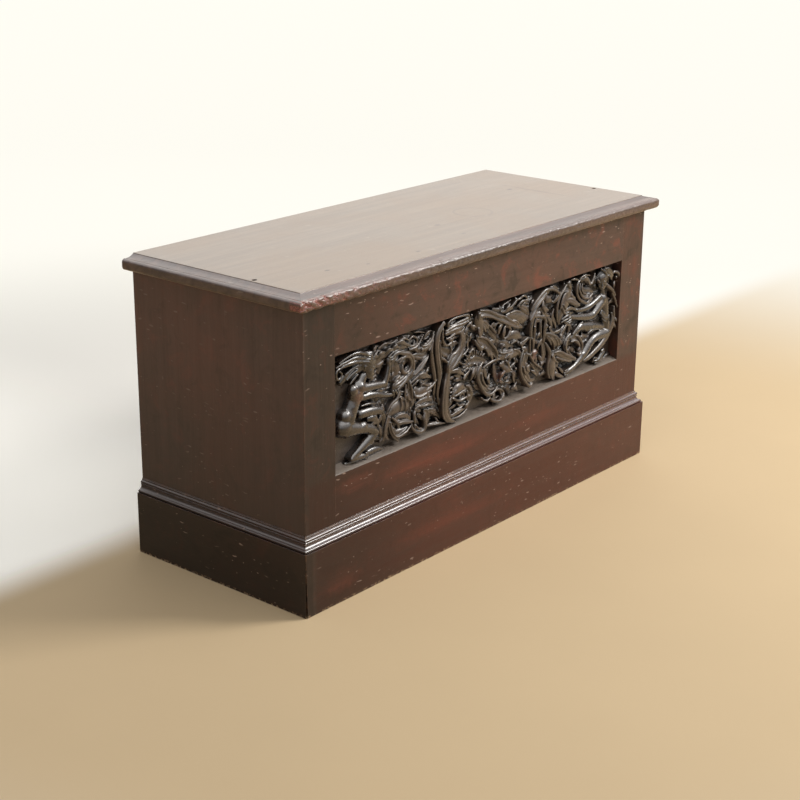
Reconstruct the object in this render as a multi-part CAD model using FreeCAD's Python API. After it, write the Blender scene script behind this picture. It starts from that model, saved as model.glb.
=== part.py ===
import FreeCAD, Part

import math
import os

V = FreeCAD.Vector

# A carved chest, in millimetres.
# X runs along the length, -Y is the carved front, +Z is up.
# The origin is on the floor, under the centre of the whole chest.

# Case
case_length = 1214.0
case_depth = 485.0
case_height = 639.0
wall = 27.0

# Front frame
stile_width = 90.5
top_rail_height = 113.5
bottom_rail_height = 233.0
bottom_rail_foot = 40.0
tenon_length = 50.0
tenon_thickness = 9.0
tenon_shoulder = 15.0
mortise_end_gap = 1.0

# Carved panel behind the front frame
panel_ground = 12.0
panel_lap = 18.0
sill_rise = 10.0
carving_margin = 0.5

# Lid
lid_thickness = 32.0
lid_end_overhang = 28.0
lid_front_overhang = 23.0
lid_edge_inset = 31.0
lid_front_board_width = 190.0
lid_middle_board_width = 150.0
lid_hole_diameter = 11.0
lid_hole_depth = 18.0
lid_hole_from_front = 164.0

# Lid battens
batten_width = 60.0
batten_thickness = 20.0
batten_inset = 240.0
batten_clearance = 10.0

# Plinth and base moulding
plinth_height = 139.5
plinth_thickness = 17.0
plinth_open_mitre = 4.0
moulding_height = 30.5
moulding_projection = 13.8

# Back boards
back_thickness = 22.0
back_land = 13.0
tongue_height = 8.0
tongue_thickness = 7.0
groove_play = 0.5

# Floor and its bearers
floor_top = 150.0
floor_thickness = 16.0
floor_gap = 1.0
bearer_width = 25.0
bearer_height = 25.0
glue_block_size = 20.0
foot_block_size = 40.0

# Hinges
hinge_inset = 187.0
leaf_length = 76.0
leaf_width = 20.0
leaf_thickness = 2.5
barrel_radius = 5.0
barrel_clearance = 0.3
pin_radius = 2.0
pin_play = 0.05
pin_head_radius = 4.0
pin_head_thickness = 1.5
knuckle_gap = 0.3

# Screws and nails
screw_radius = 1.75
screw_play = 0.1
screw_slot = 0.8
hinge_screw_length = 20.0
panel_screw_length = 30.0
bearer_screw_length = 41.0
plinth_screw_length = 37.0
plinth_screw_height = 75.0
batten_screw_length = 40.0
nail_radius = 1.4
nail_head_radius = 3.2
nail_head_thickness = 1.2
back_nail_length = 47.0
floor_nail_length = 36.0

# Repeated pieces
back_board_names = ("lower", "middle", "upper")
floor_board_names = ("front", "middle", "back")
knuckle_count = 5

# Places worked out from the sizes
half_case = case_length / 2
half_lid = half_case + lid_end_overhang
lid_depth = case_depth + lid_front_overhang
barrel_reach = barrel_clearance + 2 * barrel_radius
lid_front_y = -(lid_depth + barrel_reach) / 2
back_y = lid_front_y + lid_depth
front_y = back_y - case_depth
frame_back_y = front_y + wall
panel_back_y = frame_back_y + panel_ground
back_inner_y = back_y - back_thickness
pin_y = back_y + barrel_clearance + barrel_radius
lid_top_z = case_height + lid_thickness
half_inner = half_case - wall
half_recess = half_case - stile_width
recess_foot_z = bottom_rail_foot + bottom_rail_height
recess_head_z = case_height - top_rail_height
floor_under_z = floor_top - floor_thickness
bearer_under_z = floor_under_z - bearer_height
hinge_places = {"left": -half_case + hinge_inset, "middle": 0.0, "right": half_case - hinge_inset}

# Outline of the lid edge: share of the inset, share of the thickness down from the top.
# A pair of points is a round stretch: a point half way along it, then its end.
lid_edge_shares = (
    ((1.00, 0.04),),
    ((0.71, 0.20), (0.36, 0.25)),
    ((0.32, 0.30),),
    ((0.28, 0.245),),
    ((0.08, 0.30), (0.00, 0.44)),
    ((0.00, 0.72),),
    ((0.06, 0.90), (0.25, 1.00)),
)

# Outline of the base moulding: share of the projection, share of the height.
moulding_shares = (
    ((0.86, 0.00),),
    ((1.00, 0.09), (0.88, 0.19)),
    ((0.80, 0.205),),
    ((0.46, 0.31), (0.36, 0.46)),
    ((0.26, 0.49),),
    ((0.42, 0.56), (0.30, 0.62)),
    ((0.44, 0.72), (0.26, 0.82)),
    ((0.16, 0.84),),
    ((0.16, 0.93),),
    ((0.05, 0.95),),
    ((0.05, 1.00),),
)

# Carving, as shares of the recess: along its length, up its height, and
# for each point a half width as a share of the height. The first number of
# each row is how far the form stands up from the ground, as a share of the depth.
stem_shares = (
    (0.70, ((0.365, 0.95, 0.034), (0.348, 0.88, 0.040), (0.330, 0.76, 0.042), (0.338, 0.60, 0.036),
            (0.322, 0.46, 0.030), (0.300, 0.42, 0.022))),
    (0.85, ((0.425, 0.90, 0.044), (0.412, 0.76, 0.050), (0.386, 0.62, 0.056), (0.368, 0.52, 0.050),
            (0.347, 0.38, 0.056), (0.342, 0.23, 0.060), (0.360, 0.11, 0.050), (0.388, 0.05, 0.040),
            (0.424, 0.09, 0.034))),
    (0.75, ((0.353, 0.92, 0.030), (0.392, 0.92, 0.044), (0.426, 0.94, 0.030))),
    (0.75, ((0.474, 0.94, 0.040), (0.520, 0.88, 0.052), (0.565, 0.77, 0.044), (0.624, 0.67, 0.034))),
    (0.80, ((0.466, 0.88, 0.040), (0.450, 0.75, 0.050), (0.478, 0.62, 0.056), (0.520, 0.50, 0.044))),
    (0.60, ((0.484, 0.46, 0.026), (0.471, 0.34, 0.034), (0.484, 0.20, 0.036), (0.515, 0.10, 0.030),
            (0.552, 0.05, 0.022))),
    (0.80, ((0.655, 0.28, 0.030), (0.662, 0.52, 0.034), (0.660, 0.74, 0.036), (0.676, 0.87, 0.040),
            (0.716, 0.94, 0.036), (0.750, 0.88, 0.024))),
    (0.60, ((0.702, 0.30, 0.026), (0.704, 0.52, 0.028), (0.698, 0.68, 0.026))),
    (0.50, ((0.620, 0.42, 0.026), (0.634, 0.24, 0.030), (0.664, 0.08, 0.024))),
    (0.55, ((0.958, 0.84, 0.024), (0.985, 0.68, 0.026), (0.984, 0.48, 0.026), (0.950, 0.28, 0.024),
            (0.894, 0.14, 0.022))),
)
leaf_shares = (
    (0.55, (0.185, 0.86), (0.345, 0.84), 0.11),
    (0.50, (0.255, 0.70), (0.345, 0.60), 0.08),
    (0.60, (0.325, 0.46), (0.235, 0.42), 0.13),
    (0.65, (0.150, 0.40), (0.250, 0.18), 0.13),
    (0.45, (0.280, 0.30), (0.350, 0.08), 0.12),
    (0.60, (0.360, 0.50), (0.480, 0.58), 0.16),
    (0.55, (0.366, 0.84), (0.430, 0.60), 0.12),
    (0.55, (0.540, 0.92), (0.632, 0.80), 0.17),
    (0.50, (0.540, 0.64), (0.622, 0.60), 0.14),
    (0.60, (0.540, 0.44), (0.618, 0.34), 0.18),
    (0.50, (0.560, 0.30), (0.620, 0.10), 0.12),
    (0.60, (0.690, 0.92), (0.742, 0.72), 0.14),
    (0.65, (0.752, 0.84), (0.822, 0.66), 0.24),
    (0.60, (0.712, 0.52), (0.800, 0.30), 0.16),
    (0.55, (0.820, 0.40), (0.740, 0.16), 0.18),
    (0.45, (0.668, 0.10), (0.640, 0.34), 0.12),
)
ring_shares = (
    (0.80, (0.229, 0.72), 0.130, 0.050),
    (0.60, (0.275, 0.19), 0.090, 0.045),
    (0.60, (0.388, 0.24), 0.090, 0.040),
    (0.60, (0.842, 0.32), 0.110, 0.045),
    (0.75, (0.866, 0.83), 0.125, 0.060),
)
left_figure_shares = (
    (0.80, ((0.062, 0.66, 0.095), (0.034, 0.48, 0.085))),
    (0.85, ((0.030, 0.44, 0.100), (0.026, 0.36, 0.095))),
    (0.97, ((0.036, 0.38, 0.095), (0.118, 0.27, 0.060))),
    (0.75, ((0.120, 0.25, 0.050), (0.075, 0.18, 0.048), (0.046, 0.11, 0.034))),
    (0.65, ((0.060, 0.44, 0.075), (0.136, 0.41, 0.055), (0.140, 0.22, 0.032))),
    (0.65, ((0.040, 0.10, 0.030), (0.104, 0.05, 0.026))),
    (0.90, ((0.052, 0.69, 0.050), (0.104, 0.68, 0.040), (0.148, 0.66, 0.030))),
    (0.75, ((0.086, 0.57, 0.040), (0.126, 0.59, 0.036), (0.200, 0.51, 0.020))),
    (0.70, ((0.076, 0.74, 0.045), (0.080, 0.86, 0.080))),
    (0.55, ((0.070, 0.93, 0.030), (0.008, 0.92, 0.020))),
)
right_figure_shares = (
    (0.80, ((0.944, 0.66, 0.095), (0.972, 0.44, 0.075))),
    (0.80, ((0.974, 0.38, 0.070), (0.896, 0.36, 0.060), (0.868, 0.22, 0.040), (0.816, 0.07, 0.030))),
    (0.90, ((0.942, 0.68, 0.055), (0.902, 0.54, 0.045), (0.840, 0.60, 0.032), (0.782, 0.62, 0.030))),
    (0.60, ((0.960, 0.42, 0.060), (0.848, 0.49, 0.060))),
    (0.55, ((0.930, 0.11, 0.040), (0.960, 0.07, 0.036))),
    (0.80, ((0.920, 0.74, 0.040), (0.918, 0.85, 0.085))),
)

# Places of repeated fasteners, as shares of the length that they are spread over.
leaf_screw_shares = (-0.35, 0.0, 0.35)
long_edge_shares = (-0.9, -0.45, 0.0, 0.45, 0.9)
short_edge_shares = (-0.5, 0.5)
plinth_side_screw_shares = (-0.6, 0.0, 0.6)
batten_screw_shares = (-0.85, -0.30, 0.30, 0.85)
board_nail_shares = (0.3, 0.7)


# Shapes that several pieces use
def box(x0, x1, y0, y1, z0, z1):
    return Part.makeBox(x1 - x0, y1 - y0, z1 - z0, V(x0, y0, z0))


def prism(points, along):
    wire = Part.makePolygon(points + [points[0]])
    return Part.Face(wire).extrude(along)


def plan_prism(points, z0, z1):
    return prism([V(x, y, z0) for x, y in points], V(0, 0, z1 - z0))


def outline_face(start, rows, place, corners):
    # A flat face: the shaped edge from its start, then straight lines round the corners.
    edges = []
    last = place(*start)
    for row in rows:
        points = [place(*share) for share in row]
        if len(points) == 1:
            edges.append(Part.LineSegment(last, points[0]).toShape())
        else:
            edges.append(Part.Arc(last, points[0], points[1]).toShape())
        last = points[-1]
    for corner in corners + [place(*start)]:
        edges.append(Part.LineSegment(last, corner).toShape())
        last = corner
    return Part.Face(Part.Wire(edges))


def mirrored(shape):
    return shape.mirror(V(0, 0, 0), V(1, 0, 0))


def fused(shapes):
    whole = shapes[0]
    if len(shapes) > 1:
        whole = whole.multiFuse(shapes[1:])
    return whole.removeSplitter()


def save(name, shape):
    shape.exportStep("parts/" + name + ".step")


def screw(head, way, length, play=0.0):
    radius = screw_radius + play
    head_radius = 2 * screw_radius + play
    head_height = head_radius - radius
    point_length = 2 * screw_radius
    body = Part.makeCone(head_radius, radius, head_height, head, way)
    shank_start = head + way * head_height
    shank = Part.makeCylinder(radius, length - head_height - point_length, shank_start, way)
    point_start = head + way * (length - point_length)
    point = Part.makeCone(radius, 0, point_length + play, point_start, way)
    return fused([body, shank, point])


def slotted_screw(head, way, across, length):
    slot_reach = 2 * screw_radius
    side = way.cross(across)
    corner = head - across * slot_reach - side * (screw_slot / 2)
    points = [
        corner,
        corner + across * (2 * slot_reach),
        corner + across * (2 * slot_reach) + side * screw_slot,
        corner + side * screw_slot,
    ]
    return screw(head, way, length).cut(prism(points, way * screw_slot))


def screws(places, length):
    return Part.makeCompound([slotted_screw(head, way, across, length) for head, way, across in places])


def screw_holes(places, length):
    return [screw(head, way, length, screw_play) for head, way, across in places]


def nail(head, way, length, play=0.0):
    cap = Part.makeCylinder(nail_head_radius + play, nail_head_thickness, head, way)
    shank_start = head + way * nail_head_thickness
    shank = Part.makeCylinder(nail_radius + play, length - nail_head_thickness + play, shank_start, way)
    return fused([cap, shank])


def nails(places, length):
    return Part.makeCompound([nail(head, way, length) for head, way in places])


def nail_holes(places, length):
    return [nail(head, way, length, screw_play) for head, way in places]


# Places of the fasteners
def leaf_screw_places(side_up):
    places = []
    for hinge_x in hinge_places.values():
        for share in leaf_screw_shares:
            head = V(hinge_x + share * leaf_length, back_y - leaf_width / 2, case_height)
            places.append((head, V(0, 0, side_up), V(1, 0, 0)))
    return places


def panel_screw_places():
    places = []
    half_length = half_recess + panel_lap / 2
    low_z = recess_foot_z - panel_lap / 2
    high_z = recess_head_z + panel_lap / 2
    middle_z = (low_z + high_z) / 2
    for share in long_edge_shares:
        for z in (low_z, high_z):
            places.append((V(share * half_length, panel_back_y, z), V(0, -1, 0), V(1, 0, 0)))
    for side in (-1, 1):
        places.append((V(side * half_length, panel_back_y, middle_z), V(0, -1, 0), V(1, 0, 0)))
    return places


def bearer_screw_places():
    places = []
    z = (floor_under_z + bearer_under_z) / 2
    for share in long_edge_shares:
        x = share * (half_inner - bearer_width)
        places.append((V(x, frame_back_y + bearer_width, z), V(0, -1, 0), V(1, 0, 0)))
        places.append((V(x, back_inner_y - bearer_width, z), V(0, 1, 0), V(1, 0, 0)))
    middle_y = (frame_back_y + back_inner_y) / 2
    half_run = (back_inner_y - frame_back_y) / 2 - bearer_width
    for share in short_edge_shares:
        for side in (-1, 1):
            head = V(side * (half_inner - bearer_width), middle_y + share * half_run, z)
            places.append((head, V(side, 0, 0), V(0, 1, 0)))
    return places


def plinth_screw_places():
    places = []
    for share in long_edge_shares:
        x = share * (half_inner - foot_block_size)
        places.append((V(x, frame_back_y, plinth_screw_height), V(0, -1, 0), V(1, 0, 0)))
    middle_y = (frame_back_y + back_inner_y) / 2
    half_run = (back_inner_y - frame_back_y) / 2 - foot_block_size
    for share in plinth_side_screw_shares:
        for side in (-1, 1):
            head = V(side * half_inner, middle_y + share * half_run, plinth_screw_height)
            places.append((head, V(side, 0, 0), V(0, 1, 0)))
    return places


def batten_screw_places():
    places = []
    middle_y = (batten_front_y() + batten_back_y()) / 2
    half_run = (batten_back_y() - batten_front_y()) / 2
    for side in (-1, 1):
        for share in batten_screw_shares:
            head = V(side * (half_case - batten_inset), middle_y + share * half_run,
                     case_height - batten_thickness)
            places.append((head, V(0, 0, 1), V(1, 0, 0)))
    return places


def back_nail_places():
    places = []
    board_height = case_height / len(back_board_names)
    nail_x = half_case - (back_land + wall) / 2
    for number in range(len(back_board_names)):
        for share in board_nail_shares:
            for side in (-1, 1):
                head = V(side * nail_x, back_y, (number + share) * board_height)
                places.append((head, V(0, -1, 0)))
    return places


def floor_nail_places():
    places = []
    nail_x = half_inner - bearer_width / 2
    for number in range(len(floor_board_names)):
        y0, y1 = floor_board_edges(number)
        for share in board_nail_shares:
            for side in (-1, 1):
                head = V(side * nail_x, y0 + share * (y1 - y0), floor_top)
                places.append((head, V(0, 0, -1)))
    return places


# Case: front frame
def front_stile():
    # The left stile, mitred to the end board.
    plan = [(-half_case, front_y), (-half_recess, front_y), (-half_recess, frame_back_y),
            (-half_inner, frame_back_y)]
    stile = plan_prism(plan, 0, case_height)
    depth = tenon_length + mortise_end_gap
    middle_y = (front_y + frame_back_y) / 2
    for foot, head in (top_tenon_span(), bottom_tenon_span()):
        stile = stile.cut(box(-half_recess - depth, -half_recess, middle_y - tenon_thickness / 2,
                              middle_y + tenon_thickness / 2, foot, head))
    return stile.cut(panel_screw_holes())


def top_tenon_span():
    return recess_head_z + tenon_shoulder, case_height - 2 * tenon_shoulder


def bottom_tenon_span():
    return bottom_rail_foot + tenon_shoulder, recess_foot_z - tenon_shoulder


def rail(foot, head, tenon_span):
    body = box(-half_recess, half_recess, front_y, frame_back_y, foot, head)
    middle_y = (front_y + frame_back_y) / 2
    reach = half_recess + tenon_length
    tenon = box(-reach, reach, middle_y - tenon_thickness / 2, middle_y + tenon_thickness / 2, *tenon_span)
    return fused([body, tenon])


def panel_screw_holes():
    return screw_holes(panel_screw_places(), panel_screw_length)


def top_rail():
    return rail(recess_head_z, case_height, top_tenon_span()).cut(panel_screw_holes())


def bottom_rail():
    holes = panel_screw_holes() + screw_holes(bearer_screw_places(), bearer_screw_length)
    holes += screw_holes(plinth_screw_places(), plinth_screw_length)
    return rail(bottom_rail_foot, recess_foot_z, bottom_tenon_span()).cut(holes)


# Case: carved panel
def recess_point(share, y):
    u, v = share
    recess_height = recess_head_z - recess_foot_z
    return V(-half_recess + u * 2 * half_recess, y, recess_foot_z + v * recess_height)


def limb_face(first, second, first_radius, second_radius):
    # A flat form with a round end at each point and straight sides that touch both ends.
    along = second - first
    distance = along.Length
    along.normalize()
    turn = math.acos((first_radius - second_radius) / distance)
    across = V(along.z, 0, -along.x)
    upper = along * math.cos(turn) + across * math.sin(turn)
    lower = along * math.cos(turn) - across * math.sin(turn)
    first_up = first + upper * first_radius
    first_down = first + lower * first_radius
    second_up = second + upper * second_radius
    second_down = second + lower * second_radius
    edges = [
        Part.LineSegment(first_up, second_up).toShape(),
        Part.Arc(second_up, second + along * second_radius, second_down).toShape(),
        Part.LineSegment(second_down, first_down).toShape(),
        Part.Arc(first_down, first - along * first_radius, first_up).toShape(),
    ]
    return Part.Face(Part.Wire(edges))


def raised(face, height_share, start_y):
    return face.extrude(V(0, frame_back_y - start_y - height_share * wall, 0))


def carved_chain(row, start_y):
    height_share, points = row
    recess_height = recess_head_z - recess_foot_z
    forms = []
    for first, second in zip(points[:-1], points[1:]):
        face = limb_face(recess_point(first[:2], start_y), recess_point(second[:2], start_y),
                         first[2] * recess_height, second[2] * recess_height)
        forms.append(raised(face, height_share, start_y))
    return forms


def carved_leaf(row, start_y):
    height_share, base_share, tip_share, width_share = row
    base = recess_point(base_share, start_y)
    tip = recess_point(tip_share, start_y)
    along = tip - base
    across = V(along.z, 0, -along.x)
    across.normalize()
    half_width = width_share * (recess_head_z - recess_foot_z) / 2
    middle = (base + tip) * 0.5
    edges = [
        Part.Arc(base, middle + across * half_width, tip).toShape(),
        Part.Arc(tip, middle - across * half_width, base).toShape(),
    ]
    return raised(Part.Face(Part.Wire(edges)), height_share, start_y)


def carved_ring(row, start_y):
    height_share, centre_share, outer_share, inner_share = row
    recess_height = recess_head_z - recess_foot_z
    centre = recess_point(centre_share, start_y)
    height = frame_back_y - start_y - height_share * wall
    way = V(0, -1, 0)
    outer = Part.makeCylinder(outer_share * recess_height, -height, centre, way)
    inner = Part.makeCylinder(inner_share * recess_height, -height, centre, way)
    return outer.cut(inner)


def carved_panel():
    plate = box(-half_recess - panel_lap, half_recess + panel_lap, frame_back_y, panel_back_y,
                recess_foot_z - panel_lap, recess_head_z + panel_lap)
    sill_points = [V(-half_recess, front_y, recess_foot_z), V(-half_recess, frame_back_y, recess_foot_z),
                   V(-half_recess, frame_back_y, recess_foot_z + sill_rise)]
    sill = prism(sill_points, V(2 * half_recess, 0, 0))
    start_y = frame_back_y + panel_ground / 2
    forms = []
    for row in stem_shares + left_figure_shares + right_figure_shares:
        forms += carved_chain(row, start_y)
    forms += [carved_leaf(row, start_y) for row in leaf_shares]
    forms += [carved_ring(row, start_y) for row in ring_shares]
    room = box(-half_recess + carving_margin, half_recess - carving_margin, front_y, panel_back_y,
               recess_foot_z + carving_margin, recess_head_z - carving_margin)
    relief = fused(forms).common(room)
    return fused([plate, sill, relief]).cut(panel_screw_holes())


# Case: ends, back, floor and blocks
def end_board():
    # The left end board, mitred to the stile and rebated for the back boards.
    plan = [(-half_case, front_y), (-half_inner, frame_back_y), (-half_inner, back_inner_y),
            (-half_case + back_land, back_inner_y), (-half_case + back_land, back_y), (-half_case, back_y)]
    holes = screw_holes(bearer_screw_places(), bearer_screw_length)
    holes += screw_holes(plinth_screw_places(), plinth_screw_length)
    holes += nail_holes(back_nail_places(), back_nail_length)
    return plan_prism(plan, 0, case_height).cut(holes)


def back_board(number):
    last = len(back_board_names) - 1
    board_height = case_height / len(back_board_names)
    foot = number * board_height
    head = foot + board_height
    half_length = half_case - back_land
    board = box(-half_length, half_length, back_inner_y, back_y, foot, head)
    middle_y = (back_inner_y + back_y) / 2
    if number < last:
        board = fused([board, box(-half_length, half_length, middle_y - tongue_thickness / 2,
                                  middle_y + tongue_thickness / 2, foot, head + tongue_height)])
    if number > 0:
        board = board.cut(box(-half_length, half_length, middle_y - tongue_thickness / 2,
                              middle_y + tongue_thickness / 2, foot, foot + tongue_height + groove_play))
    if number == last:
        board = board.cut([case_leaf_room(hinge_x) for hinge_x in hinge_places.values()])
        board = board.cut(screw_holes(leaf_screw_places(-1), hinge_screw_length))
    holes = nail_holes(back_nail_places(), back_nail_length)
    holes += screw_holes(bearer_screw_places(), bearer_screw_length)
    return board.cut(holes)


def floor_board_edges(number):
    inner_depth = back_inner_y - frame_back_y
    board_width = (inner_depth - floor_gap) / len(floor_board_names) - floor_gap
    y0 = frame_back_y + floor_gap + number * (board_width + floor_gap)
    return y0, y0 + board_width


def floor_board(number):
    y0, y1 = floor_board_edges(number)
    half_length = half_inner - floor_gap
    board = box(-half_length, half_length, y0, y1, floor_under_z, floor_top)
    return board.cut(nail_holes(floor_nail_places(), floor_nail_length))


def long_bearer(y0, y1):
    bearer = box(-half_inner, half_inner, y0, y1, bearer_under_z, floor_under_z)
    return bearer.cut(bearer_holes())


def bearer_holes():
    holes = screw_holes(bearer_screw_places(), bearer_screw_length)
    return holes + nail_holes(floor_nail_places(), floor_nail_length)


def side_bearer():
    bearer = box(-half_inner, -half_inner + bearer_width, frame_back_y + bearer_width,
                 back_inner_y - bearer_width, bearer_under_z, floor_under_z)
    return bearer.cut(bearer_holes())


def glue_block():
    return box(-half_inner, -half_inner + glue_block_size, frame_back_y, frame_back_y + glue_block_size,
               floor_top, case_height)


def foot_block(y0):
    return box(-half_inner, -half_inner + foot_block_size, y0, y0 + foot_block_size, 0, bearer_under_z)


# Plinth and base moulding
def plinth_front():
    # The left mitre stands open at the foot, as a ruled wedge.
    def plan_wire(open_by, z):
        outer_x = half_case + plinth_thickness
        outer_y = front_y - plinth_thickness
        points = [V(-outer_x + open_by, outer_y, z), V(outer_x, outer_y, z), V(half_case, front_y, z),
                  V(-half_case + open_by, front_y, z)]
        return Part.makePolygon(points + [points[0]])

    board = Part.makeLoft([plan_wire(plinth_open_mitre, 0), plan_wire(0, plinth_height)], True, True)
    return board.cut(screw_holes(plinth_screw_places(), plinth_screw_length))


def side_plan(projection):
    return [(-half_case - projection, front_y - projection), (-half_case, front_y),
            (-half_case, back_y), (-half_case - projection, back_y)]


def front_plan(projection):
    outer_x = half_case + projection
    return [(-outer_x, front_y - projection), (outer_x, front_y - projection), (half_case, front_y),
            (-half_case, front_y)]


def plinth_side():
    board = plan_prism(side_plan(plinth_thickness), 0, plinth_height)
    return board.cut(screw_holes(plinth_screw_places(), plinth_screw_length))


def moulding_front():
    start_x = -half_case - moulding_projection

    def place(out_share, up_share):
        return V(start_x, front_y - out_share * moulding_projection, plinth_height + up_share * moulding_height)

    run = outline_face((0, 0), moulding_shares, place, [place(0, 1)]).extrude(V(-2 * start_x, 0, 0))
    return run.common(plan_prism(front_plan(moulding_projection), plinth_height,
                                 plinth_height + moulding_height))


def moulding_side():
    start_y = front_y - moulding_projection

    def place(out_share, up_share):
        return V(-half_case - out_share * moulding_projection, start_y,
                 plinth_height + up_share * moulding_height)

    run = outline_face((0, 0), moulding_shares, place, [place(0, 1)]).extrude(V(0, back_y - start_y, 0))
    return run.common(plan_prism(side_plan(moulding_projection), plinth_height,
                                 plinth_height + moulding_height))


# Lid
def lid_blank():
    def front_place(inset_share, drop_share):
        return V(-half_lid, lid_front_y + inset_share * lid_edge_inset, lid_top_z - drop_share * lid_thickness)

    corners = [V(-half_lid, back_y, case_height), V(-half_lid, back_y, lid_top_z)]
    front_face = outline_face((1, 0), lid_edge_shares, front_place, corners)
    along = front_face.extrude(V(2 * half_lid, 0, 0))

    def left_place(inset_share, drop_share):
        return V(-half_lid + inset_share * lid_edge_inset, lid_front_y, lid_top_z - drop_share * lid_thickness)

    corners = [V(0, lid_front_y, case_height), V(0, lid_front_y, lid_top_z)]
    left_face = outline_face((1, 0), lid_edge_shares, left_place, corners)
    left_half = left_face.extrude(V(0, lid_depth, 0))
    across = fused([left_half, mirrored(left_half)])
    return along.common(across)


def lid_cutters():
    hole_y = lid_front_y + lid_hole_from_front
    hole_x = half_case - wall / 2
    cutters = []
    for side in (-1, 1):
        cutters.append(Part.makeCylinder(lid_hole_diameter / 2, lid_hole_depth,
                                         V(side * hole_x, hole_y, lid_top_z), V(0, 0, -1)))
    cutters += [lid_leaf_room(hinge_x) for hinge_x in hinge_places.values()]
    cutters += screw_holes(leaf_screw_places(1), hinge_screw_length)
    cutters += screw_holes(batten_screw_places(), batten_screw_length)
    return cutters


def lid_board(blank, y0, y1):
    return blank.common(box(-half_lid, half_lid, y0, y1, case_height, lid_top_z)).cut(lid_cutters())


def batten_front_y():
    return panel_back_y + batten_clearance


def batten_back_y():
    return back_inner_y - batten_clearance


def lid_batten():
    middle_x = -half_case + batten_inset
    batten = box(middle_x - batten_width / 2, middle_x + batten_width / 2, batten_front_y(), batten_back_y(),
                 case_height - batten_thickness, case_height)
    return batten.cut(screw_holes(batten_screw_places(), batten_screw_length))


# Hinges
def case_leaf_room(hinge_x):
    return box(hinge_x - leaf_length / 2, hinge_x + leaf_length / 2, back_y - leaf_width, back_y,
               case_height - leaf_thickness, case_height)


def lid_leaf_room(hinge_x):
    return box(hinge_x - leaf_length / 2, hinge_x + leaf_length / 2, back_y - leaf_width, back_y,
               case_height, case_height + leaf_thickness)


def knuckles(hinge_x, first, z0, z1):
    pitch = leaf_length / knuckle_count
    pieces = []
    for number in range(first, knuckle_count, 2):
        x0 = hinge_x - leaf_length / 2 + number * pitch + knuckle_gap / 2
        x1 = x0 + pitch - knuckle_gap
        strap = box(x0, x1, back_y, pin_y, z0, z1)
        barrel = Part.makeCylinder(barrel_radius, x1 - x0, V(x0, pin_y, case_height), V(1, 0, 0))
        bore = Part.makeCylinder(pin_radius + pin_play, x1 - x0, V(x0, pin_y, case_height), V(1, 0, 0))
        pieces.append(strap.fuse(barrel).cut(bore))
    return pieces


def case_leaf(hinge_x):
    pieces = knuckles(hinge_x, 0, case_height - leaf_thickness, case_height)
    leaf = fused([case_leaf_room(hinge_x)] + pieces)
    return leaf.cut(screw_holes(leaf_screw_places(-1), hinge_screw_length))


def lid_leaf(hinge_x):
    pieces = knuckles(hinge_x, 1, case_height, case_height + leaf_thickness)
    leaf = fused([lid_leaf_room(hinge_x)] + pieces)
    return leaf.cut(screw_holes(leaf_screw_places(1), hinge_screw_length))


def hinge_pin(hinge_x):
    half_pin = (leaf_length - knuckle_gap) / 2
    start = V(hinge_x - half_pin, pin_y, case_height)
    end = V(hinge_x + half_pin, pin_y, case_height)
    pin = Part.makeCylinder(pin_radius, 2 * half_pin, start, V(1, 0, 0))
    left_head = Part.makeCylinder(pin_head_radius, pin_head_thickness, start, V(-1, 0, 0))
    right_head = Part.makeCylinder(pin_head_radius, pin_head_thickness, end, V(1, 0, 0))
    return fused([pin, left_head, right_head])


def save_case():
    save("front_top_rail", top_rail())
    save("front_bottom_rail", bottom_rail())
    stile = front_stile()
    save("front_left_stile", stile)
    save("front_right_stile", mirrored(stile))
    save("carved_panel", carved_panel())
    end = end_board()
    save("left_end_board", end)
    save("right_end_board", mirrored(end))
    for number, name in enumerate(back_board_names):
        save("back_board_" + name, back_board(number))
    for number, name in enumerate(floor_board_names):
        save("floor_board_" + name, floor_board(number))
    save("floor_bearer_front", long_bearer(frame_back_y, frame_back_y + bearer_width))
    save("floor_bearer_back", long_bearer(back_inner_y - bearer_width, back_inner_y))
    bearer = side_bearer()
    save("floor_bearer_left", bearer)
    save("floor_bearer_right", mirrored(bearer))
    block = glue_block()
    save("glue_block_left", block)
    save("glue_block_right", mirrored(block))
    for place, y0 in (("front", frame_back_y), ("back", back_inner_y - foot_block_size)):
        foot = foot_block(y0)
        save("foot_block_" + place + "_left", foot)
        save("foot_block_" + place + "_right", mirrored(foot))


def save_plinth():
    save("plinth_front", plinth_front())
    side = plinth_side()
    save("plinth_left", side)
    save("plinth_right", mirrored(side))
    save("base_moulding_front", moulding_front())
    side = moulding_side()
    save("base_moulding_left", side)
    save("base_moulding_right", mirrored(side))


def save_lid():
    blank = lid_blank()
    first_joint = lid_front_y + lid_front_board_width
    second_joint = first_joint + lid_middle_board_width
    save("lid_board_front", lid_board(blank, lid_front_y, first_joint))
    save("lid_board_middle", lid_board(blank, first_joint, second_joint))
    save("lid_board_back", lid_board(blank, second_joint, back_y))
    batten = lid_batten()
    save("lid_batten_left", batten)
    save("lid_batten_right", mirrored(batten))


def save_hinges():
    for name, hinge_x in hinge_places.items():
        save("hinge_" + name + "_case_leaf", case_leaf(hinge_x))
        save("hinge_" + name + "_lid_leaf", lid_leaf(hinge_x))
        save("hinge_" + name + "_pin", hinge_pin(hinge_x))


def save_fasteners():
    save("case_hinge_screws", screws(leaf_screw_places(-1), hinge_screw_length))
    save("lid_hinge_screws", screws(leaf_screw_places(1), hinge_screw_length))
    save("panel_screws", screws(panel_screw_places(), panel_screw_length))
    save("bearer_screws", screws(bearer_screw_places(), bearer_screw_length))
    save("plinth_screws", screws(plinth_screw_places(), plinth_screw_length))
    save("lid_batten_screws", screws(batten_screw_places(), batten_screw_length))
    save("back_nails", nails(back_nail_places(), back_nail_length))
    save("floor_nails", nails(floor_nail_places(), floor_nail_length))


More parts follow.
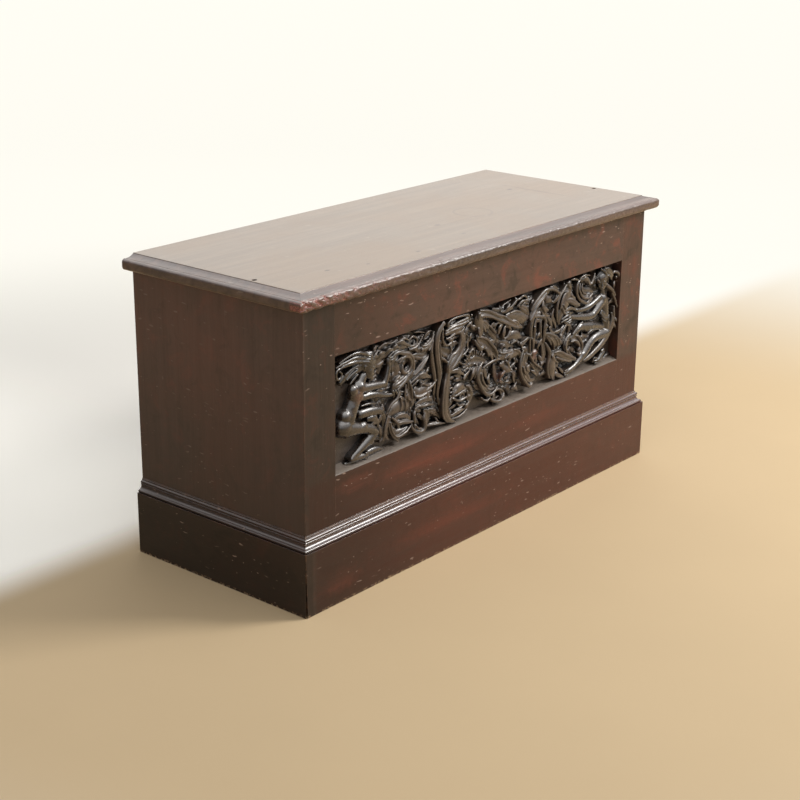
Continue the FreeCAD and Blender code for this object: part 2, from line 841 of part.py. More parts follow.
os.makedirs("parts", exist_ok=True)
save_case()
save_plinth()
save_lid()
save_hinges()
save_fasteners()
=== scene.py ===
"""Dresses the carved chest: its carving, its worn lid edge, its finishes, and a plain studio round it.

Everything is in metres, in the chest's own frame: X along the length, -Y the carved front, +Z up.
"""

import math

import bmesh
import bpy
import numpy as np
from mathutils import Matrix, Vector, noise


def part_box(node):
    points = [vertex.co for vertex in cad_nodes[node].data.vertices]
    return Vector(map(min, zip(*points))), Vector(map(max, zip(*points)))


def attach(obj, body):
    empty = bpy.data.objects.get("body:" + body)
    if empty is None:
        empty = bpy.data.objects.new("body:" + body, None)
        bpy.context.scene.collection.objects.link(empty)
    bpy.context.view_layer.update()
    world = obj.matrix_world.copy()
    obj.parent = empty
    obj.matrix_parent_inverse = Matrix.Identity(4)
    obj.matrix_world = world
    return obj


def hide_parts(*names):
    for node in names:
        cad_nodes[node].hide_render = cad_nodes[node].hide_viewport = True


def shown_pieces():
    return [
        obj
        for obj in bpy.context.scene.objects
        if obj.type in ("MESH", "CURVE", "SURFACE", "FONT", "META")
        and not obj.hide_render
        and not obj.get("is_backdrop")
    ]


bl_info = {
    "name": "Carved chest",
    "version": (1, 0, 0),
    "blender": (4, 5, 0),
    "location": "3D View > Sidebar > Chest",
    "description": "Carving, worn edges, finishes and studio for a carved chest",
    "category": "Object",
}

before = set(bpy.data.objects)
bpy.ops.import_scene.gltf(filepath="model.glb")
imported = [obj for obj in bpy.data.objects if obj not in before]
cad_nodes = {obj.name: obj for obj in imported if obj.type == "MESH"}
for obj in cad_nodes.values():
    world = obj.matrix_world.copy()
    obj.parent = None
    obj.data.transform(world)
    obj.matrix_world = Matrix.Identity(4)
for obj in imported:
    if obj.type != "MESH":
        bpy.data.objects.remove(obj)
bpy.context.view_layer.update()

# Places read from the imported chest
LID_LOW, LID_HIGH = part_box("lid_board_front")
CASE_HEIGHT = LID_LOW.z
PANEL_LOW, PANEL_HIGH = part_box("carved_panel")
RECESS_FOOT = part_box("front_bottom_rail")[1].z
RECESS_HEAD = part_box("front_top_rail")[0].z
RECESS_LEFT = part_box("front_left_stile")[1].x
RECESS_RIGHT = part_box("front_right_stile")[0].x
FRONT_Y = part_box("front_left_stile")[0].y
GROUND_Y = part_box("front_left_stile")[1].y

# The carving is laid out on a grid whose step is a hundredth of the recess height.
STEP = (RECESS_HEAD - RECESS_FOOT) / 100
GRID_LENGTH = (RECESS_RIGHT - RECESS_LEFT) / STEP
FRONT_RISE = (GROUND_Y - FRONT_Y) / STEP

# The grid was drawn as seen from the front left, true for a form this far above the ground.
DRAWN_RISE = 5.94
LEAN_ALONG = 1.19
LEAN_UP = 0.53


# Settings
class ChestCarving(bpy.types.PropertyGroup):
    grain_size: bpy.props.FloatProperty(
        name="Carving fineness",
        description="Size of the smallest cut that the carving keeps",
        default=0.00125,
        min=0.0008,
        max=0.004,
        unit="LENGTH",
    )
    most_faces: bpy.props.IntProperty(
        name="Most faces",
        description="Triangles that one length of the carving may have",
        default=185000,
        min=10000,
        max=199000,
    )
    ground_wave: bpy.props.FloatProperty(
        name="Ground unevenness",
        description="How far gouge marks dip into the ground behind the carving",
        default=0.0006,
        min=0.0,
        max=0.002,
        unit="LENGTH",
    )


class ChestLid(bpy.types.PropertyGroup):
    bite: bpy.props.FloatProperty(
        name="Edge damage",
        description="Deepest bite out of the lid's front edge",
        default=0.0042,
        min=0.0,
        max=0.008,
        unit="LENGTH",
    )
    edge_step: bpy.props.FloatProperty(
        name="Edge step",
        description="Distance between the cuts along the moulded edge",
        default=0.0022,
        min=0.001,
        max=0.01,
        unit="LENGTH",
    )


class ChestFinish(bpy.types.PropertyGroup):
    stain: bpy.props.FloatVectorProperty(
        name="Stain",
        description="Colour of the stained case",
        subtype="COLOR",
        size=3,
        default=(0.072, 0.043, 0.033),
        min=0.0,
        max=1.0,
    )
    red_stain: bpy.props.FloatVectorProperty(
        name="Red stain",
        description="Colour where the wood shows redder through the stain",
        subtype="COLOR",
        size=3,
        default=(0.130, 0.034, 0.022),
        min=0.0,
        max=1.0,
    )
    lid_top: bpy.props.FloatVectorProperty(
        name="Faded lid",
        description="Colour of the faded top of the lid",
        subtype="COLOR",
        size=3,
        default=(0.204, 0.143, 0.096),
        min=0.0,
        max=1.0,
    )
    carving: bpy.props.FloatVectorProperty(
        name="Carving stain",
        description="Colour of the carving, nearly black",
        subtype="COLOR",
        size=3,
        default=(0.017, 0.0105, 0.008),
        min=0.0,
        max=1.0,
    )
    raw_wood: bpy.props.FloatVectorProperty(
        name="Raw wood",
        description="Colour of the unstained wood inside and behind",
        subtype="COLOR",
        size=3,
        default=(0.300, 0.190, 0.110),
        min=0.0,
        max=1.0,
    )
    gloss: bpy.props.FloatProperty(
        name="Varnish",
        description="How much varnish is left on the case",
        subtype="FACTOR",
        default=0.30,
        min=0.0,
        max=1.0,
    )


class ChestStudio(bpy.types.PropertyGroup):
    floor_colour: bpy.props.FloatVectorProperty(
        name="Floor",
        description="Colour of the plain floor",
        subtype="COLOR",
        size=3,
        default=(0.60, 0.455, 0.275),
        min=0.0,
        max=1.0,
    )
    lens: bpy.props.FloatProperty(
        name="Lens",
        description="Focal length of the camera",
        default=73.0,
        min=20.0,
        max=200.0,
        unit="CAMERA",
    )
    key_power: bpy.props.FloatProperty(
        name="Key light",
        description="Power of the large light at the front right",
        default=165.0,
        min=0.0,
        unit="POWER",
    )
    sky: bpy.props.FloatProperty(
        name="Surrounding light",
        description="Strength of the even light from all round",
        default=0.30,
        min=0.0,
        max=2.0,
    )


# Small helpers
def put_on_body(piece, body, slot, *replaced):
    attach(piece, body)
    if replaced:
        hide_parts(*replaced)


def only_select(piece):
    bpy.ops.object.select_all(action="DESELECT")
    piece.select_set(True)
    bpy.context.view_layer.objects.active = piece


def piece_from(name, points, faces):
    mesh = bpy.data.meshes.new(name)
    mesh.from_pydata(points, [], faces)
    mesh.validate()
    mesh.update()
    piece = bpy.data.objects.new(name, mesh)
    bpy.context.scene.collection.objects.link(piece)
    only_select(piece)
    return piece


def apply_modifier(piece, kind, **settings):
    only_select(piece)
    added = piece.modifiers.new(kind.title(), kind)
    for setting, value in settings.items():
        setattr(added, setting, value)
    bpy.ops.object.modifier_apply(modifier=added.name)


def smooth_by_angle(piece, degrees):
    only_select(piece)
    bpy.ops.object.shade_smooth_by_angle(angle=math.radians(degrees))


# Forms of the carving. A row is a way of cutting and the points of a run: along, up, crest, half width.
CUTS = {
    "limb": {"fullness": 0.95, "under": 0.88, "foot": 0.72},
    "stem": {"fullness": 0.75, "grooves": ((-0.4, 0.16, 0.15), (0.4, 0.16, 0.15))},
    "rib": {"fullness": 1.0, "under": 0.9, "foot": 0.8},
    "leaf": {"fullness": 0.42, "grooves": ((0.0, 0.20, 0.12),), "veins": 0.07, "lobes": 0.0, "under": 0.8},
    "lobed": {"fullness": 0.42, "grooves": ((0.0, 0.20, 0.12),), "veins": 0.09, "lobes": 0.34, "under": 0.8},
    "fluted": {"fullness": 0.5, "grooves": ((-0.55, 0.12, 0.11), (0.0, 0.14, 0.11), (0.55, 0.12, 0.11))},
    "smooth": {"fullness": 0.55, "under": 0.85, "foot": 0.7},
    "dished": {"fullness": 0.5, "grooves": ((0.0, 0.34, 0.5),), "veins": 0.05, "under": 0.85},
    "ring": {"fullness": 1.0, "under": 0.9, "foot": 0.8},
}
TOP_POINTS = 17
ROOT_RISE = -1.6
RUN_STEP = 0.9


def smooth_run(points):
    """Points close together on a smooth line through the given ones."""
    given = np.array(points, float)
    if len(given) == 1:
        given = np.vstack([given, given + (0.15, 0, 0, 0)])
    before = 2 * given[0] - given[1]
    after = 2 * given[-1] - given[-2]
    line = np.vstack([before, given, after])
    found = []
    for p0, p1, p2, p3 in zip(line[:-3], line[1:-2], line[2:-1], line[3:]):
        count = max(2, int(math.ceil(np.hypot(*(p2 - p1)[:2]) / RUN_STEP)))
        for share in np.arange(count) / count:
            bent = 2 * p1 + (p2 - p0) * share
            bent += (2 * p0 - 5 * p1 + 4 * p2 - p3) * share**2
            bent += (3 * p1 - p0 - 3 * p2 + p3) * share**3
            found.append(bent / 2)
    found.append(line[-2])
    found = np.array(found)
    found[:, 3] = np.maximum(found[:, 3], 0.12)
    return found


def round_ends(line):
    """Adds a few narrowing points at both ends, so that a run ends round."""
    ends = []
    for end, inner in ((line[0], line[1]), (line[-1], line[-2])):
        way = end[:2] - inner[:2]
        way = way / max(np.hypot(*way), 1e-6)
        caps = []
        for share in (0.5, 0.8, 0.95, 1.0):
            cap = end.copy()
            narrow = math.sqrt(max(0.0, 1 - share * share))
            cap[:2] += way * end[3] * share
            cap[2] -= end[3] * 0.8 * (1 - narrow)
            cap[3] = max(0.08, end[3] * narrow)
            caps.append(cap)
        ends.append(caps)
    return np.vstack([ends[0][::-1], line, ends[1]])


def run_shape(points, cut):
    """The rings of one carved run, as grid points."""
    how = CUTS[cut]
    line = smooth_run(points)
    gone = np.concatenate([[0], np.cumsum(np.hypot(*np.diff(line[:, :2], axis=0).T))])
    length = max(gone[-1], 0.1)
    width = np.mean(line[:, 3])
    if how.get("lobes"):
        lobe_count = max(2, round(length / (1.5 * width + 0.6)))
        beat = np.abs(np.sin(np.pi * lobe_count * gone / length))
        line[:, 3] *= 1 - how["lobes"] * (1 - beat) ** 2
    line = round_ends(line)
    gone = np.concatenate([[0], np.cumsum(np.hypot(*np.diff(line[:, :2], axis=0).T))])
    way = np.gradient(line[:, :2], axis=0)
    way /= np.maximum(np.hypot(way[:, 0], way[:, 1]), 1e-6)[:, None]
    turn = np.linspace(0, np.pi, TOP_POINTS)
    side, top = np.cos(turn), np.sin(turn)
    half = line[:, 3][:, None]
    depth = half * how["fullness"]
    crest = line[:, 2][:, None]
    across = half * side
    rise = crest - depth + depth * top
    for place, deep, spread in how.get("grooves", ()):
        rise = rise - deep * half * np.exp(-(((side - place) / spread) ** 2))
    if how.get("veins"):
        beat = 2 * np.pi * (gone[:, None] / (0.55 * width + 0.5) - 1.1 * np.abs(side))
        rise = rise - how["veins"] * half * (0.5 + 0.5 * np.cos(beat)) ** 3 * top
    under = how.get("under", 0.86)
    foot = how.get("foot", 0.66)
    low = np.maximum(crest - depth * 1.7 - 0.8, ROOT_RISE + 0.4)
    root = np.full_like(low, ROOT_RISE)
    across = np.hstack([across, -half * under, -half * foot, half * foot, half * under])
    rise = np.hstack([rise, low, root, root, low])
    lean = line[:, 2] - 0.5 * depth[:, 0] - DRAWN_RISE
    along = (line[:, 0] - LEAN_ALONG * lean)[:, None] - across * way[:, 1][:, None]
    up = (line[:, 1] + LEAN_UP * lean)[:, None] + across * way[:, 0][:, None]
    return np.dstack([along, up, rise])


def ring_faces(rings, ring_size, first):
    """Faces that join rings of points into a closed form."""
    faces = []
    for ring in range(rings - 1):
        start = first + ring * ring_size
        for corner in range(ring_size):
            beside = (corner + 1) % ring_size
            faces.append(
                (start + corner, start + beside, start + ring_size + beside, start + ring_size + corner),
            )
    faces.append(tuple(range(first + ring_size - 1, first - 1, -1)))
    last = first + (rings - 1) * ring_size
    faces.append(tuple(range(last, last + ring_size)))
    return faces


class FormPile:
    """Closed forms that are later merged into one carved length."""

    def __init__(self):
        self.points = []
        self.faces = []
        self.count = 0

    def add(self, rings):
        ring_total, ring_size = rings.shape[:2]
        self.faces += ring_faces(ring_total, ring_size, self.count)
        self.points.append(rings.reshape(-1, 3))
        self.count += ring_total * ring_size

    def add_runs(self, rows):
        for cut, points in rows:
            self.add(run_shape(points, cut))

    def add_balls(self, rows):
        """Swellings such as shoulders and knees: along, up, crest, half length, half height, depth."""
        for along, up, crest, half_along, half_up, depth in rows:
            lean = crest - 0.5 * depth - DRAWN_RISE
            centre = (along - LEAN_ALONG * lean, up + LEAN_UP * lean, crest - depth)
            self.add(ball_rings(centre, (half_along, half_up, depth)))

    def places(self):
        grid = np.vstack(self.points)
        margin = 0.25
        along = np.clip(grid[:, 0], margin, GRID_LENGTH - margin)
        up = np.clip(grid[:, 1], margin, 100 - margin)
        rise = np.clip(grid[:, 2], ROOT_RISE, FRONT_RISE - 0.15)
        return np.column_stack([RECESS_LEFT + along * STEP, GROUND_Y - rise * STEP, RECESS_FOOT + up * STEP])


# Heads. Points are in shares of the head's height: to the side, up, to the front.
HEAD_BALLS = (
    ((0.0, 0.12, -0.05), (0.34, 0.37, 0.42)),
    ((0.0, 0.00, 0.10), (0.30, 0.38, 0.265)),
    ((0.0, -0.25, 0.12), (0.235, 0.21, 0.235)),
    ((0.0, -0.40, 0.225), (0.105, 0.085, 0.105)),
    ((-0.15, -0.14, 0.19), (0.135, 0.17, 0.135)),
    ((0.15, -0.14, 0.19), (0.135, 0.17, 0.135)),
    ((-0.13, 0.0, 0.322), (0.062, 0.038, 0.042)),
    ((0.13, 0.0, 0.322), (0.062, 0.038, 0.042)),
    ((-0.038, -0.175, 0.375), (0.032, 0.026, 0.032)),
    ((0.038, -0.175, 0.375), (0.032, 0.026, 0.032)),
)
HEAD_BARS = (
    (((-0.23, 0.06, 0.25), (-0.14, 0.090, 0.315), (-0.05, 0.07, 0.345)), (0.020, 0.027, 0.026)),
    (((0.23, 0.06, 0.25), (0.14, 0.090, 0.315), (0.05, 0.07, 0.345)), (0.020, 0.027, 0.026)),
    (((0.0, 0.08, 0.335), (0.0, -0.07, 0.385), (0.0, -0.165, 0.425)), (0.024, 0.027, 0.038)),
    (((-0.10, -0.285, 0.32), (0.0, -0.268, 0.365), (0.10, -0.285, 0.32)), (0.010, 0.022, 0.010)),
    (((-0.08, -0.302, 0.325), (0.0, -0.315, 0.36), (0.08, -0.302, 0.325)), (0.010, 0.026, 0.010)),
    (((-0.34, 0.05, 0.00), (-0.36, 0.03, -0.06), (-0.335, -0.10, -0.03)), (0.03, 0.035, 0.03)),
    (((0.34, 0.05, 0.00), (0.36, 0.03, -0.06), (0.335, -0.10, -0.03)), (0.03, 0.035, 0.03)),
)
HEAD_FLATNESS = 0.62


def ball_rings(centre, radii):
    turns = np.linspace(0.02, np.pi - 0.02, 14)
    rounds = np.linspace(0, 2 * np.pi, 20, endpoint=False)
    ring = np.dstack([
        np.outer(np.sin(turns), np.cos(rounds)),
        np.outer(np.sin(turns), np.sin(rounds)),
        np.outer(np.cos(turns), np.ones_like(rounds)),
    ])
    return ring * np.array(radii) + np.array(centre)


def bar_rings(points, radii):
    """A round bar through points in space, its ends drawn in."""
    rows = [tuple(point) + (radius,) for point, radius in zip(points, radii)]
    given = np.array(rows, float)
    shares = np.linspace(0, len(given) - 1, 6 * (len(given) - 1) + 1)
    line = np.column_stack([np.interp(shares, np.arange(len(given)), given[:, k]) for k in range(4)])
    for _ in range(2):
        line[1:-1] = (line[:-2] + 2 * line[1:-1] + line[2:]) / 4
    way = np.gradient(line[:, :3], axis=0)
    way /= np.maximum(np.linalg.norm(way, axis=1), 1e-9)[:, None]
    first_end = line[0].copy()
    last_end = line[-1].copy()
    first_end[:3] -= way[0] * first_end[3]
    last_end[:3] += way[-1] * last_end[3]
    first_end[3] *= 0.2
    last_end[3] *= 0.2
    line = np.vstack([first_end, line, last_end])
    way = np.vstack([way[:1], way, way[-1:]])
    helper = np.array([0.31, 0.22, 0.92])
    one = np.cross(way, helper)
    one /= np.linalg.norm(one, axis=1)[:, None]
    two = np.cross(way, one)
    rounds = np.linspace(0, 2 * np.pi, 10, endpoint=False)
    spin = one[:, None, :] * np.cos(rounds)[None, :, None] + two[:, None, :] * np.sin(rounds)[None, :, None]
    return line[:, None, :3] + spin * line[:, 3][:, None, None]


def head_to_grid(rings, centre, height, turn, tilt):
    """Turns a head to one side, tilts it in the panel's plane and lays it in the relief."""
    side, up, front = rings[..., 0] * height, rings[..., 1] * height, rings[..., 2] * height
    turn, tilt = math.radians(turn), math.radians(tilt)
    across = side * math.cos(turn) + front * math.sin(turn)
    towards = (front * math.cos(turn) - side * math.sin(turn)) * HEAD_FLATNESS
    along = across * math.cos(tilt) - up * math.sin(tilt)
    risen = across * math.sin(tilt) + up * math.cos(tilt)
    lean = centre[2] - DRAWN_RISE
    return np.stack([
        centre[0] - LEAN_ALONG * lean + along,
        centre[1] + LEAN_UP * lean + risen,
        centre[2] + towards,
    ], -1)


def add_head(pile, centre, height, turn, tilt, hair):
    for middle, radii in HEAD_BALLS:
        pile.add(head_to_grid(ball_rings(middle, radii), centre, height, turn, tilt))
    for points, radii in HEAD_BARS + hair:
        pile.add(head_to_grid(bar_rings(points, radii), centre, height, turn, tilt))


# Hair: locks that run back from the forehead over the skull, in shares of the head's height.
def swept_hair(lock_count, curl, thickness):
    locks = []
    for number in range(lock_count):
        share = number / (lock_count - 1)
        out = math.radians(-80 + 160 * share)
        side, high = math.sin(out), math.cos(out)
        wave = 0.03 * math.sin(5 * share * math.pi)
        locks.append((
            (
                (0.25 * side, 0.08 + 0.28 * high, 0.235),
                (0.36 * side, 0.14 + 0.38 * high, 0.12),
                (0.39 * side, 0.13 + 0.41 * high - wave, -0.10),
                (0.36 * side, 0.10 + 0.38 * high, -0.32),
                (0.27 * side * curl, 0.02 + 0.26 * high, -0.47),
            ),
            tuple(thickness * share_of for share_of in (0.45, 1.0, 1.1, 1.05, 0.6)),
        ))
    return tuple(locks)


# The kneeling figure at the left end
LEFT_BALLS = (
    (17.4, 35, 10.2, 9.8, 9.4, 9.2), (24, 32.6, 10.2, 8, 7.2, 7.5), (31, 59, 9.7, 7, 6.4, 5),
    (18.4, 44, 9.2, 6, 6, 6.4), (27.6, 48.6, 9.4, 5, 6.6, 4.4), (54.2, 21.4, 10.1, 4.3, 4.1, 5.5),
    (60.5, 38, 9, 4, 4, 4.5), (28.4, 63.4, 9.9, 4.6, 5, 3.6), (36.5, 65, 10.1, 5.2, 4.6, 5),
    (66.4, 60.3, 9.9, 3.2, 2.9, 4), (35.5, 56.5, 9.6, 4.2, 4.6, 3.4), (26, 41.5, 9.6, 5, 5.4, 3.6),
    (48.5, 15.6, 9.5, 5.2, 4.6, 4.2), (40, 30, 10.1, 5.2, 4.6, 4.2), (70.6, 80, 9.2, 2.4, 2.2, 2.6),
)
LEFT_FIGURE = (
    ("limb", ((34, 66, 9, 6.4), (31.6, 60, 9.3, 7.6), (28.4, 53.6, 9.2, 7.4), (25, 47, 9.1, 7.4),
        (22, 40, 9.4, 7.6))),
    ("limb", ((20, 33, 10.2, 8.5), (28, 31, 10.3, 6.6), (36, 29.2, 10.2, 5.2), (44, 27.2, 10.1, 4.7),
        (51, 24.2, 10, 4.5), (54, 21.5, 9.9, 4.2))),
    ("limb", ((53, 20.2, 9.8, 4.3), (46, 16.2, 9.5, 4.4), (39, 12.6, 9.1, 4), (32, 9.4, 8.6, 3),
        (26.6, 7, 8.2, 2.3))),
    ("limb", ((25.4, 5.6, 8.4, 2.5), (31, 4.9, 8.6, 2.8), (38, 4.6, 8.5, 2.9), (43, 4.2, 8, 2.4))),
    ("rib", ((42.6, 6.2, 8.2, 0.9), (46.2, 6.4, 7.8, 0.8))),
    ("rib", ((42.4, 4.7, 8.1, 0.9), (45.6, 4.7, 7.6, 0.8))),
    ("rib", ((42, 3.1, 7.9, 0.9), (45, 3, 7.4, 0.8))),
    ("rib", ((41.6, 1.7, 7.6, 0.8), (44.2, 1.4, 7.2, 0.7))),
    ("smooth", ((17, 3.2, 4.6, 2), (30, 2.6, 5.6, 2.4), (44, 4.6, 5.6, 3.6), (56, 5, 5, 3.4),
        (66, 2.2, 4, 1.4))),
    ("limb", ((36, 41.4, 8.6, 4.6), (46, 41, 9, 4.6), (55, 39.8, 9, 4.2), (60, 38.4, 8.8, 3.9))),
    ("rib", ((37, 48.4, 7.8, 0.7), (46, 48, 8.6, 0.9), (54, 46.4, 8.4, 0.6))),
    ("limb", ((61.5, 37, 7.6, 3.8), (64.5, 31, 6.8, 3.3), (64.6, 25, 6.2, 3), (61.6, 18, 5.6, 2.6),
        (60, 13, 5, 2))),
    ("smooth", ((45, 34.8, 7.2, 2.2), (51, 34, 8, 2.7), (56.4, 30, 7.4, 2.4), (57.4, 25.6, 6.4, 1.6))),
    ("limb", ((37, 63.4, 10.1, 4.4), (45, 62.2, 10.2, 3.9), (55, 61.2, 10.1, 3.5), (65, 59.8, 9.8, 3))),
    ("limb", ((66.8, 60.8, 9.8, 2.9), (69, 65.4, 9.9, 2.9), (70.3, 70, 9.8, 2.6), (71, 75, 9.5, 2.1),
        (70.6, 78.6, 9.2, 2))),
    ("rib", ((71, 80.6, 9.2, 0.9), (75, 80.6, 9.6, 0.8), (78.4, 82.4, 9.6, 0.7))),
    ("rib", ((71, 79, 9, 0.9), (75.2, 78.4, 9.5, 0.8), (78.6, 80.2, 9.5, 0.7))),
    ("rib", ((70.6, 81.6, 9, 0.9), (73.8, 83.4, 9.3, 0.8), (76.6, 84.8, 9.2, 0.7))),
    ("limb", ((39, 55, 8.4, 3.4), (48, 54.6, 9, 3.3), (56, 53.4, 9.2, 3), (64, 50.6, 9.1, 2.4),
        (71, 49, 9, 2), (76, 48.6, 9, 2.2))),
    ("rib", ((76.2, 51, 9.8, 1.1), (77.6, 47.6, 9.3, 1), (77, 45.4, 8.4, 0.8))),
    ("rib", ((79.6, 50.5, 9.8, 1.1), (81.4, 47.2, 9.3, 1), (81, 44.8, 8.2, 0.8))),
    ("rib", ((83, 49.4, 9.7, 1.1), (85.2, 46.6, 9.2, 1), (85.2, 44.4, 8.2, 0.7))),
    ("limb", ((37, 68, 8.6, 4.2), (40, 73, 8.2, 4.2))),
    # Hair and ribbon blown back over the head
    ("rib", ((48, 85, 8.4, 1.1), (45, 89.2, 9.6, 1.5), (39, 92.4, 10.1, 1.6), (34, 93.8, 10.2, 1.5),
        (27, 94.1, 9.8, 1.2), (19, 92.8, 9.2, 0.9), (11, 90.6, 8.6, 0.5))),
    ("rib", ((42, 87.6, 9.4, 1.4), (34, 89.8, 10.2, 1.7), (28, 90.5, 10, 1.5), (21.6, 89.9, 9.6, 1.2),
        (14, 88.9, 9.2, 1), (7.4, 87.6, 8.4, 0.5))),
    ("rib", ((38, 85.6, 9.4, 1.2), (30.5, 87, 10, 1.5), (24, 87.4, 9.8, 1.3), (17, 87, 9.2, 1),
        (11, 85.6, 8.6, 0.7))),
    ("smooth", ((40, 88, 8, 4.2), (30, 89, 7.8, 4.6), (18, 88.4, 7.2, 3.4), (9, 87, 6.6, 1.4))),
    ("smooth", ((36, 82, 6.8, 4.8), (27, 80, 5.6, 4.6), (18, 78, 5, 4), (12, 74, 4.2, 2.4))),
    ("rib", ((33, 83.6, 8, 1.1), (25, 82, 7.2, 1.1), (18, 79.6, 6.4, 0.9))),
    ("rib", ((32, 79.8, 7.6, 1.1), (25, 77.6, 6.8, 1.1), (19.6, 74.6, 6, 0.8))),
    ("rib", ((32, 76, 7.2, 1), (27, 73, 6.6, 1), (23.4, 70.4, 6, 0.7))),
    ("rib", ((12.6, 86.6, 8.2, 0.8), (8.6, 85, 8.8, 1.1), (6.9, 81.6, 8.8, 1.2), (8.2, 78, 8.4, 1.2),
        (12, 78, 8.2, 1), (13.6, 81.4, 8.4, 1), (11.2, 83.6, 8.2, 0.8))),
)

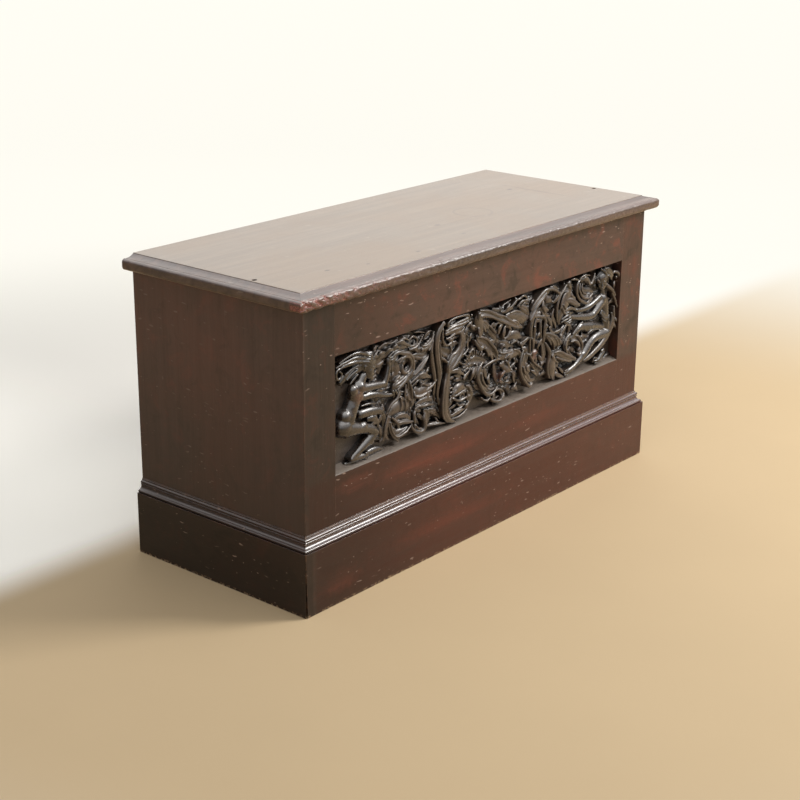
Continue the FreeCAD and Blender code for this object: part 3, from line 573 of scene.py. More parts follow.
# Foliage between the left figure and the long stem
LEFT_FOLIAGE = (
    # Frilled leaf along the head of the panel
    ("smooth", ((47, 82, 6.6, 2.6), (60, 84.6, 7.4, 3), (74, 86, 7.6, 3.2), (88, 87, 7.4, 3),
        (98, 85, 6, 1.6))),
    ("smooth", ((56, 92, 4.8, 2), (70, 93, 5.2, 2.4), (86, 94.4, 5.2, 2.4), (100, 93, 4.6, 1.6))),
    ("leaf", ((50, 81.6, 7.6, 1.2), (54, 85.6, 8.9, 1.7), (58, 85.4, 8.2, 0.8))),
    ("leaf", ((56.6, 83.4, 7.8, 1.4), (60.9, 86.6, 9.8, 1.9), (65.5, 87, 8.6, 0.9))),
    ("leaf", ((66, 84.4, 7.8, 1.4), (71.6, 87.2, 10, 1.9), (76, 86.4, 8.6, 0.9))),
    ("leaf", ((74, 85.6, 7.8, 1.5), (79.4, 88.4, 9.8, 1.8), (84, 86.4, 8.4, 0.8))),
    ("leaf", ((79, 90.6, 8.2, 1), (83, 90.8, 9.4, 1.4), (88, 90.2, 10, 2), (92.6, 87.6, 8.8, 1.2),
        (98, 84.8, 7.6, 0.7))),
    ("rib", ((84, 93.2, 7.8, 0.7), (90.4, 93, 9.2, 1.2), (95.4, 90.6, 8.2, 0.6))),
    ("rib", ((58, 92.6, 6.4, 0.7), (66, 94.4, 7.2, 0.9), (74, 92.8, 7, 0.8), (81, 94.6, 6.8, 0.6))),
    ("rib", ((94.6, 85.2, 7.4, 0.8), (96, 89.6, 7.6, 0.9), (101, 92.4, 7.4, 0.9),
        (106.6, 88.6, 7.4, 0.9), (104.6, 84.2, 7.4, 0.9), (99, 84.6, 7.2, 0.8))),
    ("rib", ((97, 81.8, 7, 0.8), (104.4, 81.8, 8, 1), (109, 84.6, 7, 0.7), (113.6, 89.4, 6, 0.5))),
    ("rib", ((103, 95.6, 5.8, 0.6), (109, 94.6, 6.2, 0.8), (116, 92.6, 5.6, 0.4))),
    ("smooth", ((48, 78.4, 6.4, 2.6), (55, 80.6, 7.2, 3.8), (62, 79, 6.6, 2.4))),
    ("rib", ((46, 84.4, 8.2, 0.8), (50.6, 84.4, 9, 1.1), (54.4, 87.6, 9.4, 1.2), (56.4, 90, 8.2, 0.6))),
    ("dished", ((57, 72, 4.8, 2), (60, 78, 5.6, 3), (64, 83, 6.2, 2))),
    ("leaf", ((42, 72.6, 6.4, 1), (47, 72, 7.6, 1.8), (52, 74.6, 6.6, 1))),
    ("leaf", ((46, 67, 6.4, 0.9), (50, 68, 7.6, 1.3), (54, 70.4, 6.2, 0.7))),
    # Mouth of the horn
    ("rib", ((74.4, 77.6, 8.8, 1.2), (78, 81.6, 9.6, 1.6), (83, 82.6, 9.9, 1.8), (89, 80.6, 10.1, 1.9),
        (96, 78.4, 10.1, 2), (100.6, 74.4, 10, 2), (102.2, 69, 9.9, 2), (101.6, 63.8, 9.6, 1.9),
        (98, 59.6, 9.2, 1.6))),
    ("rib", ((84.6, 73.2, 9.4, 0.9), (88, 75.8, 9.8, 1.3), (92.4, 77, 10, 1.7), (97, 75, 9.8, 1.4),
        (99.4, 71, 9.6, 1.3), (99, 66.4, 9.4, 1.2), (96, 63.2, 9.4, 1.2), (91, 63, 9.7, 1.6),
        (88, 66, 9.8, 1.7), (87.6, 70.4, 9.2, 1.2))),
    ("smooth", ((79, 77.4, 7.4, 2.8), (80.6, 71, 7.8, 5.2), (81.6, 64.8, 8.2, 4.6),
        (83, 60.4, 8.2, 2.6))),
    ("rib", ((80.4, 75.6, 8.6, 0.7), (83.6, 76.2, 9.2, 0.9), (86.8, 77.6, 9.2, 0.7))),
    ("limb", ((84.4, 64.6, 9.4, 1.1),)),
    # Hand tube of the horn
    ("fluted", ((97, 60, 8.6, 2.6), (91.5, 58, 9.2, 4.2), (85, 55.4, 9.4, 4.8), (79.5, 54.4, 9.2, 4.2),
        (77, 52.4, 8.4, 2.6))),
    ("rib", ((78.4, 58.4, 9.8, 0.9), (81.6, 60.7, 10.2, 1), (84.4, 62.2, 9.8, 0.8))),
    ("rib", ((82.6, 50.6, 9.8, 0.9), (88, 53.6, 10.2, 1.1), (92.6, 56.2, 10.2, 1.1),
        (95.8, 59.8, 9.8, 0.8))),
    ("dished", ((96, 58, 6.4, 2), (97.4, 50, 6.6, 2.6), (96.6, 42, 6.4, 2.6), (98.4, 33, 6, 2.4))),
    ("rib", ((92.6, 52, 6.8, 0.9), (92, 44, 7.4, 1), (92.8, 36, 6.8, 0.7))),
    ("rib", ((97.6, 54, 7.2, 0.9), (100.6, 46, 7.8, 1), (101.4, 37, 7, 0.8))),
    # Leaves that branch off towards the stem
    ("dished", ((100.6, 56.6, 7, 1.6), (107, 60.4, 8.4, 2.4), (113.6, 64, 9, 2.8), (118.6, 68, 8.8, 2),
        (122, 71.6, 7.4, 0.7))),
    ("rib", ((103.9, 58.2, 9, 0.9), (108.4, 59.8, 9.6, 1), (113.6, 62.6, 9.9, 1.1),
        (118.2, 66.3, 9.8, 1), (121.4, 70.4, 8.6, 0.6))),
    ("leaf", ((100, 76, 6, 1.2), (107, 74, 7, 3.4), (114, 72, 7, 3.4), (119, 72.6, 6.2, 1.4))),
    ("lobed", ((129, 90, 6.8, 1.4), (126.4, 84, 8.2, 3.4), (121, 80, 8.8, 4), (114, 78.8, 8.8, 3),
        (107, 79.4, 7.2, 0.8))),
    ("rib", ((128.6, 87.6, 8.8, 0.8), (125.4, 82.8, 9.7, 1.1), (119.6, 80.4, 9.8, 1.1),
        (114, 81, 9.2, 0.7))),
    ("limb", ((113.4, 78, 10, 1.5),)),
    ("rib", ((122.6, 75.6, 9, 1), (126, 78.6, 8.8, 0.9), (128.4, 83, 8.2, 0.6))),
    ("leaf", ((106, 54.6, 7.6, 1), (111, 55.4, 9.8, 2.2), (117, 54.6, 9.9, 2.8),
        (125.4, 50.8, 7.6, 0.7))),
    ("leaf", ((117.4, 54.8, 9, 1.4), (120.2, 57.4, 9.4, 1.2), (121.6, 60.4, 8, 0.5))),
    ("rib", ((98.4, 51.8, 7.8, 0.8), (104.4, 54.2, 9, 1.2), (109, 56.2, 9, 0.8))),
    ("rib", ((101, 49.4, 7.2, 0.7), (106.6, 51.6, 8.4, 1), (111, 53.2, 7.8, 0.6))),
    ("smooth", ((103.6, 45.4, 6.6, 3.4), (109, 41.2, 8, 5.6), (117, 41.4, 8.6, 5.6), (125, 43, 8, 3.4),
        (131.4, 45.6, 7.2, 1.2))),
    ("rib", ((112.4, 46.4, 8.6, 0.8), (115, 47.8, 9.2, 0.9), (119.4, 45.2, 9.3, 0.9),
        (124.4, 44, 8.8, 0.7))),
    ("rib", ((132.6, 46.6, 8.6, 0.8), (128.6, 43.4, 9.4, 1.1), (123.6, 41.4, 9.5, 1.1),
        (118, 39.6, 8.8, 0.8))),
    ("rib", ((103.6, 43, 7.2, 0.8), (105.4, 39, 8.6, 1), (110, 37.2, 9.3, 1.2), (115.4, 37, 9.6, 1.2),
        (120.4, 38.2, 9.3, 1), (126, 38.8, 8.6, 0.8))),
    # Wide smooth shell
    ("smooth", ((70, 32, 6, 3.4), (77, 34.6, 6.8, 6.4), (84.5, 35.4, 6.8, 7.4), (92, 33.4, 6.4, 5.6))),
    ("rib", ((67.4, 33, 7.6, 0.8), (71.2, 37, 8.8, 1), (75.4, 40.4, 9.4, 1.2), (81.7, 42.8, 10.1, 1.5),
        (84.2, 47.4, 9.8, 1.1))),
    ("rib", ((69, 31.4, 7.4, 0.7), (71.8, 34, 8.2, 0.8), (74.4, 37.2, 8, 0.6))),
    ("rib", ((86.6, 42, 7.8, 0.7), (87.4, 36, 8.2, 0.8), (85.6, 31, 7.6, 0.6))),
    ("rib", ((91.6, 40, 7.2, 0.7), (93, 34.6, 8, 0.9), (92, 29, 7.4, 0.6))),
    # Pod with pointed lips
    ("lobed", ((79, 26.2, 7.6, 1.4), (85, 26.8, 8.6, 2.4), (92, 25.6, 8.6, 2.4), (98.6, 21.4, 7.8, 1.4))),
    ("dished", ((75.6, 27.4, 7.8, 1), (80, 23.4, 8.4, 1.8), (86, 21, 8.8, 2.4), (94, 20, 8.6, 1.8),
        (101, 18, 7.8, 0.7))),
    ("rib", ((75.8, 27.9, 9.4, 1), (79.2, 24.6, 9.9, 1.2), (83.2, 21.2, 10.3, 1.5),
        (89, 20.4, 10.3, 1.5), (95.3, 18.6, 10, 1.3), (101.6, 17.6, 9.2, 0.9))),
    ("smooth", ((75.4, 19, 5.4, 1.6), (80, 13.6, 6.8, 3.4), (87.6, 12.2, 7.4, 3.8),
        (95, 13.8, 6.8, 2.2), (99.6, 15.4, 6, 0.8))),
    ("rib", ((81.6, 9.6, 8.6, 0.9), (86.3, 8.8, 9.6, 1.3), (90.4, 9.8, 10, 1.4), (94.8, 11.2, 9.6, 1.1),
        (99.4, 14.6, 8.4, 0.7))),
    ("dished", ((69.8, 31.6, 7, 1.6), (72.4, 24.2, 8.2, 2), (73.8, 18.4, 8.4, 2.1),
        (77.4, 11.8, 8.2, 1.8), (83, 5.4, 7.4, 0.8))),
    ("rib", ((73.6, 24, 8.8, 0.8), (75.4, 17, 9.4, 0.9), (79.2, 11.4, 9.2, 0.8), (84.6, 7.2, 8.2, 0.6))),
    ("leaf", ((70, 29.6, 7.6, 1.3), (68, 22, 8, 2), (66.6, 14.6, 7.6, 2.2), (63, 11.2, 6.4, 0.8))),
    ("leaf", ((66.6, 15.6, 7.2, 1), (68.6, 12.4, 7.8, 1.4), (70.6, 10, 6.6, 0.6))),
    # Curl with an open eye
    ("rib", ((106.6, 27.6, 7.8, 1), (104.4, 24.4, 8.8, 1.4), (104.4, 19.6, 9.2, 1.6), (105, 16, 9, 1.4))),
    ("rib", ((100.6, 15.6, 8.4, 0.8), (102, 11.6, 9.2, 1.2), (106, 7.6, 9.6, 1.5),
        (111.2, 5.4, 9.6, 1.5), (116, 5.4, 9.5, 1.6), (118.9, 8, 10, 2), (119, 12.2, 9.8, 2),
        (117.4, 16.6, 9, 1.6), (117.8, 20.4, 8.2, 1))),
    ("rib", ((106.4, 12.8, 8, 0.8), (109.6, 9, 8.6, 1), (113.8, 8.2, 8.4, 0.8))),
    ("dished", ((119.6, 10.6, 7.4, 1.4), (121.4, 15.4, 7.6, 3.2), (120.6, 20.6, 7.4, 3),
        (117, 23.4, 6.8, 1.4))),
    ("rib", ((105.2, 27.6, 8.4, 1), (110.4, 28.9, 9.2, 1.2), (117, 27.4, 9.4, 1.2),
        (122.7, 27.4, 9.4, 1.2), (128.4, 25.8, 8.4, 0.8))),
    ("leaf", ((105.6, 31.4, 6.8, 1.2), (112, 32.6, 7.4, 2.4), (120, 32.4, 7.4, 2.4),
        (127, 30.6, 6.6, 1))),
    ("lobed", ((122, 22.6, 6.4, 1.6), (128.6, 19.6, 7, 3.4), (135, 15, 6.2, 2.2),
        (138.6, 10.6, 5.4, 0.8))),
    ("leaf", ((119, 9, 7, 0.9), (124, 8.4, 7.6, 1.5), (131, 7.9, 7.8, 1.6), (138, 6.6, 7.8, 1.2),
        (146, 4.6, 6.2, 0.4))),
    ("rib", ((121.6, 8.8, 8.4, 0.6), (130.2, 7.2, 8.6, 0.8), (137.8, 6, 9.2, 1.1),
        (145.4, 4.6, 7.8, 0.5))),
    ("rib", ((132.8, 12.4, 7.4, 0.6), (135.4, 9.2, 8.4, 0.8), (138, 6.4, 8.6, 0.7))),
)

# The long stem and the loops beside it
MIDDLE_LEFT = (
    ("smooth", ((136, 90, 7.4, 3.6), (131.6, 80, 7.6, 5), (130.6, 68, 7.6, 5), (133, 56, 7.4, 4.8),
        (134, 46, 6.8, 3.6), (131, 36, 5.6, 1.6))),
    ("stem", ((141.4, 95.2, 10, 1.7), (139.4, 92.4, 10.3, 2.2), (136.2, 88.8, 10.4, 2.6),
        (133.8, 83, 10.4, 2.8), (133.4, 75, 10.4, 2.9), (134.4, 66, 10.3, 2.9), (136.4, 57, 10.1, 2.9),
        (137.4, 49.6, 9.8, 2.6), (136.4, 42, 9, 2), (135, 34, 7.8, 1.5), (136.4, 26, 6.8, 1.2),
        (138.6, 19, 5.4, 0.6))),
    ("rib", ((127.4, 82, 8.8, 1), (126, 75, 9.4, 1.6), (126.6, 67, 9.6, 1.9), (128.4, 58, 9.5, 2),
        (130.6, 50, 9.2, 1.8), (130.8, 43, 8.4, 1.2), (129.4, 36, 7.2, 0.9), (131, 29, 6, 0.6))),
    ("limb", ((141.6, 94, 10.4, 1.9),)),
    ("rib", ((147.6, 90.8, 9.4, 1.3), (148.6, 93.6, 9.6, 1.2), (153, 95.3, 9.6, 1.1),
        (160.2, 95.9, 9.6, 1.1), (169.6, 95.6, 9.6, 1.2), (175.4, 94.4, 9.6, 1.3),
        (177, 91.2, 9.2, 1.1))),
    ("rib", ((148, 90.6, 8.8, 0.8), (155, 90, 9.4, 1), (161, 90.8, 9.7, 1.1), (168, 91.2, 10, 1.3),
        (174.6, 91.8, 9.8, 1.1))),
    ("smooth", ((145.6, 86.4, 8.2, 1.8), (156, 87.6, 8.8, 2.6), (167, 88.6, 8.8, 2.6),
        (176, 90.4, 8.2, 1.6))),
    ("rib", ((145.2, 86.6, 9.6, 1.1), (156, 88.4, 10.2, 1.3), (167, 88.4, 10.3, 1.4),
        (175.6, 89, 9.8, 1))),
    ("smooth", ((145, 84, 8.4, 1.4), (152.8, 84.6, 9.2, 2), (160.6, 84.6, 9.4, 2.2),
        (166.6, 85.2, 8.8, 1.4))),
    ("rib", ((144.6, 84.5, 9.8, 1.1), (152.8, 85.5, 10.2, 1.3), (160, 85.4, 10.3, 1.5),
        (166.6, 86, 9.6, 0.9))),
    ("rib", ((146, 79.9, 9, 1), (150.6, 79.9, 9.6, 1.2), (156, 81.6, 9.7, 1.2), (160.6, 83.6, 9, 0.8))),
    ("limb", ((179.8, 93.4, 9.2, 1.3),)),
    ("rib", ((140.6, 89.6, 9.2, 1), (140.5, 83, 9.6, 1.3), (141.2, 79, 9.7, 1.3),
        (143.6, 75.6, 9.7, 1.4), (148, 73.8, 9.2, 1.2), (153.6, 75.6, 8.6, 0.9))),
    ("leaf", ((148.6, 78.2, 7.6, 1), (152.8, 77.4, 8.6, 1.5), (157.6, 79.4, 7.4, 0.7))),
    ("dished", ((137.4, 73.6, 7.2, 2), (142.6, 69.6, 8.2, 4.6), (148, 66.6, 8.4, 4.8),
        (150, 61.2, 7.8, 2.6))),
    ("rib", ((137.6, 80, 8, 0.9), (137.6, 71, 8.6, 1.1), (139, 64.6, 8.8, 1.2), (143.4, 62.2, 9, 1.3),
        (147.4, 58.6, 9.2, 1.2))),
    ("lobed", ((150.6, 70.6, 7.4, 1.4), (156.2, 73.6, 8.4, 2.8), (160.6, 73, 7.8, 1.3))),
    ("leaf", ((152, 66.4, 8.4, 0.9), (152.6, 70.2, 9.2, 1), (150.8, 74, 8, 0.6))),
    # Hooked stem
    ("smooth", ((159.6, 82.8, 8.4, 1.6), (165.6, 80.6, 8.8, 2.8), (168.4, 74, 9, 3.4),
        (166.6, 66, 9, 4.4), (161, 59.6, 9, 5.2), (154.4, 55, 9.2, 4.6), (150.4, 50, 9.4, 3))),
    ("rib", ((158.6, 81.6, 9, 0.9), (163.6, 81.8, 9.6, 1.2), (166.4, 77.9, 10.2, 1.5),
        (165.8, 72.6, 10.3, 1.7), (163.8, 67.6, 10.3, 1.8), (159, 64.6, 10.2, 1.7),
        (155.2, 63.6, 10.2, 1.6), (151.6, 60, 10.2, 1.7), (149.2, 55.6, 10.2, 1.7), (149, 50, 10, 1.8))),
    ("rib", ((170.4, 79, 8.8, 0.8), (171, 70.6, 9.4, 1.1), (167.6, 62.4, 9.8, 1.2),
        (163, 57.3, 10.2, 1.5), (158.8, 53.8, 10.2, 1.6), (153.6, 51.2, 9.8, 1.2))),
    # Great loop
    ("smooth", ((150, 52, 9.4, 2.6), (148.2, 44, 9.6, 3.2), (146.6, 36, 9.9, 3.6), (145.8, 28, 10, 3.8),
        (145.4, 20, 10, 3.8), (146, 13, 9.9, 3.6), (149.4, 7.6, 9.6, 3), (154.4, 4, 9, 2.2),
        (160, 1.6, 8, 1))),
    ("rib", ((147, 47, 8.6, 0.5), (144, 39, 9.8, 0.8), (142.4, 28, 10.2, 0.9), (142, 18, 10.2, 0.9),
        (143.6, 10.4, 9.8, 0.8), (148.6, 4.4, 9, 0.7))),
    ("rib", ((150.6, 44, 9.6, 0.9), (149.4, 34, 10.1, 1.1), (149, 24, 10.1, 1), (149.4, 16, 9.8, 0.9),
        (152.6, 9.4, 9, 0.7))),
    ("limb", ((151, 37.4, 10.1, 1.7),)),
    ("ring", ((151.4, 34, 8.6, 0.8), (154.8, 34.2, 8.6, 0.8), (155.2, 30.6, 8.6, 0.8),
        (151.6, 30.2, 8.4, 0.8), (151, 32.6, 8.4, 0.8))),
    ("smooth", ((156.6, 29, 8.8, 2.4), (161.6, 31, 10, 4.6), (167.6, 31.6, 9.4, 4),
        (171.6, 29.8, 8, 1.6))),
    ("leaf", ((155.8, 27, 9.6, 1), (159.4, 28.8, 10.3, 1.5), (163, 31.6, 9.8, 0.8))),
    ("leaf", ((157.6, 40, 7, 1), (161, 39.6, 8.4, 1.6), (166, 38.6, 7.2, 0.8))),
    ("rib", ((152.4, 27, 8.4, 0.8), (160, 25.4, 8.9, 0.9), (167, 26.6, 8.8, 0.9), (174, 28, 8, 0.7))),
    ("rib", ((155, 24.4, 8.6, 0.9), (157.6, 23.2, 9.4, 1.1), (161.4, 21, 9.4, 1.1),
        (167.2, 19.2, 9.2, 1.1), (173.7, 20.2, 9, 1.1), (179.5, 20.6, 8.4, 0.9))),
    ("ring", ((165.4, 24, 8.4, 0.8), (168.6, 25.8, 8.6, 0.9), (171.6, 23.4, 8.6, 0.9),
        (169.4, 20.6, 8.4, 0.8), (166, 21.6, 8.2, 0.8))),
    ("leaf", ((150.6, 19.6, 8.6, 0.8), (152, 22.8, 9.6, 1.1), (154.2, 25.6, 8.6, 0.6))),
    ("rib", ((161.4, 18.6, 8, 0.8), (165, 15.4, 8.6, 1), (169.4, 15.4, 8.2, 0.8))),
    ("rib", ((158.4, 12.6, 7.8, 0.8), (162.6, 12.6, 8.6, 1), (167, 12.6, 8.8, 1), (171.6, 15, 8.2, 0.8))),
    ("leaf", ((150, 11.6, 9, 0.9), (154.6, 8.4, 9.8, 1.4), (160.7, 9.2, 10, 1.8),
        (166.4, 9.8, 9.8, 1.6), (171, 10.4, 9, 0.8))),
    ("leaf", ((172.6, 10.2, 8.6, 1.2), (175.6, 12, 10, 2.2), (178.6, 14.4, 9, 1))),
    ("rib", ((155.6, 5.6, 7.2, 0.8), (163.4, 4.8, 7.6, 1.2), (171, 6.6, 7, 1.2), (176, 9, 6.6, 0.8))),
    ("smooth", ((173.6, 30, 7.2, 1.8), (179, 27.6, 8, 3.4), (180.6, 21, 8.2, 4), (178.6, 15, 7.8, 2.4))),
    ("rib", ((174.6, 31, 8.4, 0.8), (178.4, 28.8, 9, 1), (181, 24.6, 9, 1), (184.4, 21.6, 8, 0.7))),
    ("rib", ((176, 26, 8.6, 0.8), (176.8, 21.4, 9.2, 1.1), (176, 17.6, 8.8, 0.9))),
    # Toothed leaf
    ("dished", ((167.6, 44.6, 6.6, 1.6), (174.6, 49.6, 7.6, 4.2), (182.6, 51.6, 7.8, 5.4),
        (191, 50, 7.6, 4.6), (199, 47.4, 7, 2.6), (204, 46, 6.4, 0.8))),
    ("rib", ((186.6, 63, 7.6, 0.9), (181.6, 62, 8.6, 1.1), (178.6, 59.6, 8.6, 1))),
    ("leaf", ((152.8, 48.6, 8.8, 1.2), (158.4, 48.2, 9.4, 1.9), (162.8, 47.2, 10, 2.2),
        (167, 44.4, 9.4, 1.4), (172.6, 41.2, 8.2, 0.7))),
    ("rib", ((160.6, 56.6, 7.2, 1), (166.6, 53.6, 7.6, 1.2), (171, 48.6, 7.4, 0.9))),
    ("rib", ((163.6, 61, 7.2, 0.8), (170.4, 60.6, 7.8, 1), (176.4, 64.4, 7, 0.6))),
    ("leaf", ((158, 44.6, 7, 1), (163.6, 42.4, 7.6, 2), (169, 38.6, 6.8, 1))),
    ("leaf", ((178.6, 43.4, 7.8, 0.7), (174.6, 41, 9, 1.5), (171.2, 38, 9.8, 1.5))),
    ("leaf", ((187.6, 45.4, 7.8, 0.8), (185.8, 42.4, 8.8, 1.8), (184, 38.8, 9.4, 2),
        (181, 35, 7.8, 0.8))),
    ("limb", ((188.8, 46.4, 9.4, 1.2),)),
    ("rib", ((189.6, 44.6, 8.4, 0.9), (188.4, 40, 9, 1.2), (186.6, 35, 8.2, 0.8))),
    ("smooth", ((173.6, 55.6, 5.4, 1.4), (182, 57.6, 5.8, 2.2), (191, 56.6, 5.8, 2.2),
        (198, 53.6, 5.4, 1.4))),
)
TEETH = (
    (171.5, 45.6), (170.8, 48.6), (171.2, 51.4), (172.6, 54.2), (175.6, 54.6), (174.8, 57.4),
    (177.8, 56.8), (178.4, 59.6), (181.4, 58.6), (184.6, 59.4), (187.8, 58.6), (191.2, 57.4),
    (194.6, 55.6), (198, 53.6), (174, 49), (174.4, 46.4),
)
TOOTH_CENTRE = (184, 47.5)

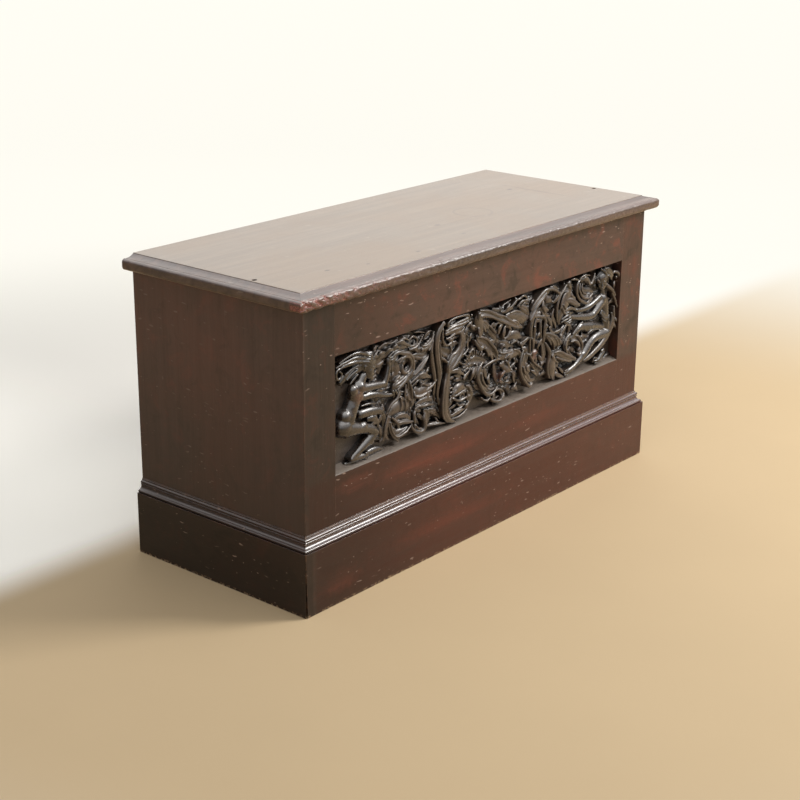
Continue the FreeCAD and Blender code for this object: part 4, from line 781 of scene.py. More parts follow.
# The middle: the broad diagonal leaf, the ribbon leaf and the scroll
MIDDLE = (
    ("smooth", ((191, 94, 8.8, 2.2), (190.6, 88, 8.8, 5.4), (192.6, 82, 8.8, 7), (193.6, 76, 8.4, 4.6),
        (192.6, 72, 7.8, 1.6))),
    ("limb", ((191.4, 92, 10.3, 1.8), (190.6, 88.4, 10, 1.6))),
    ("lobed", ((195.6, 84, 8.6, 2.6), (200.6, 80.6, 8.8, 4), (204.6, 76.4, 7.8, 1.4))),
    ("leaf", ((190.8, 79.2, 9.2, 1), (192.2, 74.8, 10, 1.6), (192.6, 71.6, 9.2, 0.8))),
    ("leaf", ((196.4, 80.4, 8.8, 1), (199.6, 76.4, 9.4, 1.2), (201, 73.6, 8.4, 0.6))),
    # Diagonal band
    ("smooth", ((189.6, 92, 9, 2), (201, 90.4, 9.2, 3.4), (211, 87, 9.2, 3.4), (221, 82, 9.2, 3.4),
        (232, 76.4, 9.2, 3.4), (243, 71, 9, 3), (254, 66.6, 8.4, 1.4))),
    ("rib", ((192, 94.8, 9.8, 0.9), (197.5, 93.7, 10.3, 1.1), (204.3, 91.9, 10.4, 1.2),
        (210.4, 88.9, 10.4, 1.3), (219, 84.6, 10.3, 1.1), (226, 82.6, 10, 1), (233, 78.4, 10.3, 1.3),
        (240.4, 74, 10.3, 1.3), (247, 70.4, 9.6, 0.8))),
    ("rib", ((190.6, 89.4, 9.9, 1.2), (195, 89.2, 10.4, 1.8), (200.4, 88.2, 10.4, 1.7),
        (209, 85.4, 10.3, 1.2), (219.2, 80.6, 10.3, 1.2), (229, 75.8, 10.3, 1.2),
        (239.6, 70.8, 10.2, 1.2), (249.6, 66.6, 9.4, 0.8))),
    ("rib", ((224, 79.8, 9.6, 0.7), (233.6, 75.2, 10, 0.8), (243.6, 70.6, 9.6, 0.6))),
    # Ribbon leaf
    ("dished", ((189, 73, 8, 1.8), (192.6, 68.4, 9, 4.6), (199.4, 64, 9.4, 5.2), (207.6, 58.6, 9.4, 5),
        (214.6, 51.6, 9.2, 3.8), (219.4, 45.2, 8.4, 1))),
    ("rib", ((185.6, 69.4, 8.8, 0.9), (188.4, 65.6, 9.8, 1.3), (191.6, 62.2, 10.3, 1.7),
        (194.6, 59.4, 10.4, 2.1), (197.6, 60.6, 9.6, 1.2))),
    ("rib", ((190, 71.6, 9, 0.9), (197, 69.4, 9.8, 1.1), (203.6, 66, 10.2, 1.3),
        (210.6, 59.6, 10.3, 1.4), (216.4, 53.6, 10.2, 1.4), (218.8, 48.4, 9.8, 1.2),
        (216.4, 44, 9, 0.8))),
    ("leaf", ((201.6, 58.4, 9, 1), (205, 54.6, 9.4, 1.7), (206.4, 50.6, 8.6, 0.8))),
    ("leaf", ((207.4, 52.6, 8.6, 1), (211, 48.4, 9.2, 1.5), (211.6, 45, 8.4, 0.7))),
    ("rib", ((203.6, 80.4, 7.4, 0.8), (209.7, 75.3, 8.4, 1.1), (215.1, 69.9, 8.6, 1))),
    ("smooth", ((204.6, 77.6, 5.4, 3), (209.6, 71, 5.8, 4), (216, 64, 5.6, 3.6), (221, 57.6, 5.2, 2.2))),
    # Bright fingers under the band
    ("leaf", ((219.8, 68.6, 8.6, 1.4), (221.6, 72.6, 9.9, 2.2), (224.4, 75.2, 9, 1.4))),
    ("rib", ((213.6, 72.6, 7.6, 0.8), (214.6, 76.4, 8.4, 1.1), (218.4, 78.4, 8.8, 1.1),
        (222.6, 76.6, 8.8, 0.9))),
    ("leaf", ((227, 62.4, 9, 1), (227.6, 66.4, 10.3, 2.1), (228.6, 71, 9.9, 1.4),
        (230.6, 73.6, 8.6, 0.7))),
    ("ring", ((229.8, 72, 8.6, 0.9), (233.6, 71.4, 9.2, 1.2), (237.4, 68.4, 9.2, 1.2),
        (236, 64.6, 9.8, 1.5), (232.6, 61.6, 9.4, 1.2), (229, 61.4, 8.6, 0.9))),
    ("limb", ((228.2, 61.6, 9.9, 1.3),)),
    ("smooth", ((233.6, 60.4, 7.4, 2), (240.6, 62, 8.6, 5), (247, 60.4, 8.4, 5),
        (252.6, 57.4, 7.4, 2.2))),
    ("rib", ((239.4, 54, 8.8, 0.9), (243.6, 55.2, 9.8, 1.3), (248, 55, 9, 0.8))),
    ("rib", ((224.6, 54, 8.8, 0.9), (227.4, 55, 10, 1.3), (230.4, 55.2, 8.8, 0.7))),
    ("smooth", ((222, 60, 6.2, 2.4), (230, 57.6, 6.8, 3), (237, 54.6, 6.2, 2))),
    # Big pale leaf and small leaves at the head of the panel
    ("smooth", ((230.6, 81.6, 8.2, 2.4), (238.6, 80.4, 8.6, 4.6), (248, 77.6, 8.6, 6.4),
        (256.6, 74.4, 8.2, 5.6), (262.4, 73.6, 7.4, 2.4))),
    ("rib", ((240.6, 75.4, 8.8, 0.8), (245.8, 73.4, 9.8, 1.1), (250, 70.4, 9.2, 0.8))),
    ("rib", ((236.6, 83.4, 8.8, 0.8), (244, 83.4, 9.2, 0.9), (252, 81.4, 9, 0.7))),
    ("leaf", ((249.6, 87, 7.4, 1.4), (254.6, 84.4, 8.4, 3), (260.6, 81, 8.4, 3.4),
        (264, 76.6, 7.4, 1.8))),
    ("lobed", ((223.6, 86.6, 7.6, 1), (229.6, 86.4, 8.8, 1.8), (234.6, 87.6, 9.2, 2.2),
        (239.6, 87.2, 8, 1.2))),
    ("leaf", ((228.4, 85.4, 8.6, 1), (232.8, 88.4, 10, 1.9), (235.4, 91.8, 8.8, 0.7))),
    ("rib", ((236, 88, 8.8, 1), (242, 90.8, 9.6, 1.4), (244.6, 93.6, 9.4, 1.3), (242.6, 96.6, 8, 0.5))),
    ("rib", ((244.6, 93.4, 9.2, 1.1), (250.4, 93.7, 9.4, 1.1), (254.6, 95.3, 9.6, 1.3),
        (258.8, 94, 9.2, 1.1), (261.6, 90.6, 8.8, 0.9))),
    ("rib", ((247, 87.2, 8.6, 0.8), (250.6, 89, 9.6, 1.2), (254.6, 90.5, 9.8, 1.3),
        (261.4, 89.6, 9.4, 1))),
    ("rib", ((252.6, 86.6, 8.6, 0.7), (257.6, 88, 9.2, 0.9), (262.6, 86.4, 8.4, 0.6))),
    ("rib", ((224, 92.4, 6.8, 0.7), (230, 94, 7.2, 0.9), (236, 95.4, 6.8, 0.6))),
    ("smooth", ((210, 92.6, 5.2, 1.6), (220, 89.6, 5.8, 2.6), (228, 90.6, 5.6, 2.2))),
    # Scroll under the ribbon leaf
    ("rib", ((197, 46.6, 8.6, 0.9), (193.6, 43.6, 9.6, 1.4), (191.4, 39.4, 10, 1.7),
        (191, 34.4, 10.2, 1.8), (193, 29.4, 10.2, 1.7), (195.6, 25.4, 10.2, 1.6),
        (200.6, 18.6, 10.2, 1.7), (206.4, 14.4, 10.1, 1.8), (211.6, 13.8, 10, 1.6),
        (216.6, 15.6, 9.4, 1.2), (219.8, 18.6, 8.4, 0.7))),
    ("dished", ((195.6, 43, 7.4, 1.2), (195.2, 36, 8.2, 3), (197.6, 29, 8.4, 3.2),
        (202.4, 22.4, 8.4, 2.8), (208.4, 17.6, 8, 2))),
    ("rib", ((196.6, 36.4, 8.8, 0.8), (197.6, 30.6, 9.4, 1), (200.3, 26.6, 9.6, 1),
        (203.4, 23.4, 8.6, 0.6))),
    ("leaf", ((207.6, 33.4, 7.6, 0.7), (206.4, 30, 9, 1.5), (206.4, 27.6, 9.3, 1.4),
        (208.6, 24, 8.2, 0.6))),
    ("leaf", ((199.4, 40.6, 7.8, 1.6), (201.6, 35.4, 8.4, 2.2), (203.4, 30.6, 7.6, 0.9))),
    ("rib", ((205.6, 20.4, 8.2, 0.7), (210.6, 18.2, 8.8, 1), (214.6, 18.8, 8.2, 0.6))),
    ("rib", ((199, 41.4, 8.2, 0.9), (204.6, 43.2, 9, 1.1), (210.2, 44, 9.2, 1.2), (216.6, 44.4, 8.8, 1),
        (222.6, 43.6, 8, 0.7))),
    ("lobed", ((214, 41, 4.8, 1.6), (215.6, 34, 5.4, 2.8), (218, 27, 5.4, 2.6), (220.6, 21, 5.2, 1.2))),
    ("rib", ((196.6, 14.4, 7.6, 0.7), (200.8, 11, 8.6, 1.1), (205.4, 9.2, 9.4, 1.4),
        (208.6, 10.6, 8.6, 0.8))),
    ("rib", ((208.6, 11.8, 8.4, 0.8), (213.4, 7.4, 9, 1.3), (219.3, 4.9, 9.3, 1.4),
        (225.2, 4.3, 9.5, 1.4), (228.6, 6.4, 9.9, 1.5), (230, 9.6, 9, 0.9))),
    ("rib", ((213.6, 14.4, 7.8, 0.8), (219.6, 16, 8.6, 1.1), (225.6, 14.6, 8.6, 1.1),
        (229.6, 11.4, 8.2, 0.8))),
    ("rib", ((213, 9.6, 6.6, 0.8), (217.6, 8.6, 7, 0.9), (222, 9.4, 6.4, 0.7))),
    # Leaves right of the scroll
    ("smooth", ((221.6, 46, 7.6, 2.6), (231, 45, 8.4, 4.4), (241, 44.4, 8.8, 4.8),
        (250, 43.6, 8.4, 3.2), (255.4, 41.4, 7.2, 1))),
    ("rib", ((224, 49, 8.8, 0.9), (231, 47.4, 9.4, 1.1), (238.8, 46.8, 9.2, 0.9))),
    ("leaf", ((231.2, 42.4, 9.2, 1), (235.6, 43.8, 10, 1.2), (239.8, 45.6, 9, 0.6))),
    ("leaf", ((235.6, 38.4, 9, 1.2), (238, 41.4, 10.2, 2), (242, 44.4, 9.2, 0.9))),
    ("rib", ((243.6, 47.6, 9.2, 0.8), (248, 46.4, 9.6, 1), (253.6, 42, 9.2, 0.9),
        (252.6, 38.4, 8.2, 0.6))),
    ("ring", ((234.6, 36.4, 8.6, 1), (237.6, 32, 9, 1.2), (241.6, 33.8, 9, 1), (245.4, 35.2, 9, 1),
        (244.6, 38.8, 8.6, 0.8))),
    ("smooth", ((223.6, 38.6, 7.4, 2), (227.6, 36.4, 7.8, 2.6), (233.2, 31.6, 8.8, 3.4),
        (240, 29.6, 8.6, 1.8))),
    ("leaf", ((232, 40, 8.6, 0.9), (235, 37, 9.4, 1.1), (237.6, 34, 8.8, 0.7))),
    ("leaf", ((223.8, 25.2, 8.4, 0.9), (226.6, 28.2, 9.9, 1.7), (230.4, 29.8, 9, 0.9))),
    ("limb", ((240.6, 29.2, 9.4, 1.3),)),
    ("limb", ((247.2, 28.8, 8.6, 1.3),)),
    ("leaf", ((221.6, 22.6, 6.8, 0.8), (224.4, 22.4, 8.2, 1.6), (228.6, 20.4, 6.8, 0.7))),
    ("leaf", ((242.2, 11.2, 6.8, 0.7), (246, 11.2, 8.2, 2), (248.8, 15.4, 6.4, 0.5))),
    ("leaf", ((246.6, 12, 7.4, 1.2), (248.8, 9.8, 7.8, 1.4), (251, 7.2, 6.6, 0.5))),
    ("smooth", ((228, 22, 3.8, 3.4), (233, 18, 4.4, 4.4), (237, 13, 4, 3.8), (238, 7.6, 3, 1.6))),
)

# Foliage between the middle and the right figure
MIDDLE_RIGHT = (
    ("dished", ((252, 50.6, 8.2, 1.2), (256, 50.4, 9.2, 2.4), (260.6, 51.6, 9, 1.8),
        (265, 53.4, 8.4, 1))),
    ("leaf", ((253.2, 51.2, 9.2, 1), (255.6, 49, 9.8, 1.4), (255.8, 46.4, 8.6, 0.6))),
    ("rib", ((256.4, 51.6, 9.4, 0.9), (260.4, 52.8, 9.9, 1.1), (264.6, 54.2, 9.2, 0.8))),
    ("smooth", ((257, 45.6, 6.2, 1.8), (262, 43.4, 7.2, 3.6), (267, 38.6, 6.8, 2.6))),
    # Long curved leaf
    ("rib", ((258.4, 43.4, 8.2, 0.9), (255.4, 37.4, 9, 1.2), (254.4, 31.4, 9.6, 1.6),
        (254.6, 26.4, 10, 1.7), (255.8, 22.4, 10, 1.5), (258.6, 17.2, 9.9, 1.5),
        (262.8, 12.6, 9.6, 1.4), (266.4, 9, 9.6, 1.4), (269.8, 6.6, 9.8, 1.9), (273.4, 8.4, 8.8, 1))),
    ("dished", ((260.4, 39, 7.2, 1.4), (259.4, 31, 8.2, 3.4), (261, 24, 8.4, 3.8),
        (264.4, 17.4, 8.4, 3.2), (269.6, 12.4, 8, 2.4), (276.6, 11.4, 7, 1))),
    ("leaf", ((259.6, 27.4, 9, 0.9), (261.6, 23, 9.6, 1.5), (263.6, 19.4, 8.8, 0.7))),
    ("leaf", ((264.6, 29.4, 8.4, 0.8), (265, 24.4, 9, 1.3), (268.6, 21.4, 8.6, 0.9))),
    ("rib", ((264.6, 38.4, 8.2, 0.8), (267.8, 37, 8.8, 0.9), (270.3, 33.8, 9.2, 1),
        (274.6, 28.6, 9.3, 1.1), (280.5, 24.1, 9.2, 1), (288.4, 18.4, 8.2, 0.7))),
    ("rib", ((269.6, 29, 7.8, 0.8), (275, 22.6, 8.2, 1), (281.4, 17.6, 7.4, 0.7))),
    ("smooth", ((268.6, 30, 6, 2.6), (275, 22.4, 6.6, 3.8), (281.6, 16.6, 6.2, 2.8),
        (286.6, 13, 5.2, 1.2))),
    ("leaf", ((271.6, 21, 7.4, 0.9), (276.4, 18.4, 8.4, 1.6), (280, 14.6, 7.2, 0.8))),
    ("limb", ((273.4, 37.2, 9.2, 3), (276.6, 37.6, 9.4, 2.9))),
    ("rib", ((269.4, 36.2, 8.8, 0.9), (272.4, 39.8, 9, 1), (273, 45.6, 9.2, 1.1), (271.6, 51.6, 9, 1))),
    ("rib", ((268.2, 39, 8.8, 0.9), (268, 46, 9.2, 1), (268, 53, 9.4, 1.1))),
    # Upright stems
    ("smooth", ((270.6, 36, 6.8, 2.8), (272, 46, 7.4, 4), (273, 56, 7.4, 5), (274, 66, 7.4, 4.4),
        (276, 74, 7, 2.4))),
    ("rib", ((268.6, 52.6, 9.4, 1.4), (268.6, 60, 9.8, 1.9), (269.8, 67, 10, 2), (272.6, 73, 10, 1.8))),
    ("rib", ((274, 52, 8.4, 1), (274.6, 58.6, 9, 1.4), (274.3, 63.6, 9.2, 1.4), (276.4, 69.6, 8.8, 1))),
    ("limb", ((274.4, 61.6, 9.9, 1.2),)),
    ("leaf", ((283.4, 55, 8.6, 1.4), (281, 52.4, 9.4, 1.6), (278.8, 50.4, 8.8, 0.8))),
    ("rib", ((284.6, 50, 8.8, 1), (283.8, 56, 9.4, 1.5), (283.6, 62.6, 9.2, 1.4), (284.4, 68, 8.6, 0.9))),
    ("stem", ((289.6, 44.6, 8.8, 1.6), (290.2, 51, 9.4, 2), (290.8, 57.2, 9.8, 2.1),
        (291.6, 63.4, 9.6, 1.9), (289.8, 67.6, 9.4, 1.5), (286, 69, 9.4, 1.4), (280, 70.6, 9, 1.2),
        (274, 71.6, 9, 1.1))),
    ("limb", ((292.7, 58.7, 10.4, 2.4),)),
    ("leaf", ((286.6, 47.4, 7.6, 1.2), (283.6, 44.6, 7.8, 2), (280.4, 41, 7, 1))),
    ("lobed", ((276, 67.4, 7.4, 1.4), (281.6, 66.8, 8, 2.2), (287, 66.4, 7.4, 1.2))),
    # Arched pair of ribs
    ("smooth", ((267.6, 72.6, 8.2, 2), (272.6, 78.6, 8.8, 3.2), (279.6, 84.6, 9, 3.6),
        (287, 89.6, 9, 3.2), (294, 91.6, 8.8, 1.8))),
    ("rib", ((268.6, 79, 9, 1), (273.4, 84, 10, 1.3), (279.8, 88.2, 10.3, 1.4),
        (285.8, 91.6, 10.4, 1.7), (291, 93.2, 10.4, 1.8), (296.5, 92.8, 10.3, 1.5),
        (301.9, 91.6, 10.1, 1.3), (306.8, 89.3, 9.9, 1.2), (311.4, 86.2, 9.8, 1.3))),
    ("rib", ((268, 69.6, 9.6, 1.3), (271.6, 72.6, 10.2, 1.7), (275, 76.4, 10.3, 1.6),
        (277.6, 80.6, 10.3, 1.4), (282.4, 84, 10.4, 1.9), (286.3, 86.2, 10.4, 1.7),
        (290.4, 90, 10.2, 1.2))),
    ("leaf", ((297.4, 94.6, 7.4, 0.9), (303.6, 93.8, 8, 1.6), (309.6, 90.4, 7.6, 0.9))),
    ("leaf", ((302.6, 79.2, 7.8, 0.9), (306.4, 80.2, 8.8, 1.9), (310.4, 82.4, 9.2, 1.9),
        (313.4, 86.4, 9, 1))),
    ("leaf", ((286.6, 83.4, 8.4, 0.9), (286.8, 79.4, 9.6, 2.2), (289.4, 75.4, 9.8, 1.8),
        (290.6, 72.8, 9.4, 1.2))),
    ("leaf", ((289, 77.6, 9, 1), (292, 75.2, 9.8, 1.3), (294.8, 73.2, 9, 0.8))),
    ("smooth", ((290.6, 88, 6.8, 2.2), (293.6, 84.4, 7.8, 3.8), (297.6, 82.4, 7.6, 2.8),
        (301, 80.4, 6.6, 1.2))),
    ("smooth", ((299.6, 86.6, 4.8, 2.4), (304.6, 84.8, 5.2, 3), (309, 84.2, 4.8, 1.8))),
    ("leaf", ((284.6, 75.6, 7.4, 0.9), (287.6, 72, 8.4, 2), (292.6, 69, 8, 1.6), (298, 67.6, 7, 0.7))),
    ("leaf", ((294.6, 66.6, 7.8, 1.2), (299, 62.4, 8.2, 2.4), (301.6, 57, 7.6, 1.4))),
    ("leaf", ((298.6, 56.4, 7.4, 1.2), (301.4, 51.6, 8.2, 1.8), (306.6, 48.8, 7.6, 0.8))),
    ("leaf", ((304.4, 72.6, 7, 0.9), (302.6, 66, 7.6, 2.2), (306.4, 59.6, 7.4, 2),
        (308.6, 53.6, 6.6, 0.8))),
    # Ribbed leaf that sweeps down to the right
    ("smooth", ((290, 50.4, 8, 1.8), (297, 47.4, 8.8, 4), (304.6, 43, 9, 5.4), (311.6, 39.4, 8.8, 5.4),
        (319, 37, 7.6, 2.2))),
    ("rib", ((289.6, 52.6, 9, 0.9), (295.2, 50.9, 10, 1.2), (300.6, 49, 10.2, 1.3),
        (306.4, 46.6, 10.2, 1.3), (311, 44.2, 9.8, 1))),
    ("rib", ((293, 50, 9.2, 0.8), (297.4, 46.8, 10.1, 1.1), (303, 42.4, 10.2, 1.1),
        (306.4, 37.4, 9.6, 0.9), (306.6, 33, 8.6, 0.6))),
    ("rib", ((293.6, 48, 9, 0.7), (298.4, 43.4, 9.8, 0.9), (301.6, 39, 9.4, 0.6))),
    ("rib", ((306.6, 44.4, 9.4, 0.8), (310.6, 41.4, 10, 1), (312.6, 37.6, 9.6, 0.9),
        (311.6, 34, 8.6, 0.6))),
    ("rib", ((310.6, 44, 9.4, 0.8), (314.6, 41, 9.8, 1), (316.4, 37, 9.2, 0.8))),
    ("limb", ((316.5, 43.8, 10.3, 2.1),)),
    ("leaf", ((317.6, 45.4, 9.2, 1.3), (321.4, 48.6, 9.8, 1.7), (324.6, 52, 9, 1.2),
        (326.4, 55, 8, 0.6))),
    ("leaf", ((307, 49.6, 7.8, 1), (312.6, 49, 8.4, 2), (317.6, 50.4, 8, 1.4), (321, 54.6, 7, 0.7))),
    # Great upright leaf and trunk
    ("dished", ((286.8, 44.4, 7.8, 1.4), (289.4, 38.4, 8.6, 2.8), (290.4, 32, 8.4, 3),
        (289.2, 26.6, 8, 2), (286.8, 22.8, 7.4, 0.8))),
    ("leaf", ((287, 25.4, 8.6, 0.7), (287.6, 23.2, 9.4, 1.3), (289.6, 24.8, 8.6, 0.8))),
    ("rib", ((292.6, 42.4, 9, 1), (295.6, 38.6, 10, 1.6), (298.6, 34.6, 10.3, 2.1),
        (300, 30.4, 10.2, 2.2), (298.8, 26, 9.6, 1.5), (297.4, 20, 9.2, 1.2), (298, 13, 8.8, 1.1),
        (301.6, 6.4, 8, 0.8))),
    ("smooth", ((306.6, 28.4, 8.4, 3), (304.4, 21.6, 8.9, 6), (304.4, 14, 8.7, 6.4),
        (306.6, 8, 7.6, 4.4), (308.6, 4, 6.4, 1.6))),
    ("rib", ((304.6, 29.6, 8.8, 0.9), (305, 26.4, 9.9, 1.4), (308.4, 22.4, 9.4, 1.1),
        (314, 18.6, 8.6, 0.8))),
    # Pod with a groove
    ("smooth", ((306.6, 29.6, 8.4, 1.4), (314.6, 27.4, 9, 3), (324, 22.6, 9.2, 3.4),
        (333.6, 18.6, 9, 2.6), (343, 14.6, 8.2, 1))),
    ("rib", ((309, 29.6, 9.6, 1), (317, 28.6, 10.1, 1.3), (325.6, 23.8, 10.4, 1.7),
        (334, 20, 10.3, 1.6), (343, 15.8, 9.6, 1))),
    ("rib", ((311.6, 24, 8.8, 0.8), (318.6, 20.6, 9.4, 1.1), (326.6, 17.6, 9.4, 1.1),
        (336, 14.6, 8.6, 0.8))),
    ("leaf", ((309.6, 10.4, 7.2, 0.9), (312.4, 7.8, 8.6, 1.8), (318, 4.6, 8.8, 1.9),
        (325.4, 1.8, 7.2, 0.6))),
    ("leaf", ((316.4, 13.4, 6.8, 0.9), (320.6, 9.4, 7.6, 1.6), (327, 4.6, 7.4, 1))),
    ("leaf", ((303.4, 9.6, 7.6, 0.7), (304.8, 7.2, 8.2, 1.1), (307, 3.8, 7.2, 0.6))),
)

# Broad leaf in the right figure's hands, and the scrolls round the figure
RIGHT_FOLIAGE = (
    ("smooth", ((328.6, 93, 7.6, 2.4), (326.6, 86.6, 8.4, 5.8), (323.6, 79, 8.8, 8.6),
        (319, 71, 8.8, 7.4), (315, 63.6, 8.4, 4.4), (313, 57, 7.4, 1.6))),
    ("rib", ((310.4, 59.6, 8.8, 0.9), (309, 66.6, 9.4, 1.3), (310, 75.6, 9.6, 1.4),
        (313.6, 83, 9.6, 1.4), (319, 87.6, 9.4, 1.3), (322.6, 91.6, 8.6, 0.8))),
    ("rib", ((314.6, 70.6, 9.8, 1), (316.6, 77, 10.2, 1.2), (320.4, 82.6, 10.1, 1.1),
        (326.4, 84.6, 9, 0.7))),
    ("leaf", ((323.8, 91, 8.6, 1.2), (326.4, 91.6, 9.8, 2.4), (329, 89.4, 9.9, 2), (331, 86, 8.8, 0.8))),
    ("rib", ((316.6, 72, 9.6, 0.8), (318.4, 69, 10.2, 1), (320, 66.2, 10.4, 1.1),
        (322.6, 64.2, 9.8, 0.8))),
    ("rib", ((319.6, 73, 9.6, 0.7), (322, 70, 10.1, 0.9), (323.6, 68.4, 9.8, 0.6))),
    ("leaf", ((323.6, 76.6, 9, 1.4), (330.6, 75, 9.8, 2.8), (337.6, 71.6, 10.3, 3),
        (345.6, 67.4, 9.4, 1.2))),
    ("leaf", ((336.6, 70.6, 9.6, 0.8), (340.2, 69.2, 10.4, 1.4), (346, 68.6, 9.6, 0.8))),
    ("leaf", ((331.6, 82.6, 8.4, 0.9), (333.6, 78.6, 9.4, 1.7), (338, 75.4, 9.2, 1))),
    ("rib", ((331, 95, 8.4, 0.7), (335.6, 94.6, 9.6, 1.2), (341.8, 92.8, 8.8, 0.8))),
    ("leaf", ((318.6, 63.6, 8.4, 1), (325, 66.6, 9, 1.6), (332, 67.6, 8.6, 1.8), (339, 64.8, 8, 1))),
    ("leaf", ((321.6, 56.6, 8.2, 0.9), (326, 53.6, 8.8, 1.6), (331.6, 50.6, 8.2, 1.4),
        (335, 46.6, 7.2, 0.8))),
    # Ribbed scroll beside the head
    ("smooth", ((344, 88, 6.4, 3), (346, 80, 7.2, 4.8), (351.6, 74.4, 7.8, 4.8), (358.6, 72, 8, 3.4))),
    ("rib", ((346.6, 92.4, 8.6, 0.9), (342.4, 89.6, 9.4, 1.3), (340.6, 84.6, 9.8, 1.5),
        (341.4, 78.4, 10, 1.5), (345.6, 73.2, 10.2, 1.5), (351.4, 69.4, 10.3, 1.6),
        (357.6, 67, 10.2, 1.5), (361.4, 68.6, 10.2, 1.5), (363, 71.8, 10.2, 1.6),
        (366.8, 74.2, 9.4, 0.9))),
    ("rib", ((345.8, 88, 8.6, 0.8), (344.8, 83, 9.4, 1.2), (346.2, 79.6, 9.8, 1.3),
        (348.8, 76, 10, 1.4), (353.4, 72.8, 10.2, 1.5), (359.4, 71.2, 10, 1.2))),
    ("rib", ((349.4, 87, 8.2, 0.7), (348.6, 82.6, 8.9, 0.9), (351, 78.6, 9.2, 1), (356.4, 76.2, 9, 0.8))),
    ("smooth", ((347.6, 91, 8.4, 1.6), (353.4, 91.6, 9, 2.6), (358.6, 88.8, 9.2, 2.8),
        (362, 84.8, 8.8, 1.6))),
    ("rib", ((345, 92.8, 8.8, 0.9), (348.6, 94.2, 9.4, 1.2), (354, 94.8, 9.6, 1.1),
        (361, 93.4, 8.8, 0.8))),
    ("leaf", ((350.4, 91, 9.4, 1.2), (353.6, 91.4, 10.4, 2.1), (357.6, 89.8, 10.2, 1.6),
        (361.8, 84.6, 9.8, 1.1))),
    ("rib", ((361.4, 84.2, 9.8, 1.1), (364.6, 84.8, 9.8, 1.2), (367, 87.2, 9.6, 1.2),
        (369, 90.6, 9.2, 1), (369.6, 93.6, 8.4, 0.6))),
    ("smooth", ((350.6, 82.6, 5.4, 3), (357, 79.6, 5.8, 3.8), (363.4, 78.4, 5.4, 2.8),
        (368.4, 76, 5, 1.6))),
    # Curl behind the head
    ("rib", ((399.6, 86.6, 8.4, 0.9), (403, 88.2, 9.2, 1.3), (407.6, 87.4, 9.7, 1.5),
        (411.8, 84.8, 9.9, 1.8), (414, 81, 9.6, 1.6), (413, 77, 8.6, 1.1))),
    ("limb", ((407.4, 82.6, 8.8, 1.7),)),
    ("leaf", ((405.6, 79, 6.6, 1), (405, 75.6, 7.6, 1.5), (404.6, 71, 6.6, 0.7))),
    # Long stem that runs down behind the back and under the thigh
    ("rib", ((389.6, 79.6, 9, 1.2), (393, 76.6, 10.1, 2), (398.6, 73, 10.2, 1.8), (403, 69.4, 10, 1.4),
        (407.4, 64.6, 9.4, 0.8))),
    ("rib", ((401.6, 68.4, 8.8, 0.9), (405, 63.6, 9.4, 1.3), (408, 59.6, 9.6, 1.4),
        (409.6, 55.4, 9.4, 1.2), (412.6, 51.8, 9.4, 1.1), (415.6, 49, 8.4, 0.6))),
    ("rib", ((406, 53.6, 9.4, 0.9), (406.2, 48.6, 10, 1.4), (406.6, 43.6, 10, 1.6),
        (404, 36.6, 9.8, 1.6), (401.6, 30.6, 9.4, 1.2))),
    ("rib", ((402.6, 47.6, 8.8, 0.8), (403.4, 42, 9.4, 1.1), (401.6, 36, 9.4, 1.1),
        (398.6, 31.4, 8.8, 0.8))),
    ("smooth", ((405, 46, 8, 2.4), (405.4, 38, 8.8, 4), (400.6, 30.6, 9.2, 4.2),
        (393.6, 23.6, 9.4, 3.8), (385, 18.4, 9.8, 3.2), (377.6, 15.4, 10.1, 2.8),
        (370.4, 12.8, 10.3, 2.7), (363.6, 10.8, 10.2, 2.4), (357, 10.2, 9.2, 1))),
    ("leaf", ((409, 41.6, 8.6, 0.8), (411.4, 38.6, 9.6, 1.3), (414.6, 35, 8.4, 0.6))),
    ("leaf", ((406.6, 38, 8.4, 0.9), (409, 33.6, 9.4, 1.3), (411.6, 30.6, 8.4, 0.6))),
    # Open curl below the far leg
    ("smooth", ((333.6, 41.6, 7.8, 1.6), (328.6, 38.4, 8.4, 3), (325.8, 32.4, 8.8, 3.4),
        (327.6, 26.4, 8.6, 2.2), (332.6, 21.6, 8, 0.9))),
    ("rib", ((327, 36.6, 9.4, 0.8), (325.6, 31.4, 9.8, 0.9), (327.4, 26.2, 9.4, 0.8))),
    ("rib", ((331.6, 29.6, 8.6, 0.8), (330.8, 26, 9.2, 1), (333.2, 22.6, 9.4, 1.1), (337, 20, 8.8, 0.8))),
    ("rib", ((335, 34, 8.8, 0.9), (339.6, 34, 9.6, 1.2), (343.6, 32.4, 10.3, 1.8), (347, 30, 9.8, 1.4),
        (349.4, 26.6, 9.2, 1))),
    ("rib", ((341, 38.6, 8.6, 0.9), (345, 37.4, 9.4, 1.3), (348, 34.9, 10.2, 1.9),
        (351.6, 31, 9.6, 1.5), (354, 25.6, 9, 1.3), (352.6, 20.6, 8.6, 1.1), (349.6, 17.6, 9.4, 1.5),
        (346.6, 20, 8.8, 0.9))),
    ("smooth", ((334.6, 38.4, 7.6, 2), (341, 36, 7.8, 3.2), (347.6, 33.4, 7.8, 3.4),
        (353, 28.6, 7.4, 2.2))),
    ("lobed", ((334.6, 29, 4.2, 1.6), (338, 26, 5, 2.8), (342, 22.6, 4.4, 1.4))),
    ("smooth", ((353, 37.4, 5.4, 2), (358.6, 34.6, 5.8, 2.4), (363.6, 33.6, 5.6, 1.4))),
    ("smooth", ((394, 4, 2.6, 1.6), (402, 5.6, 3.2, 3), (411, 4, 2.2, 1.2))),
)

